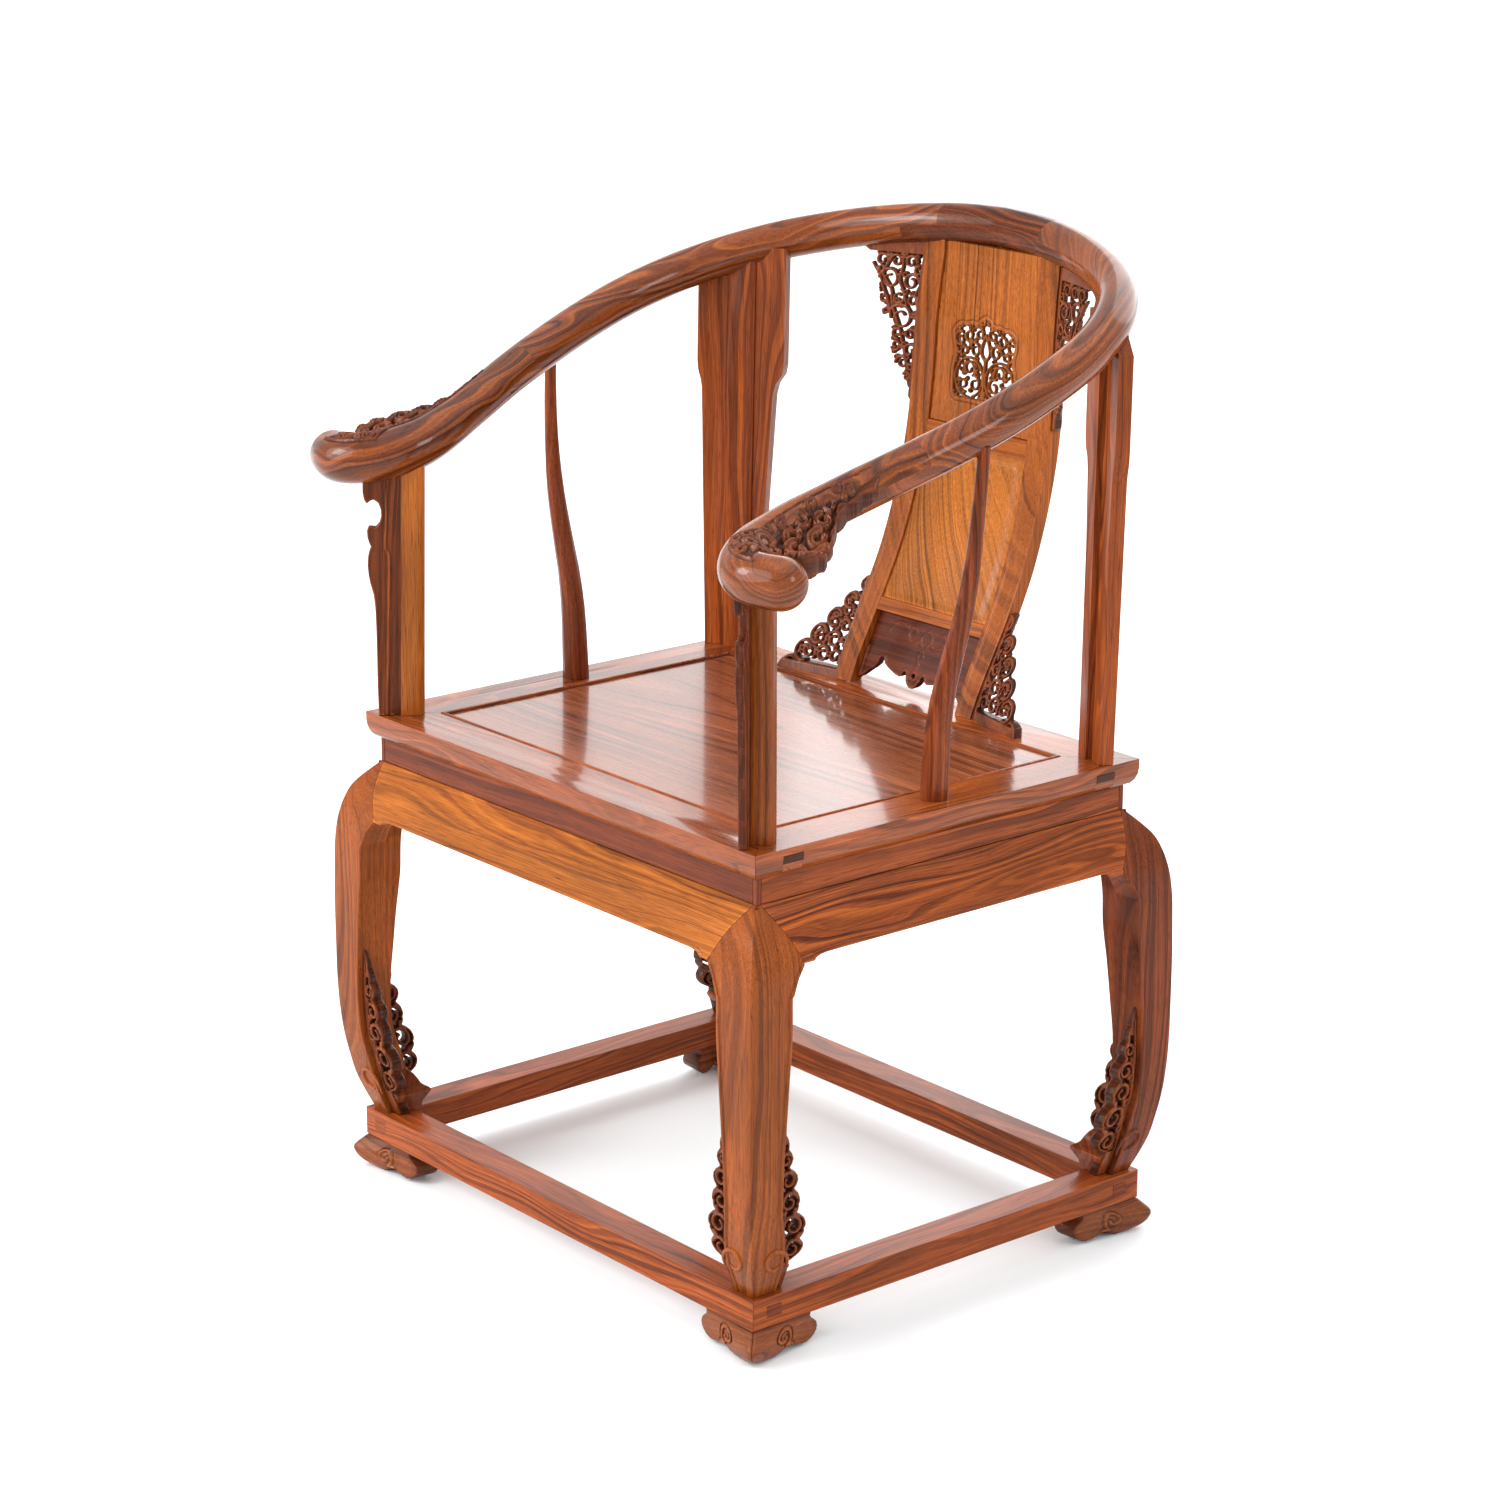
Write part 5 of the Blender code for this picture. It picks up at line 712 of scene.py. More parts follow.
def carved_mesh(name, board, thickness, relief, place, along, offset, sign=1, flat_back=False, hollow=0.0):
    """Openwork from a board: cells with wood, their rims moved onto its edge, and both faces in relief.

    The place function sets a point across, up and deep in the board into the right half of the chair.
    """
    across, height, wood, dome = board
    step = across[0, 1] - across[0, 0]
    wood = np.maximum(wood, -1.5 * step)
    kept = (wood[:-1, :-1] + wood[1:, :-1] + wood[:-1, 1:] + wood[1:, 1:]) > 0
    corners = np.zeros(wood.shape, int)
    for i, j in ((0, 0), (1, 0), (0, 1), (1, 1)):
        corners[i:i + kept.shape[0], j:j + kept.shape[1]] += kept
    rim = (corners > 0) & (corners < 4)
    climb_h, climb_a = np.gradient(wood, step)
    move = np.clip(wood / np.maximum(climb_a ** 2 + climb_h ** 2, 0.05), -0.7 * step, 0.7 * step) * rim
    a, h = across - move * climb_a, height - move * climb_h
    # Rims sink low in the relief, which also paints them dark as shade.
    dome = np.where(rim, dome * 0.3, dome)
    front = place(a, h, relief * (1 - dome))
    back = place(a, h, thickness * (1 - hollow) - (0 if flat_back else 0.7 * relief) * (1 - dome))
    used = corners > 0
    number = np.cumsum(used.ravel()).reshape(used.shape) - 1
    count = int(used.sum())
    cell = [number[:-1, :-1], number[:-1, 1:], number[1:, 1:], number[1:, :-1]]
    face = np.stack([c[kept] for c in cell], axis=-1)
    quads = [face, face[:, ::-1] + count]
    padded = np.pad(kept, 1)
    inner = padded[1:-1, 1:-1]
    for beside, p, q in ((padded[:-2, 1:-1], 0, 1), (padded[1:-1, 2:], 1, 2),
                         (padded[2:, 1:-1], 2, 3), (padded[1:-1, :-2], 3, 0)):
        open_side = inner & ~beside
        u, v = cell[p][open_side], cell[q][open_side]
        quads.append(np.stack([v, u, u + count, v + count], axis=-1))
    points = np.concatenate([front[used], back[used]]) * np.array((sign, 1, 1)) + np.array((0, SEAT_MIDDLE, 0))
    # Painted shade: the lower a point lies in the relief, the darker the wood is painted there.
    ground_shade = np.tile((1 - dome[used]) ** 1.3, 2)
    return build_mesh(name, points, np.concatenate(quads), [], board_grain(points, along, offset), ground_shade, sharp=48)


def splat_front(height):
    """How far back the front face of the splat lies at a height, along its curve."""
    shares = np.array(SPLAT_CURVE_SHARES)
    return SPLAT_FRONT + SPLAT_LEAN * eased((height - SEAT_HEIGHT) / SPLAT_RISE, shares[:, 0], shares[:, 1])


def stile_outer(height):
    """Half the width of the splat at a height, even between the heights that give a share of its widest."""
    shares = np.array(STILE_OUTER_SHARES)
    return STILE_OUTER * np.interp((height - SEAT_HEIGHT) / SPLAT_RISE, shares[:, 0], shares[:, 1])


def wing_place(foot, turn):
    """Sets a wing's board beside the splat, turned forward about its upright edge."""
    def place(across, height, depth):
        z = foot + height
        x = stile_outer(z) + JOINT_GAP + across * math.cos(turn)
        y = splat_front(z) + WING_SETBACK + depth - across * math.sin(turn)
        return np.stack([x, y, z], axis=-1)
    return place


def upper_wing_board():
    """Scrolls on a few stems under a plain bar, cut to the wing's outline, with a tongue above the bar."""
    wide, tall = UPPER_WING_WIDTH, UPPER_WING_HEIGHT
    head = [(0, tall + UPPER_WING_TONGUE), (UPPER_WING_SHARES[0][1] * wide, tall + UPPER_WING_TONGUE)]
    edge = np.array(head + [(w * wide, h * tall) for h, w in UPPER_WING_SHARES] + [(0, 0)])
    board = new_board((0, 0), (wide, tall + UPPER_WING_TONGUE))
    carve_scrolls(board, UPPER_SCROLL_SHARES, wide, tall, WING_SCROLL_HALF, 2)
    for line in UPPER_STEM_SHARES:
        carve_stroke(board, through_points(np.array(line) * (wide, tall), 8), WING_STEM_HALF, taper=0.8)
    carve_flat(board, board[1] - (tall - UPPER_WING_BAR))
    carve_flat(board, UPPER_WING_EDGE - board[0])
    board[2][:] = np.minimum(board[2], inside_outline(board, edge))
    return board


def lower_wing_board():
    """Scrolls under a slope of shrinking lobes, each ringed and with a curl in it, on a plain base."""
    wide, tall = LOWER_WING_WIDTH, LOWER_WING_HEIGHT
    board = new_board((0, 0), (wide, tall))
    carve_scrolls(board, LOWER_SCROLL_SHARES, wide, tall, WING_SCROLL_HALF, 2)
    t = (np.arange(LOWER_WING_LOBES) + 0.45) / LOWER_WING_LOBES
    radius = LOBE_RADIUS * (1 - LOBE_SHRINK * t)
    slope = np.array((tall, wide)) / math.hypot(tall, wide)
    middle = np.stack([wide * (1 - t), tall * t], axis=1) - slope * (radius[:, None] - 0.001)
    middle[:, 0] = np.maximum(middle[:, 0], 0.001)
    reach = inside_outline(board, np.array([(0, 0), (wide, 0), (0.72 * wide, 0.18 * tall), (0, 0.93 * tall)]))
    for (x, h), r in zip(middle, radius):
        reach = np.maximum(reach, r - np.hypot(board[0] - x, board[1] - h))
        carve_stroke(board, scroll(x, h, r - LOBE_LINE_IN, -0.30, 0.75, 0.05), LOBE_LINE_HALF, taper=0.9, over=True)
        carve_stroke(board, scroll(x, h, 0.52 * r, 0.45, -0.9, 0.6), LOBE_CURL_HALF)
    carve_flat(board, LOWER_WING_BASE - board[1])
    carve_flat(board, LOWER_WING_EDGE - board[0])
    base_end = wide - board[0] - 0.5 * board[1]
    reach = np.where(board[1] < BASE_BAR_TOP, base_end, np.minimum(reach, wide - board[0]))
    board[2][:] = np.minimum(board[2], reach)
    return board


carved_wood = rosewood("wood_carved", (0.25, 0.060, 0.014), (0.155, 0.033, 0.009), (0.06, 0.013, 0.006),
                       ring=200.0, contrast=0.7, roughness=0.32, coat=0.25)
upper, lower = upper_wing_board(), lower_wing_board()
below_bar = upper[1] < 0.92 * UPPER_WING_HEIGHT
above_base = np.clip(lower[1] / 0.009 - 1, 0, 1)
for level, board, thinned, foot, turn in (
        ("upper", upper, below_bar, SEAT_HEIGHT + SPLAT_RISE - UPPER_WING_HEIGHT, UPPER_WING_TURN),
        ("lower", lower, above_base, SEAT_HEIGHT + JOINT_GAP, LOWER_WING_TURN)):
    for sign, side in ((1, "right"), (-1, "left")):
        name = level + "_wing_" + side
        hollow = OPENWORK_THINNING * np.clip(board[0] / WING_RIM - 1, 0, 1) * thinned
        mesh = carved_mesh("look_" + name, board, WING_THICKNESS, WING_RELIEF, wing_place(foot, turn), UPRIGHT,
                           (0.05, 0.04, 3.0 + sign), sign, hollow=hollow)
        finish_piece(mesh, carved_wood, [name])

# Splat
# Two beaded stiles tenoned into the seat, two cross rails and, between them, a plain raised panel, a
# panel pierced with an ogee headed medallion of scrollwork, and a shaped apron carved with a cloud head.
STILE_FOOT_INNER, STILE_HEAD_INNER, SPLAT_THICKNESS, SPLAT_INTO_RAIL = 0.082, 0.072, 0.016, 0.010
FIELD_RECESS, FIELD_THICKNESS, PANEL_STEP, PANEL_RELIEF = 0.0025, 0.0100, 0.00085, 0.0026
BOARD_EDGE, BOARD_STEP = 0.0052, 0.0022
FIELD_RAISED, FIELD_MARGIN, FIELD_HEAD_MARGIN, FIELD_FOOT_MARGIN = 0.0016, 0.0105, 0.0085, 0.004
FIELD_CORNER, FIELD_SLOPE, STILE_BEAD_SCALE, STILE_INNER_BEAD, STILE_OUTER_BEAD = 0.007, 0.0022, 0.6, 0.5, 0.3
MID_RAIL_HEIGHT, MID_RAIL_DEPTH, LOWER_RAIL_HEIGHT, LOWER_RAIL_DEPTH = 0.2536, 0.019, 0.0756, 0.012
MEDALLION_HALF_WIDTH, MEDALLION_HEIGHT, MEDALLION_FOOT = 0.047, 0.088, 0.3006
# The first value sets how dark the tracery in the window is painted, as shade.
TRACERY_SHADE, TRACERY_THICKNESS, TRACERY_HALF, TENDRIL_HALF, STEM_HALF = 0.38, 0.0055, 0.0018, 0.0016, 0.0020
BORDER_OVERLAP, BORDER_ROUNDING, SCRIBED_OUT, SCRIBED_WIDTH, SCRIBED_CUT = 0.0022, 0.0016, 0.0032, 0.0008, 0.55
MEDALLION_EDGE_SHARES = (
    (0.0, 1.0), (0.07, 0.985), (0.14, 0.965), (0.22, 0.92), (0.30, 0.905), (0.37, 0.908), (0.44, 0.915),
    (0.54, 0.90), (0.62, 0.885), (0.75, 0.893), (0.86, 0.875), (0.94, 0.84), (1.0, 0.80), (0.99, 0.70),
    (0.93, 0.60), (0.92, 0.50), (0.97, 0.42), (1.0, 0.34), (1.0, 0.14), (0.975, 0.06), (0.92, 0.015), (0.86, 0.0),
    (0.0, 0.0))
MEDALLION_SCROLL_SHARES = (
    (0.31, 0.20, 0.19, 0.20, 1.3), (0.66, 0.17, 0.17, 0.70, 1.3), (0.50, 0.37, 0.19, 0.55, -1.3),
    (0.74, 0.36, 0.13, 0.0, 1.2), (0.25, 0.40, 0.12, 0.2, -1.2), (0.93, 0.50, 0.12, 0.4, -1.2),
    (0.66, 0.565, 0.14, 0.75, 1.3), (0.34, 0.60, 0.19, 0.05, 1.4), (0.82, 0.70, 0.18, 0.30, -1.4),
    (0.52, 0.76, 0.17, 0.6, 1.3), (0.22, 0.80, 0.15, 0.2, 1.3), (0.84, 0.86, 0.09, 0.1, 1.1),
    (0.13, 0.93, 0.08, 0.55, -1.1), (0.40, 0.88, 0.09, 0.1, 1.1), (0.90, 0.06, 0.10, 0.3, 1.1),
    (0.10, 0.07, 0.08, 0.2, 1.1))
MEDALLION_RING, MEDALLION_STEM = (0.48, 0.265, 0.45), 0.044
MEDALLION_BUD = ((0.0, 0.042), (0.0065, 0.051), (0.004, 0.062), (0.0, 0.070))
SPLAT_APRON_EDGE_SHARES = (
    (0.0, 0.105), (0.05, 0.115), (0.09, 0.145), (0.12, 0.18), (0.14, 0.225), (0.15, 0.27), (0.17, 0.295),
    (0.19, 0.285), (0.205, 0.25), (0.225, 0.225), (0.26, 0.21), (0.30, 0.215), (0.35, 0.225), (0.42, 0.25),
    (0.49, 0.275), (0.55, 0.305), (0.585, 0.325), (0.60, 0.355), (0.615, 0.385), (0.645, 0.40), (0.675, 0.385),
    (0.69, 0.355), (0.685, 0.32), (0.70, 0.28), (0.75, 0.23), (0.82, 0.175), (0.88, 0.12), (0.94, 0.075),
    (0.985, 0.06))
SPLAT_APRON_LINE_SHARES = (
    ((0.0, 0.46), (0.045, 0.53), (0.0, 0.60)), ((0.0, 0.36), (0.02, 0.41), (0.0, 0.46)),
    ((0.04, 0.66), (0.09, 0.72), (0.08, 0.80), (0.0, 0.86)),
    ((0.10, 0.72), (0.20, 0.66), (0.30, 0.70), (0.34, 0.79), (0.28, 0.86), (0.21, 0.82)),
    ((0.34, 0.79), (0.42, 0.86), (0.55, 0.88), (0.66, 0.82), (0.70, 0.73)))
APRON_EYE_HEIGHT, APRON_EYE_RADIUS, APRON_SETBACK, APRON_THICKNESS = 0.0205, 0.0022, 0.0075, 0.0080
APRON_STEP, APRON_RELIEF, APRON_FACE, APRON_EDGE, APRON_LINE_HALF = 0.00075, 0.0022, 0.50, 0.9, 0.0024
APRON_EDGE_IN, APRON_EDGE_HALF = 0.0019, 0.0014
splat_wood = rosewood("wood_splat", (0.36, 0.098, 0.013), (0.25, 0.058, 0.008), (0.08, 0.018, 0.005),
                      ring=190.0, contrast=0.8, figure=0.3)
splat_panel_wood = rosewood("wood_splat_panel", (0.38, 0.108, 0.015), (0.28, 0.070, 0.010), (0.10, 0.023, 0.005),
                            ring=420.0, contrast=0.8, figure=0.22)
field_wood = rosewood("wood_splat_field", (0.46, 0.150, 0.021), (0.34, 0.095, 0.013), (0.14, 0.033, 0.006),
                      ring=560.0, contrast=0.75, figure=0.35)
stile_top = SEAT_HEIGHT + SPLAT_RISE + SPLAT_INTO_RAIL
lower, middle = SEAT_HEIGHT + LOWER_RAIL_HEIGHT, SEAT_HEIGHT + MID_RAIL_HEIGHT
field_low, field_high = lower + LOWER_RAIL_DEPTH, middle


def stile_inner(height):
    """Half the opening between the stiles at a height, which narrows evenly from the seat to the rail."""
    share = np.clip((height - SEAT_HEIGHT) / SPLAT_RISE, 0, 1)
    return STILE_FOOT_INNER + (STILE_HEAD_INNER - STILE_FOOT_INNER) * share


def splat_board(name, wood, limits, inner, outer, setback, thickness, raise_by, along, offset, sign=1):
    """A board that follows the splat's curve between two edges, with points close together beside them.

    The function raise_by says how proud its face is, from the distances to the edges and the height.
    """
    low, high = limits
    rows = np.linspace(low, high, max(int((high - low) / BOARD_STEP), 6))
    edge = BOARD_EDGE * np.array([0, 0.06, 0.15, 0.27, 0.4, 0.52, 0.64, 0.75, 0.82, 0.88, 0.94, 1.0])
    share = np.linspace(0, 1, 40)[1:-1]
    start, end = inner(rows)[:, None], outer(rows)[:, None]
    between = start + edge[-1] + (end - start - 2 * edge[-1]) * share
    x = np.concatenate([start + edge, between, end - edge[::-1]], axis=1)
    z = np.broadcast_to(rows[:, None], x.shape)
    y = splat_front(z) + setback + SEAT_MIDDLE
    front = np.stack([x * sign, y - raise_by(x - start, end - x, z), z], axis=-1)
    back = np.stack([x * sign, y + thickness, z], axis=-1)
    finish_piece(slab("look_" + name, front, back, along, offset), wood, [name])


def beaded(near, far, height):
    """A low bead with a quirk along both upright edges, lower on the outer one."""
    return (STILE_INNER_BEAD * bead(STILE_BEAD_SCALE * near)
            + STILE_OUTER_BEAD * bead(STILE_BEAD_SCALE * far))


def plain(near, far, height):
    """A flat face."""
    return 0.0


def raised_panel(near, far, height):
    """A field raised above its border, with rounded upper corners and a sloping edge."""
    side, top = np.minimum(near, far) - FIELD_MARGIN, field_high - FIELD_HEAD_MARGIN - height
    rounded = FIELD_CORNER - np.hypot(FIELD_CORNER - side, FIELD_CORNER - top)
    inside = np.where((side < FIELD_CORNER) & (top < FIELD_CORNER), rounded, np.minimum(side, top))
    inside = np.minimum(inside, height - field_low - FIELD_FOOT_MARGIN)
    return FIELD_RAISED * np.clip(inside / FIELD_SLOPE, 0, 1)


for sign, side in ((1, "right"), (-1, "left")):
    splat_board("splat_stile_" + side, splat_wood, (SEAT_HEIGHT + JOINT_GAP, stile_top),
                stile_inner, stile_outer, 0.0, SPLAT_THICKNESS, beaded, UPRIGHT, (0.04, 0.05, 2.0 + sign), sign)
for name, slot, wood, limits, setback, thickness, raised, along in (
        ("rail_lower", "splat_frame_wood", splat_wood, (lower, field_low),
         0.0, SPLAT_THICKNESS, plain, ALONG_X),
        ("rail_middle", "splat_frame_wood", splat_wood, (middle, middle + MID_RAIL_DEPTH),
         0.0, SPLAT_THICKNESS, plain, ALONG_X),
        ("panel_lower", "splat_panel_wood", field_wood, (field_low + JOINT_GAP, field_high - JOINT_GAP),
         FIELD_RECESS, FIELD_THICKNESS, raised_panel, UPRIGHT)):
    splat_board("splat_" + name, wood, limits, lambda z: JOINT_GAP - stile_inner(z),
                lambda z: stile_inner(z) - JOINT_GAP, setback, thickness, raised, along,
                (0.13, 0.10, limits[0] * 9))


def splat_place(foot, setback):
    """Sets a board between the stiles, on the splat's curve and some way behind its front face."""
    def place(across, height, depth):
        z = foot + height
        return np.stack([across, splat_front(z) + setback + depth, z], axis=-1)
    return place


def mirrored_edge(half):
    """A closed outline from its right half, whose first and last points lie on the middle line."""
    half = np.array(half)
    return np.concatenate([half, half[-2:0:-1] * (-1, 1)])


low, high = middle + MID_RAIL_DEPTH + JOINT_GAP, stile_top
board = new_board((-STILE_FOOT_INNER, 0), (STILE_FOOT_INNER, high - low), PANEL_STEP)
window = (MEDALLION_HALF_WIDTH, MEDALLION_HEIGHT)
window_foot = SEAT_HEIGHT + MEDALLION_FOOT - low
edge = mirrored_edge(np.array(MEDALLION_EDGE_SHARES) * window + (0.0, window_foot))
rim = inside_outline(board, edge)
lifted = [board[0], board[1] - window_foot, board[2], board[3]]
ring_x, ring_h, ring_r = MEDALLION_RING
for way in (1, -1):
    rows = [(way * x, h, r, start if way > 0 else 0.5 - start, turns * way)
            for x, h, r, start, turns in MEDALLION_SCROLL_SHARES]
    carve_scrolls(lifted, rows, *window, TRACERY_HALF, 3)
    ring = scroll(way * ring_x * window[0], ring_h * window[1], ring_r * window[0], 0.75, way * 0.95, 0.04)
    carve_stroke(lifted, ring, TENDRIL_HALF, taper=0.9, over=True)
    carve_stroke(lifted, through_points(np.array(MEDALLION_BUD) * (way, 1), 8), TENDRIL_HALF, taper=0.9)
carve_stroke(lifted, np.array([(0.0, 0.0), (0.0, MEDALLION_STEM)]), STEM_HALF, taper=1.0)
carve_flat(board, BORDER_OVERLAP - rim, BORDER_ROUNDING)
scribed = SCRIBED_CUT * np.exp(-((rim + SCRIBED_OUT) / SCRIBED_WIDTH) ** 2)
board[3][:] = np.where(rim < 0.0, 1 - scribed, board[3])
side = stile_inner(board[1] + low) - JOINT_GAP - np.abs(board[0])
board[2][:] = np.minimum(board[2], np.minimum(side, np.minimum(board[1], high - low - board[1])))
thinned = (1 - TRACERY_THICKNESS / FIELD_THICKNESS) * np.clip(rim / 0.0006, 0, 1)
mesh = carved_mesh("look_splat_panel_upper", board, FIELD_THICKNESS, PANEL_RELIEF,
                   splat_place(low, FIELD_RECESS), UPRIGHT, (0.16, 0.09, 1.1), hollow=thinned)
# Painted shade: the tracery inside the window is darkened at least to a set share, as shade behind the opening.
painted_shade, spots = np.empty(len(mesh.vertices)), np.empty(3 * len(mesh.vertices))
mesh.attributes["ground_shade"].data.foreach_get("value", painted_shade)
mesh.vertices.foreach_get("co", spots)
within = inside_outline((spots[::3], spots[2::3] - low), edge) > 0.0004
painted_shade = np.where(within, np.maximum(painted_shade, TRACERY_SHADE), painted_shade)
mesh.attributes["ground_shade"].data.foreach_set("value", painted_shade)
finish_piece(mesh, splat_panel_wood, ["splat_panel_upper"])

apron_size = (STILE_FOOT_INNER, LOWER_RAIL_HEIGHT)
board = new_board((-STILE_FOOT_INNER, 0), apron_size, APRON_STEP)
shoulder = STILE_FOOT_INNER - JOINT_GAP
head = [(0.0, LOWER_RAIL_HEIGHT), (shoulder, LOWER_RAIL_HEIGHT), (shoulder, 0.0)]
edge = mirrored_edge(np.concatenate([head, np.array(SPLAT_APRON_EDGE_SHARES[::-1]) * apron_size]))
eye = np.hypot(board[0], board[1] - APRON_EYE_HEIGHT) - APRON_EYE_RADIUS
rim = np.minimum(inside_outline(board, edge), eye)
for way in (1, -1):
    for line in SPLAT_APRON_LINE_SHARES:
        path = through_points(np.array(line) * (way, 1) * apron_size, 8)
        carve_stroke(board, path, APRON_LINE_HALF, taper=0.7, crown=0.8)
board[3][:] = np.maximum(board[3], APRON_FACE * np.clip(rim / 0.0012, 0, 1))
edge_line = (np.abs(rim - APRON_EDGE_IN) < APRON_EDGE_HALF) & (board[1] < 0.5 * LOWER_RAIL_HEIGHT)
board[3][:] = np.where(edge_line, np.maximum(board[3], APRON_EDGE), board[3])
board[2][:] = rim
mesh = carved_mesh("look_splat_apron", board, APRON_THICKNESS, APRON_RELIEF,
                   splat_place(SEAT_HEIGHT + JOINT_GAP, APRON_SETBACK), ALONG_X, (0.05, 0.05, 4.1), flat_back=True)
apron_wood = rosewood("wood_splat_apron", (0.25, 0.048, 0.013), (0.145, 0.027, 0.009), (0.050, 0.011, 0.005),
                      ring=200.0, contrast=0.7)
finish_piece(mesh, apron_wood, ["splat_apron"])

# Arm carvings
# Solid pieces of leaf and scroll carving, in high relief and pierced in a few places, that fill the
# bend between each arm and its hook and lap over the top of the bar; the right one falls away outwards.
ARM_BACK_Y, ARM_LONG, ARM_CARVING_WIDTH, ARM_CARVING_THICKNESS, ARM_RELIEF = -0.100, 0.132, 0.059, 0.027, 0.0070
ARM_NEAR_X, ARM_FAR_X, ARM_BEND, ARM_OVER_SHARE = 0.276, 0.372, 0.176, 0.30
ARM_PROUD, ARM_LIP, ARM_RIBS, ARM_RIB_PITCH, ARM_RIB_DEPTH = 0.0034, 0.0016, 0.006, 0.0058, 0.0022
ARM_FALLS, ARM_FALL_REACH, ARM_LAP_RELIEF, ARM_LAP_THICKNESS = {"right": 0.016, "left": 0.001}, 0.040, 0.42, 0.010
HOOK_OVER_SHARE, HOOK_OVER_START, HOOK_OVER_LONG, HOOK_CLEAR = -0.62, 0.124, 0.026, 1.02
ARM_CARVING_SHARES = (
    (0.0, 0.02, 0.45), (0.15, 0.09, 0.70), (0.38, 0.27, 0.90), (0.49, 0.48, 0.95), (0.58, 0.70, 1.0),
    (0.68, 0.86, 1.0), (0.79, 1.0, 1.0), (0.89, 0.95, 0.96), (1.0, 0.78, 0.86))
ARM_LEAVES = (
    (0.296, 0.014, 0.0050, 0.60, -0.80, 0.0026), (0.303, 0.028, 0.0070, 0.20, 0.80, 0.0032),
    (0.320, 0.044, 0.0090, 0.60, -0.85, 0.0038), (0.296, 0.036, 0.0055, 0.60, -0.85, 0.0026),
    (0.303, 0.050, 0.0085, 0.15, 0.85, 0.0036), (0.293, 0.064, 0.0060, 0.20, 0.85, 0.0028),
    (0.313, 0.066, 0.0095, 0.55, -0.85, 0.0040), (0.335, 0.062, 0.0095, 0.20, 0.85, 0.0040),
    (0.300, 0.082, 0.0085, 0.60, 0.85, 0.0036), (0.327, 0.083, 0.0110, 0.60, -0.85, 0.0046),
    (0.309, 0.097, 0.0105, 0.10, 0.85, 0.0044), (0.347, 0.094, 0.0110, 0.45, 0.85, 0.0048),
    (0.293, 0.099, 0.0065, 0.60, -0.85, 0.0030), (0.338, 0.128, 0.0105, 0.30, -0.80, 0.0046),
    (0.352, 0.114, 0.0105, 0.20, 0.80, 0.0046), (0.362, 0.131, 0.0095, 0.75, -0.80, 0.0044),
    (0.292, 0.116, 0.0080, 0.60, -0.85, 0.0036), (0.327, 0.108, 0.0120, 0.55, -0.85, 0.0052),
    (0.322, 0.134, 0.0090, 0.45, 0.80, 0.0040), (0.306, 0.127, 0.0130, 0.10, 0.85, 0.0056),
    (0.294, 0.140, 0.0085, 0.60, -0.80, 0.0038), (0.308, 0.147, 0.0095, 0.05, 0.80, 0.0042),
    (0.294, 0.153, 0.0070, 0.60, -0.80, 0.0032), (0.326, 0.152, 0.0090, 0.05, 0.70, 0.0040),
    (0.302, 0.164, 0.0080, 0.30, 0.80, 0.0038), (0.317, 0.166, 0.0080, 0.60, -0.80, 0.0038))
ARM_HOLES = ((0.3005, 0.0905, 0.0026), (0.302, 0.0725, 0.0026), (0.3175, 0.1015, 0.0020),
             (0.3385, 0.1035, 0.0022), (0.3185, 0.1185, 0.0022), (0.301, 0.0595, 0.0018))
arm_lengths, arm_widths, arm_thicknesses = np.array(ARM_CARVING_SHARES).T
outer_arm = rail_path[:rail_path[:, 1].argmin()][::-1]


def along_arm(across, forward):
    """For places in plan: distance to the rail's line, positive inside its bend, its height and its radius."""
    front = rail_path[:, 1] < ARM_BACK_Y + 0.04
    line = through_points(np.column_stack([rail_path[front], rail_radii[front]]), 8)
    path, radii = line[:, :3], line[:, 3]
    heading = np.gradient(path, axis=0)
    x, y = across.ravel(), ARM_BACK_Y - forward.ravel()
    off_x, off_y = x[:, None] - path[:, 0], y[:, None] - path[:, 1]
    near = np.hypot(off_x, off_y).argmin(axis=1)
    row = np.arange(len(x))
    off_x, off_y = off_x[row, near], off_y[row, near]
    turn = heading[near, 0] * off_y - heading[near, 1] * off_x
    away = np.abs(turn) / np.hypot(heading[near, 0], heading[near, 1])
    away = np.where(near >= len(path) - 2, np.hypot(off_x, off_y), away)
    return [v.reshape(across.shape) for v in (np.sign(turn) * away, path[near, 2], radii[near])]


def lap_share(forward):
    """Where the carving begins on top of the bar, as a share of its radius, furthest over at the hook."""
    blend = np.clip((forward - HOOK_OVER_START) / HOOK_OVER_LONG, 0, 1)
    return ARM_OVER_SHARE + (HOOK_OVER_SHARE - ARM_OVER_SHARE) * blend


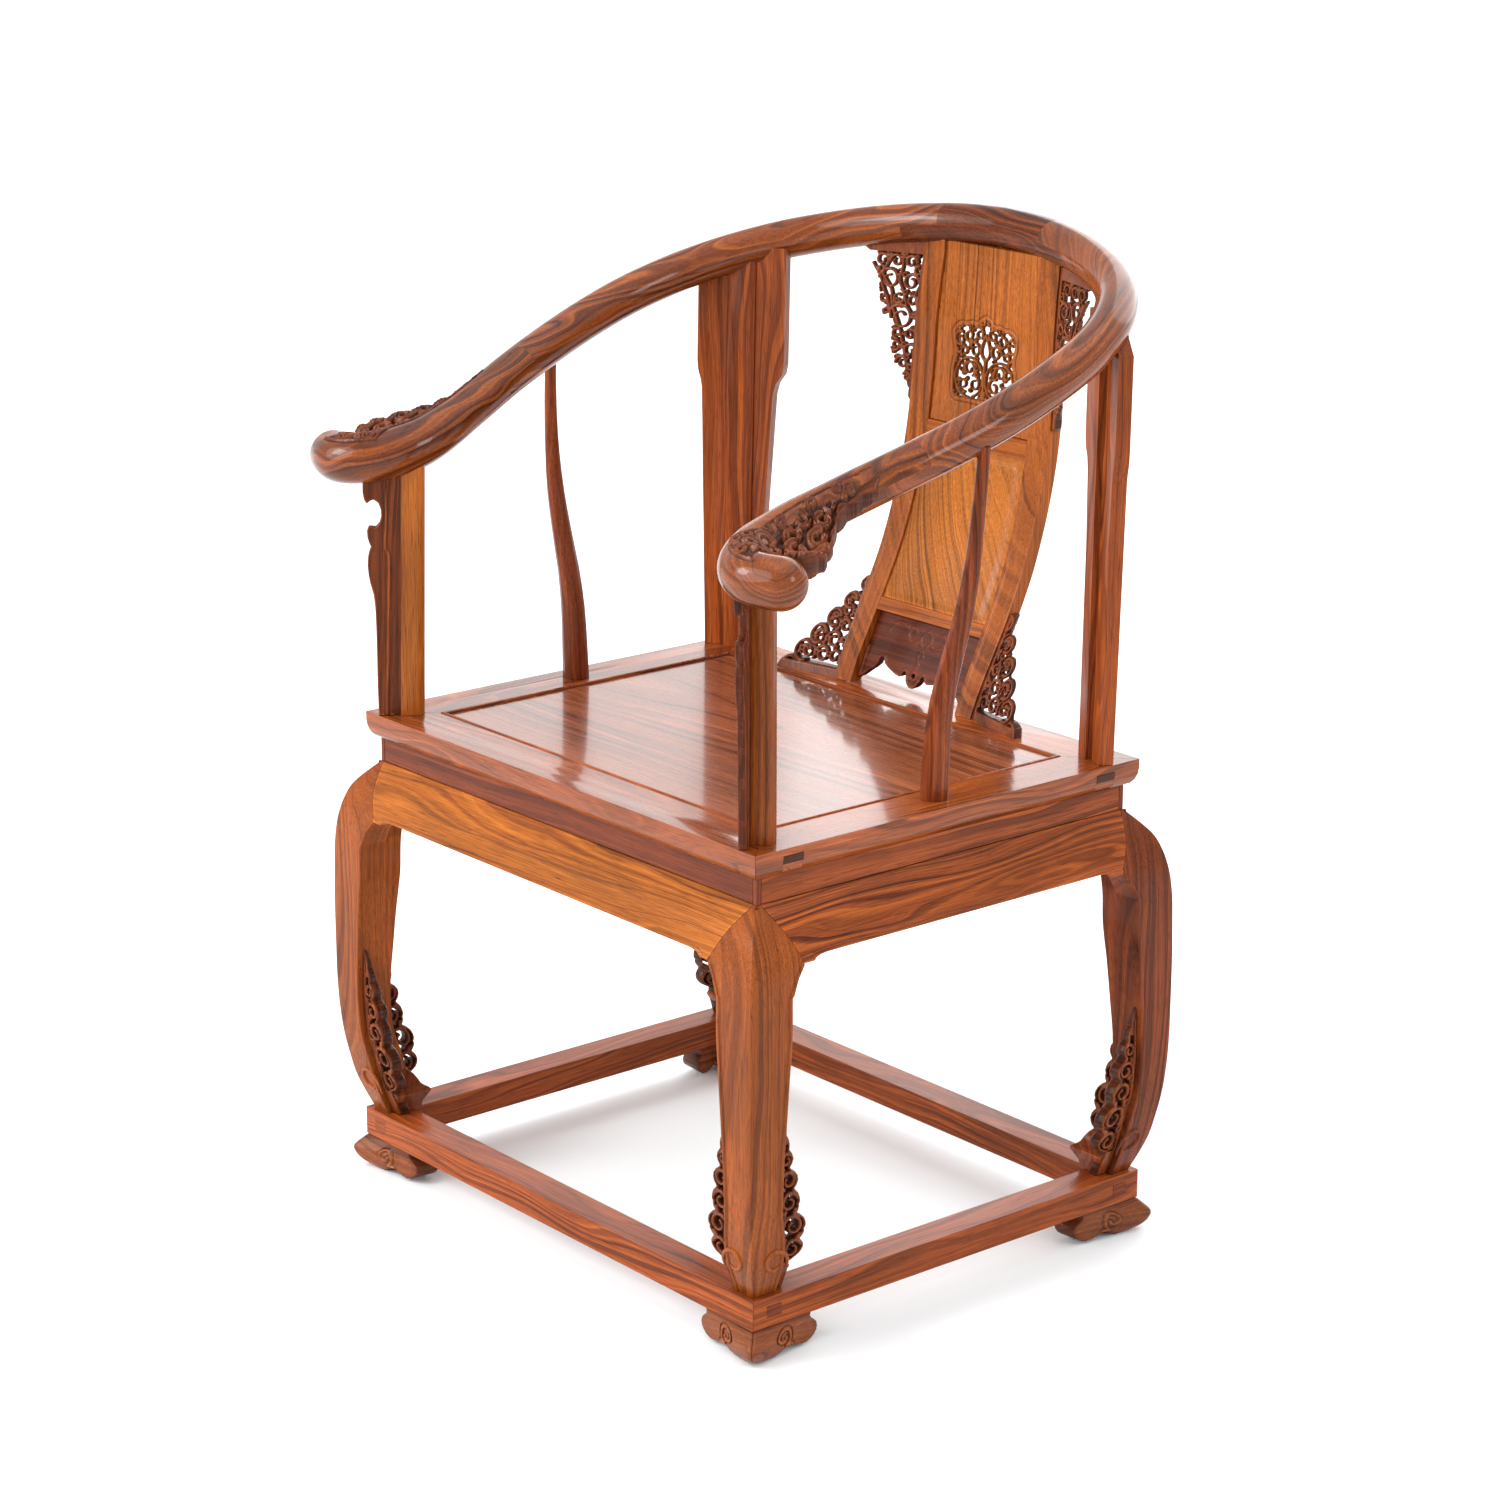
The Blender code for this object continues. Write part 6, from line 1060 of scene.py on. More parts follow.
def arm_carving_board():
    """Curled leaves over each other inside the bend, a lip along the bar and ribs along the outer edge."""
    board = new_board((ARM_NEAR_X, 0), (ARM_FAR_X, ARM_BEND), COARSE_STEP)
    away, _, radius = along_arm(board[0], board[1])
    beside = np.interp(ARM_BACK_Y - board[1], outer_arm[:, 1], outer_arm[:, 0])
    waves = np.abs(np.sin(board[1] / ARM_RIB_PITCH))
    wide = ARM_CARVING_WIDTH * eased(board[1] / ARM_LONG, arm_lengths, arm_widths)
    reach = beside + RAIL_RADIUS + wide - ARM_RIB_DEPTH * (1 - waves) - board[0]
    tip = np.hypot(board[0] - rail_path[-1, 0], ARM_BACK_Y - board[1] - rail_path[-1, 1])
    lapped = away - radius * lap_share(board[1])
    rim = np.minimum(np.minimum(reach, lapped), np.minimum(board[1], tip - HOOK_CLEAR * HOOK_RADIUS))
    for x, forward, r, start, turns, half in ARM_LEAVES:
        leaf = scroll(x, forward, r, start, turns, 0.6)
        carve_stroke(board, leaf, half, taper=0.45, knob=1.5, gouge=0.5, over=True)
    ribs = np.clip(1 - reach / ARM_RIBS, 0, 1) * (reach > 0)
    board[3][:] = np.maximum(board[3] * (1 - 0.8 * ribs), ribs * (0.45 + 0.5 * waves))
    lip = np.clip(1 - np.abs(lapped - ARM_LIP) / ARM_LIP, 0, 1)
    board[3][:] = np.maximum(board[3], 0.9 * lip)
    for x, forward, r in ARM_HOLES:
        rim = np.minimum(rim, np.hypot(board[0] - x, board[1] - forward) - r)
    board[2][:] = rim
    return board


def arm_place(falls_by):
    """Sets the arm board level beside the rail, its face rising to lap over the top of the bar."""
    def place(across, forward, depth):
        y = ARM_BACK_Y - forward
        away, over, radius = along_arm(across, forward)
        level = np.interp(y, outer_arm[:, 1], outer_arm[:, 2])
        half = ARM_CARVING_THICKNESS / 2 * eased(forward / ARM_LONG, arm_lengths, arm_thicknesses)
        lapped = over + np.sqrt(np.maximum(radius ** 2 - away ** 2, 0.0))
        fall = falls_by * np.clip((away - 0.7 * radius) / ARM_FALL_REACH, 0, 1) ** 1.5
        top = np.maximum(level + half - fall, lapped) + ARM_PROUD
        low = np.where(away > radius, level - half, top - ARM_LAP_THICKNESS)
        shallow = 1 - (1 - ARM_LAP_RELIEF) * np.clip((1.08 * radius - away) / 0.003, 0, 1)
        sunk = depth * np.where(depth < 0.5 * ARM_CARVING_THICKNESS, shallow, (top - low) / ARM_CARVING_THICKNESS)
        return np.stack([across, y, top - sunk], axis=-1)
    return place


board = arm_carving_board()
for sign, side in ((1, "right"), (-1, "left")):
    mesh = carved_mesh("look_arm_carving_" + side, board, ARM_CARVING_THICKNESS, ARM_RELIEF,
                       arm_place(ARM_FALLS[side]), ALONG_Y, (0.05, 0.04, 7.0 + sign), sign)
    finish_piece(mesh, carved_wood, ["arm_carving_" + side])

# Boards behind the legs
# Thick pierced boards of stacked scrolls in the angle between each leg and the base, one along each
# rail and both on one shaped block, cut to the leg's curve, with a scalloped free edge.
CARVING_REACH, CARVING_HEIGHT, CARVING_THICKNESS, CARVING_SETBACK = 0.043, 0.185, 0.014, 0.006
CARVING_SLIM_START, CARVING_SLIM, LEG_SCROLL_HALF, CARVING_ROUNDING = 0.72, 0.75, 0.0024, 0.0014
CARVING_RELIEF, CARVING_RIM, CARVING_EDGE, CARVING_BASE_SHARE = 0.0028, 0.0028, 0.0022, 0.16
LEG_BOARD_SHARES = (
    (0.0, 0.0), (0.30, 0.0), (0.34, 0.10), (0.30, 0.155), (0.42, 0.168), (0.56, 0.185), (0.64, 0.205),
    (0.68, 0.225), (0.67, 0.25), (0.62, 0.268), (0.56, 0.28), (0.64, 0.298), (0.70, 0.318), (0.69, 0.333),
    (0.74, 0.35), (0.75, 0.375), (0.72, 0.402), (0.63, 0.428), (0.52, 0.445), (0.57, 0.46), (0.60, 0.478),
    (0.59, 0.49), (0.63, 0.507), (0.62, 0.53), (0.58, 0.556), (0.51, 0.575), (0.45, 0.588), (0.51, 0.605),
    (0.54, 0.618), (0.56, 0.635), (0.54, 0.662), (0.46, 0.685), (0.37, 0.70), (0.31, 0.715), (0.37, 0.735),
    (0.40, 0.76), (0.35, 0.79), (0.26, 0.815), (0.27, 0.84), (0.23, 0.87), (0.15, 0.90), (0.15, 0.925),
    (0.09, 0.965), (0.03, 1.0), (0.0, 1.0))
LEG_SCROLL_SHARES = (
    (0.36, 0.228, 0.26, 0.05, 1.4), (0.39, 0.368, 0.31, 0.55, -1.5), (0.32, 0.513, 0.26, 0.05, 1.4),
    (0.28, 0.640, 0.25, 0.55, -1.4), (0.20, 0.757, 0.18, 0.05, 1.3), (0.09, 0.860, 0.10, 0.5, -1.2),
    (0.10, 0.296, 0.13, 0.2, 1.2), (0.10, 0.440, 0.12, 0.5, -1.2), (0.08, 0.580, 0.10, 0.1, 1.1),
    (0.06, 0.695, 0.08, 0.5, -1.1), (0.60, 0.286, 0.09, 0.3, 1.0), (0.52, 0.447, 0.08, 0.7, -1.0))
LEG_BLOCK_LEVELS = (
    0.0, 0.008, 0.015, 0.0205, 0.0225, 0.0245, 0.0262, 0.0285, 0.034, 0.039, 0.044, 0.048, 0.0505)
LEG_BLOCK_REACHES = (
    0.036, 0.040, 0.0465, 0.0515, 0.0525, 0.0515, 0.0485, 0.0470, 0.0462, 0.0445, 0.0410, 0.0355, 0.0285)
LEG_BLOCK_START = 0.0085
board = new_board((0, 0), (CARVING_REACH, CARVING_HEIGHT), COARSE_STEP)
rim = inside_outline(board, np.array(LEG_BOARD_SHARES) * (CARVING_REACH, CARVING_HEIGHT))
carve_scrolls(board, LEG_SCROLL_SHARES, CARVING_REACH, CARVING_HEIGHT, LEG_SCROLL_HALF, 2)
for solid in (CARVING_RIM - rim, CARVING_EDGE - board[0], CARVING_BASE_SHARE * CARVING_HEIGHT - board[1]):
    carve_flat(board, np.minimum(solid, rim), CARVING_ROUNDING)
board[2][:] = np.minimum(board[2], rim)
foot = LEG_FOOT + JOINT_GAP


def behind_leg(sx, sy, flank):
    """Sets the board behind a leg, along the front or back face or along the side; it slims towards its tip."""
    def place(across, height, depth):
        z = foot + height
        slimmed = np.clip((height / CARVING_HEIGHT - CARVING_SLIM_START) / (1 - CARVING_SLIM_START), 0, 1)
        ways = [leg_width_at(z) + JOINT_GAP + across, CARVING_SETBACK + depth * (1 - CARVING_SLIM * slimmed)]
        aside, deep = ways[::-1] if flank else ways
        return corner_place(sx, sy, bulge_at(z), aside, deep, z) - np.array((0, SEAT_MIDDLE, 0))
    return place


level, far = foot + np.array(LEG_BLOCK_LEVELS)[:, None], np.array(LEG_BLOCK_REACHES)[:, None]
near = np.full(level.shape, LEG_BLOCK_START)
aside, deep = np.concatenate([near, far, far, near], axis=1), np.concatenate([near, near, far, far], axis=1)
for count, (name, sx, sy) in enumerate(CORNERS):
    block = corner_place(sx, sy, bulge_at(level), aside, deep, level)
    mesh = skin("look_leg_block_" + name, block, UPRIGHT, (0.06, 0.05, 0.7 * count))
    finish_piece(mesh, carved_wood, ["leg_carving_" + name], SOFT_ARRIS)
    for flank, label in enumerate(("front", "flank")):
        mesh = carved_mesh("look_leg_board_%s_%s" % (name, label), board, CARVING_THICKNESS, CARVING_RELIEF,
                           behind_leg(sx, sy, flank), UPRIGHT, (0.04, 0.05, 1.9 * count))
        finish_piece(mesh, carved_wood, ["leg_carving_" + name])

# Scrolls at the leg feet
# A small curl left standing on each outer face of a leg just above the base, and worked with the leg.
CURL_ASIDE, CURL_HEIGHT, CURL_RADIUS, CURL_LINE = 0.0275, 0.1025, 0.0168, 0.0023


def raised_line(name, path, outward, radius, wood, node):
    """A round line half sunk in a face: rings of points round a path, squashed towards its ends."""
    heading = np.gradient(path, axis=0)
    side = np.cross(heading, outward)
    side /= np.linalg.norm(side, axis=1)[:, None]
    t = np.linspace(0, 1, len(path))
    size = radius * np.sqrt(np.clip(6 * t * (1 - t), 0.05, 1))[:, None, None]
    turn = np.linspace(0, 2 * math.pi, 11)[:-1][None, :, None]
    rings = path[:, None, :] + size * (np.cos(turn) * side[:, None, :] + np.sin(turn) * np.array(outward, float))
    finish_piece(skin(name, rings, UPRIGHT, (0.05, 0.07, 0.8)), wood, [node])


curl = scroll(CURL_ASIDE, CURL_HEIGHT, CURL_RADIUS, -0.12, 1.0, 0.58, 40)
aside, height = curl.T
for name, sx, sy in CORNERS:
    for face, outward, ways in (("_a", (0, sy, 0), (aside, 0.0)), ("_b", (sx, 0, 0), (0.0, aside))):
        path = corner_place(sx, sy, bulge_at(height), *ways, height)
        raised_line("look_leg_curl_" + name + face, path, outward, CURL_LINE,
                    umber if name == "back_right" else amber, "leg_" + name)

# Feet
# Low cloud shaped blocks under the corners of the base, flared at the corner, with two ears that rise
# clear of the floor; each ear is one arm of the block and has a curl cut on its face.
FOOT_REACH, FOOT_ARM, FOOT_FLARE, FOOT_TOP, BASE_OVERHANG, FOOT_ROUND = 0.085, 0.030, 0.015, 0.0348, 0.008, 0.016
FOOT_FACE, FOOT_BELLY, FOOT_RELIEF, FOOT_SINK, FOOT_LINE_HALF = 0.25, 0.35, 0.0034, 0.0004, 0.0018
EAR_CURL_AT, EAR_CURL_RADIUS, EAR_CURL_TAIL = (0.0425, 0.0195), 0.0104, ((0.0520, 0.0060), (0.0528, 0.0095))
FOOT_LEVEL_SHARES = (0.0, 0.08, 0.17, 0.27, 0.42, 0.58, 0.80, 1.0)
FOOT_FLARE_SHARES = (0.0, 0.30, 0.65, 0.85, 1.0, 1.0, 0.55, 0.10)
FOOT_PLAN_ALONG, FOOT_PLAN_FLARE = (0.0, 0.28, 0.62, 1.0), (1.0, 0.60, 0.12, -0.20)
FOOT_EDGE_SHARES = (
    (-0.03, -0.10), (0.26, -0.10), (0.33, 0.02), (0.42, 0.09), (0.50, 0.17), (0.56, 0.235), (0.605, 0.26),
    (0.635, 0.22), (0.67, 0.15), (0.74, 0.10), (0.82, 0.10), (0.89, 0.145), (0.95, 0.23), (0.985, 0.33),
    (1.0, 0.44), (0.99, 0.56), (0.95, 0.67), (0.90, 0.76), (0.875, 0.85), (0.88, 1.1), (-0.03, 1.1))
foot_wood = rosewood("wood_foot", (0.36, 0.100, 0.027), (0.24, 0.060, 0.018), (0.09, 0.022, 0.008),
                     ring=180.0, contrast=0.7, roughness=0.32, coat=0.25, figure=1.2)
board = new_board((0, 0), (FOOT_REACH, FOOT_TOP), COARSE_STEP)
rim = inside_outline(board, np.array(FOOT_EDGE_SHARES) * (FOOT_REACH, FOOT_TOP))
belly = np.clip((FOOT_TOP - board[1]) / 0.010, 0, 1) * np.clip(rim / 0.006, 0, 1)
# Relief of the foot's face; its lower parts are also painted darker as shade through the depth of the ground.
board[3][:] = FOOT_FACE + FOOT_BELLY * np.sqrt(belly)
ear_curl = scroll(*EAR_CURL_AT, EAR_CURL_RADIUS, -0.20, 1.15, 0.62, 30)
ear_line = np.concatenate([EAR_CURL_TAIL, ear_curl])
carve_stroke(board, ear_line, FOOT_LINE_HALF, taper=0.9, over=True)
board[3][:] = np.where(rim < 0, FOOT_FACE, board[3])
board[2][:] = np.minimum(np.minimum(rim, board[0] + FOOT_SINK),
                         np.minimum(board[1] + FOOT_SINK, FOOT_TOP - board[1]))


def foot_arm(sx, sy, flank):
    """Sets an arm of a foot under the base: it flares towards the corner, where both arms meet in a round."""
    def place(across, height, depth):
        swell = FOOT_FLARE * eased(height / FOOT_TOP, FOOT_LEVEL_SHARES, FOOT_FLARE_SHARES)
        start = depth - swell
        round_by = FOOT_ROUND * (1 - 0.8 * height / FOOT_TOP)
        turn = math.pi / 4 * np.clip(1 - across / round_by, 0, 1)
        bent = np.where(across < round_by, round_by * (1 - np.sin(turn)), across)
        along = bent * (1 - start / FOOT_REACH) + start
        flared = swell * eased(bent / FOOT_REACH, FOOT_PLAN_ALONG, FOOT_PLAN_FLARE)
        inward = depth - flared + round_by * (1 - np.cos(turn))
        x, y = (inward, along) if flank else (along, inward)
        return np.stack([sx * (SEAT_HALF_WIDTH + BASE_OVERHANG - x),
                         sy * (SEAT_HALF_DEPTH + BASE_OVERHANG - y), height], axis=-1)
    return place


for count, (name, sx, sy) in enumerate(CORNERS):
    for flank, (label, along) in enumerate((("front", ALONG_X), ("flank", ALONG_Y))):
        mesh = carved_mesh("look_foot_%s_%s" % (name, label), board, FOOT_ARM, FOOT_RELIEF,
                           foot_arm(sx, sy, flank), along, (0.05, 0.03, 2.0 + 1.1 * count), flat_back=True)
        finish_piece(mesh, foot_wood, ["foot_" + name])

# Ridge of the seat
# A low ridge scraped on the four rails of the seat frame, round the opening for the panel.
RIDGE_WIDTH, RIDGE_HEIGHT, RIDGE_SINK = 0.0040, 0.0013, 0.0004
opening = (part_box("seat_rail_right")[0].x, SEAT_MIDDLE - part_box("seat_rail_front")[1].y)
arc = np.linspace(0, math.pi, 9)
outward = RIDGE_WIDTH * np.concatenate([0.65 + 0.5 * np.cos(arc), (0.15, 1.15)])
height = SEAT_HEIGHT + np.concatenate([RIDGE_HEIGHT * np.sin(arc), (-RIDGE_SINK, -RIDGE_SINK)])
mitres = np.array([(-1, -1), (1, -1), (1, 1), (-1, 1)], float)
x = mitres[:, 0:1] * (opening[0] + outward)
y = mitres[:, 1:2] * (opening[1] + outward) + SEAT_MIDDLE
points = np.stack([x, y, np.broadcast_to(height, x.shape)], axis=-1).reshape(-1, 3)
index = np.arange(x.size).reshape(x.shape)
after, beside = np.roll(index, -1, axis=0), np.roll(index, -1, axis=1)
quads = np.stack([index, after, np.roll(after, -1, axis=1), beside], axis=-1).reshape(-1, 4)
mesh = build_mesh("look_seat_ridge", points, quads, [], board_grain(points, ALONG_X, (0.05, 0.06, 0.3)))
finish_piece(mesh, russet,
             ["seat_rail_front", "seat_rail_back", "seat_rail_left", "seat_rail_right"])

# Tenon ends and waist corners
# The tenons of the front and back rails, of the seat frame and of the base, run right through the side
# rails: their dark end grain shows as small flush rectangles near the corners, and a slip of wood closes
# the moulding below those of the seat. At each corner of the waist a dark strip over the leg's stub gives
# its darker wood and painted shade in the set-back corner under the seat.
TENON_PROUD, TENON_DEEP, TENON_ARRIS = 0.00025, 0.0012, 0.0001
SEAT_TENON_IN, SEAT_TENON_LONG, BASE_TENON_IN, BASE_TENON_LONG = 0.0465, 0.0245, 0.026, 0.0180
END_DOWN, END_TALL, SLIP_DOWN, SLIP_TALL, BASE_TENON_TALL = 0.0112, 0.0076, 0.0187, 0.0074, 0.0120
WAIST_STRIP, STRIP_PROUD, STRIP_ARRIS = 0.0052, 0.0002, 0.0003
EDGE_FALLS, EDGE_DRAWS = (0.0, 0.0080, 0.0152, 0.0213, 0.0226), (0.0, 0.0, 0.0008, 0.0029, 0.0040)
end_grain = rosewood("wood_end_grain", (0.075, 0.020, 0.009), (0.045, 0.012, 0.007), (0.015, 0.006, 0.004),
                     ring=520.0, contrast=0.6)
base_low, base_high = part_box("base_rail_right")
waist_low, waist_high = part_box("waist_right")
waist_half = (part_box("waist_back")[1].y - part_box("waist_front")[0].y) / 2
seat_tenon = (SEAT_HALF_DEPTH - SEAT_TENON_IN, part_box("seat_rail_right")[1].x, 1.0, SEAT_TENON_LONG,
              "seat_frame_wood", "seat_rail_front")
base_tenon = (SEAT_HALF_DEPTH + BASE_OVERHANG - BASE_TENON_IN, base_high.x, 0.0, BASE_TENON_LONG,
              "base_wood", "base_rail_front")
tenon_slabs = (("look_tenon_end_", end_grain, SEAT_HEIGHT - END_DOWN, END_TALL, seat_tenon),
               ("look_tenon_slip_", frame_wood, SEAT_HEIGHT - SLIP_DOWN, SLIP_TALL, seat_tenon),
               ("look_base_tenon_", umber, (base_low.z + base_high.z) / 2, BASE_TENON_TALL, base_tenon))
square = np.array([(-1, -1), (1, -1), (1, 1), (-1, 1)]).T / 2
for count, (name, sx, sy) in enumerate(CORNERS):
    for piece, wood, level, tall, (from_middle, face, drawn, long, slot, node) in tenon_slabs:
        y, z = SEAT_MIDDLE + sy * from_middle + square[0] * long, level + square[1] * tall
        edge = face - drawn * np.interp(SEAT_HEIGHT - z, EDGE_FALLS, EDGE_DRAWS)
        rings = np.stack([np.stack([sx * (edge + by), y, z], axis=-1) for by in (-TENON_DEEP, TENON_PROUD)])
        finish_piece(skin(piece + name, rings, ALONG_Y, (0.02, 0.03, 0.4 * count)), wood, [node], TENON_ARRIS)
    # Partly painted shade: a dark strip laid over each leg's stub in the set-back corner of the waist.
    x, y = (way * (half + STRIP_PROUD - WAIST_STRIP / 2) + square[k] * WAIST_STRIP
            for k, way, half in ((0, sx, waist_high.x), (1, sy, waist_half)))
    rings = np.stack([np.stack([x, y + SEAT_MIDDLE, np.full(4, z)], axis=-1) for z in (waist_low.z, waist_high.z)])
    mesh = skin("look_waist_corner_dark_wood_and_shade_" + name, rings, UPRIGHT, (0.02, 0.03, 0.5 * count))
    finish_piece(mesh, umber, ["leg_" + name], STRIP_ARRIS)

# Front posts and their brackets
# Posts of soft square section, turned to face the hooks, that stand in the front corners of the seat
# frame and carry the arms. A thin fretted board with a raised edge is grooved into the front of each.
FRONT_POST_X, FRONT_POST_Y, FRONT_POST_HALF, FRONT_POST_TALL = 0.2816, -0.2569, 0.0140, 0.272
FRONT_POST_LEAN, FRONT_POST_TURN, POST_ROUNDNESS = (-0.005, 0.004), math.radians(36), 3.4
BRACKET_WIDTH, BRACKET_TALL, BRACKET_THICK, BRACKET_ASIDE = 0.0357, 0.262, 0.0085, 0.0133
BRACKET_EDGE, BRACKET_RELIEF, BRACKET_RIDGE, BRACKET_TONGUE = 0.0011, 0.0016, 0.0014, 0.0045
BRACKET_FACE = 0.35
BRACKET_OUTLINE_SHARES = (
    (-0.12, 0.0), (0.53, 0.0), (0.56, 0.12), (0.585, 0.30), (0.61, 0.41), (0.63, 0.45), (0.67, 0.49),
    (0.76, 0.535), (0.81, 0.57), (0.835, 0.605), (0.825, 0.64), (0.78, 0.667), (0.735, 0.68), (0.79, 0.697),
    (0.84, 0.72), (0.85, 0.745), (0.80, 0.762), (0.72, 0.762), (0.60, 0.760), (0.50, 0.775), (0.445, 0.80),
    (0.455, 0.828), (0.53, 0.855), (0.66, 0.868), (0.75, 0.864), (0.86, 0.852), (0.93, 0.868), (0.97, 0.895),
    (0.975, 0.925), (0.945, 0.955), (0.90, 0.972), (0.93, 0.985), (0.97, 1.0), (-0.12, 1.0))
BRACKET_RIDGE_SHARES = ((0.28, -0.02), (0.25, 0.35), (0.22, 0.62), (0.33, 0.685), (0.30, 0.80), (0.38, 1.02))


def beside_post(ahead, aside, share):
    """Plan of a place beside the right front post, ahead of its turned axis and out to its outer side."""
    lean_x, lean_y = FRONT_POST_LEAN
    x = FRONT_POST_X + lean_x * share + math.sin(FRONT_POST_TURN) * ahead + math.cos(FRONT_POST_TURN) * aside
    y = FRONT_POST_Y + lean_y * share - math.cos(FRONT_POST_TURN) * ahead + math.sin(FRONT_POST_TURN) * aside
    return x, y


def bracket_place(along, height, depth):
    """Sets the bracket's board upright on the seat frame, out along the way its post is turned."""
    x, y = beside_post(FRONT_POST_HALF + JOINT_GAP + along, depth - BRACKET_ASIDE, height / FRONT_POST_TALL)
    return np.stack([x, y - SEAT_MIDDLE, SEAT_HEIGHT + JOINT_GAP + height], axis=-1)


def soft_square(half, roundness, points=48):
    """A square with its sides bowed and its corners eased, from a power law between square and circle."""
    turn = np.linspace(0, 2 * math.pi, points + 1)[:-1]
    return [half * np.sign(v) * np.abs(v) ** (2 / roundness) for v in (np.cos(turn), np.sin(turn))]


board = new_board((-BRACKET_TONGUE, 0), (BRACKET_WIDTH, BRACKET_TALL), COARSE_STEP)
rim = inside_outline(board, np.array(BRACKET_OUTLINE_SHARES) * (BRACKET_WIDTH, BRACKET_TALL))
to_edge = np.where(board[0] < 2 * BRACKET_EDGE, 1.0, rim)
edge_line = np.clip(1 - np.abs(to_edge - BRACKET_EDGE) / BRACKET_EDGE, 0, 1)
# The face lies low and the raised edge high; the low face is also painted darker as shade.
board[3][:] = BRACKET_FACE + (1 - BRACKET_FACE) * edge_line
ridge_line = through_points(np.array(BRACKET_RIDGE_SHARES) * (BRACKET_WIDTH, BRACKET_TALL), 8)
carve_stroke(board, ridge_line, BRACKET_RIDGE, taper=1.0, crown=0.9, over=True)
board[2][:] = rim
aside, ahead = soft_square(FRONT_POST_HALF, POST_ROUNDNESS)
share = np.linspace(0, 1, 9)[:, None]
x, y = beside_post(ahead, aside, share)
height = np.broadcast_to(SEAT_HEIGHT + JOINT_GAP + FRONT_POST_TALL * share, x.shape)
for count, (sign, side, wood, fret_wood) in enumerate(((1, "right", amber, dusky), (-1, "left", tawny, russet))):
    mesh = carved_mesh("look_front_bracket_" + side, board, BRACKET_THICK, BRACKET_RELIEF, bracket_place, UPRIGHT,
                       (0.05, 0.04, 2.6 + count), sign)
    finish_piece(mesh, fret_wood, ["front_bracket_" + side])
    post = np.stack([sign * x, y, height], axis=-1)
    mesh = skin("look_front_post_" + side, post, UPRIGHT, (0.030, 0.040, 0.3 + count))
    finish_piece(mesh, wood, ["front_post_" + side])

# Side posts
# Slender round bars half way along the arms, bent outwards like a bow and thinned towards the rail,
# each shaved from one piece and set in round holes in the seat frame and the rail.
for count, side in enumerate(("right", "left")):
    dress("side_post_" + side, dusky, UPRIGHT, (0.074, 0.040 + 0.02 * count, 5.2 + 1.3 * count))

# Rear posts
# Square posts that stand in the back corners of the seat frame, each with two thin shaped boards
# grooved into it along its height, which widen under the rail and stop short of the seat.
REAR_ARRIS = 0.003
for count, side in enumerate(("right", "left")):
    for part, aside, through, start, arris in (("post_", 0.030, 0.060, 7.8, REAR_ARRIS),
                                               ("flange_outer_", 0.045, 0.050, 1.1, SOFT_ARRIS),
                                               ("flange_inner_", 0.060, 0.050, 2.7, SOFT_ARRIS)):
        dress("rear_" + part + side, russet, UPRIGHT, (aside, through, start + 1.3 * count), arris)

# Camera
# The photo was taken from the front right, above the arms, with a long lens.
CAMERA_AT = Vector((2.87545, -2.42058, 1.58707))
CAMERA_RIGHT = Vector((0.63798, 0.77005, 0.00158))
CAMERA_UP = Vector((-0.21878, 0.17929, 0.95916))
CAMERA_LENS, CAMERA_SENSOR = 92.06, 36.0
lens = bpy.data.cameras.new("photo_camera")
lens.lens = CAMERA_LENS
lens.sensor_width = CAMERA_SENSOR
camera = bpy.data.objects.new("photo_camera", lens)
bpy.context.scene.collection.objects.link(camera)
turned = Matrix((CAMERA_RIGHT, CAMERA_UP, CAMERA_RIGHT.cross(CAMERA_UP))).transposed()
camera.matrix_world = Matrix.Translation(CAMERA_AT) @ turned.to_4x4()
bpy.context.scene.camera = camera

# Floor
# A plain pale floor that carries the soft shadow of the chair.
FLOOR_HALF = 20.0
paint = bpy.data.materials.new("floor_paint")
paint.use_nodes = True
paint.node_tree.nodes["Principled BSDF"].inputs["Base Color"].default_value = (0.91, 0.955, 0.97, 1.0)
paint.node_tree.nodes["Principled BSDF"].inputs["Roughness"].default_value = 0.7
sheet = bpy.data.meshes.new("floor")
floor_corners = [(x * FLOOR_HALF, y * FLOOR_HALF, 0.0) for x, y in ((-1, -1), (1, -1), (1, 1), (-1, 1))]
sheet.from_pydata(floor_corners, [], [(0, 1, 2, 3)])
sheet.materials.append(paint)
floor = bpy.data.objects.new("floor", sheet)
bpy.context.scene.collection.objects.link(floor)

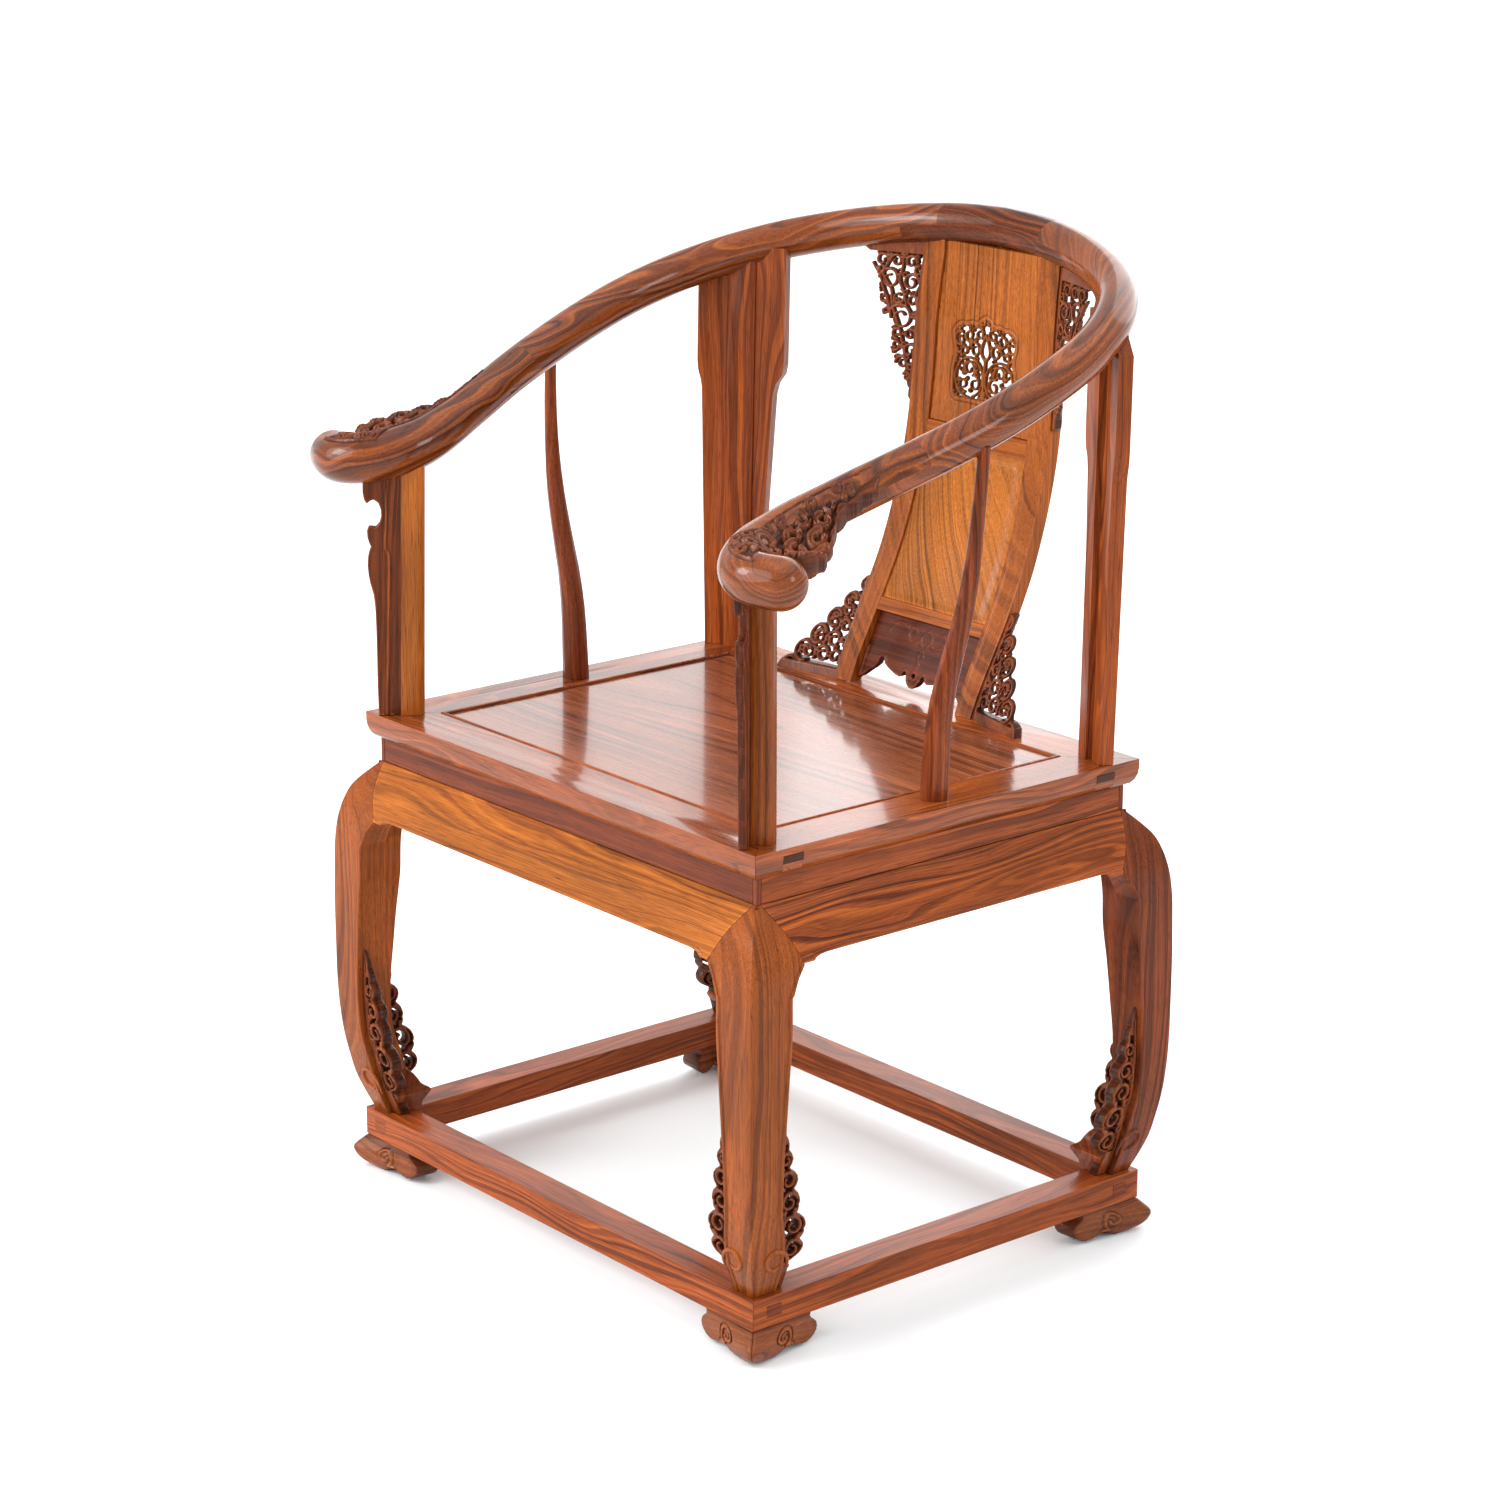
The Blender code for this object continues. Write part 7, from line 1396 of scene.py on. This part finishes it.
# Light
# Soft studio light from the left of the camera and from overhead, weaker ones from the right and from
# behind, and a white room all round. Three soft boxes give the polished wood something to mirror.
CHAIR_MIDDLE = (0.0, 0.0, 0.5)
for name, kind, place, power, spread in (
        ("key_sun", "SUN", (-1.4, -3.2, 2.2), 2.0, math.radians(50)),
        ("top_sun", "SUN", (0.4, 0.6, 4.0), 0.8, math.radians(70)),
        ("back_sun", "SUN", (-1.4, 3.2, 1.8), 1.1, math.radians(50)),
        ("left_box", "AREA", (-1.6, -3.0, 2.6), 45.0, 1.2),
        ("right_box", "AREA", (3.4, 0.6, 2.2), 22.0, 1.0),
        ("far_box", "AREA", (-2.2, 1.7, 1.42), 4.6, 1.1)):
    light = bpy.data.lights.new(name, kind)
    light.energy = power
    setattr(light, "angle" if kind == "SUN" else "size", spread)
    lamp = bpy.data.objects.new(name, light)
    bpy.context.scene.collection.objects.link(lamp)
    lamp.location = place
    lamp.rotation_euler = (Vector(place) - Vector(CHAIR_MIDDLE)).to_track_quat("Z", "Y").to_euler()

# Room
# A white room seen by the camera and in the polish at full strength, which also lights the chair.
ROOM_LEVEL, BACKGROUND_LEVEL = 1.0, 1.0
world = bpy.data.worlds.new("studio")
bpy.context.scene.world = world
world.use_nodes = True
tree = world.node_tree
paths = tree.nodes.new("ShaderNodeLightPath")
seen = paths.outputs["Is Camera Ray"]
for ray in ("Is Glossy Ray", "Is Transmission Ray"):
    either = tree.nodes.new("ShaderNodeMath")
    either.operation = "MAXIMUM"
    tree.links.new(seen, either.inputs[0])
    tree.links.new(paths.outputs[ray], either.inputs[1])
    seen = either.outputs[0]
strength = tree.nodes.new("ShaderNodeMapRange")
strength.inputs["To Min"].default_value = ROOM_LEVEL
strength.inputs["To Max"].default_value = BACKGROUND_LEVEL
tree.links.new(seen, strength.inputs["Value"])
tree.nodes["Background"].inputs["Color"].default_value = (1.0, 1.0, 1.0, 1.0)
tree.links.new(strength.outputs[0], tree.nodes["Background"].inputs["Strength"])
bpy.context.scene.view_settings.view_transform = "Standard"
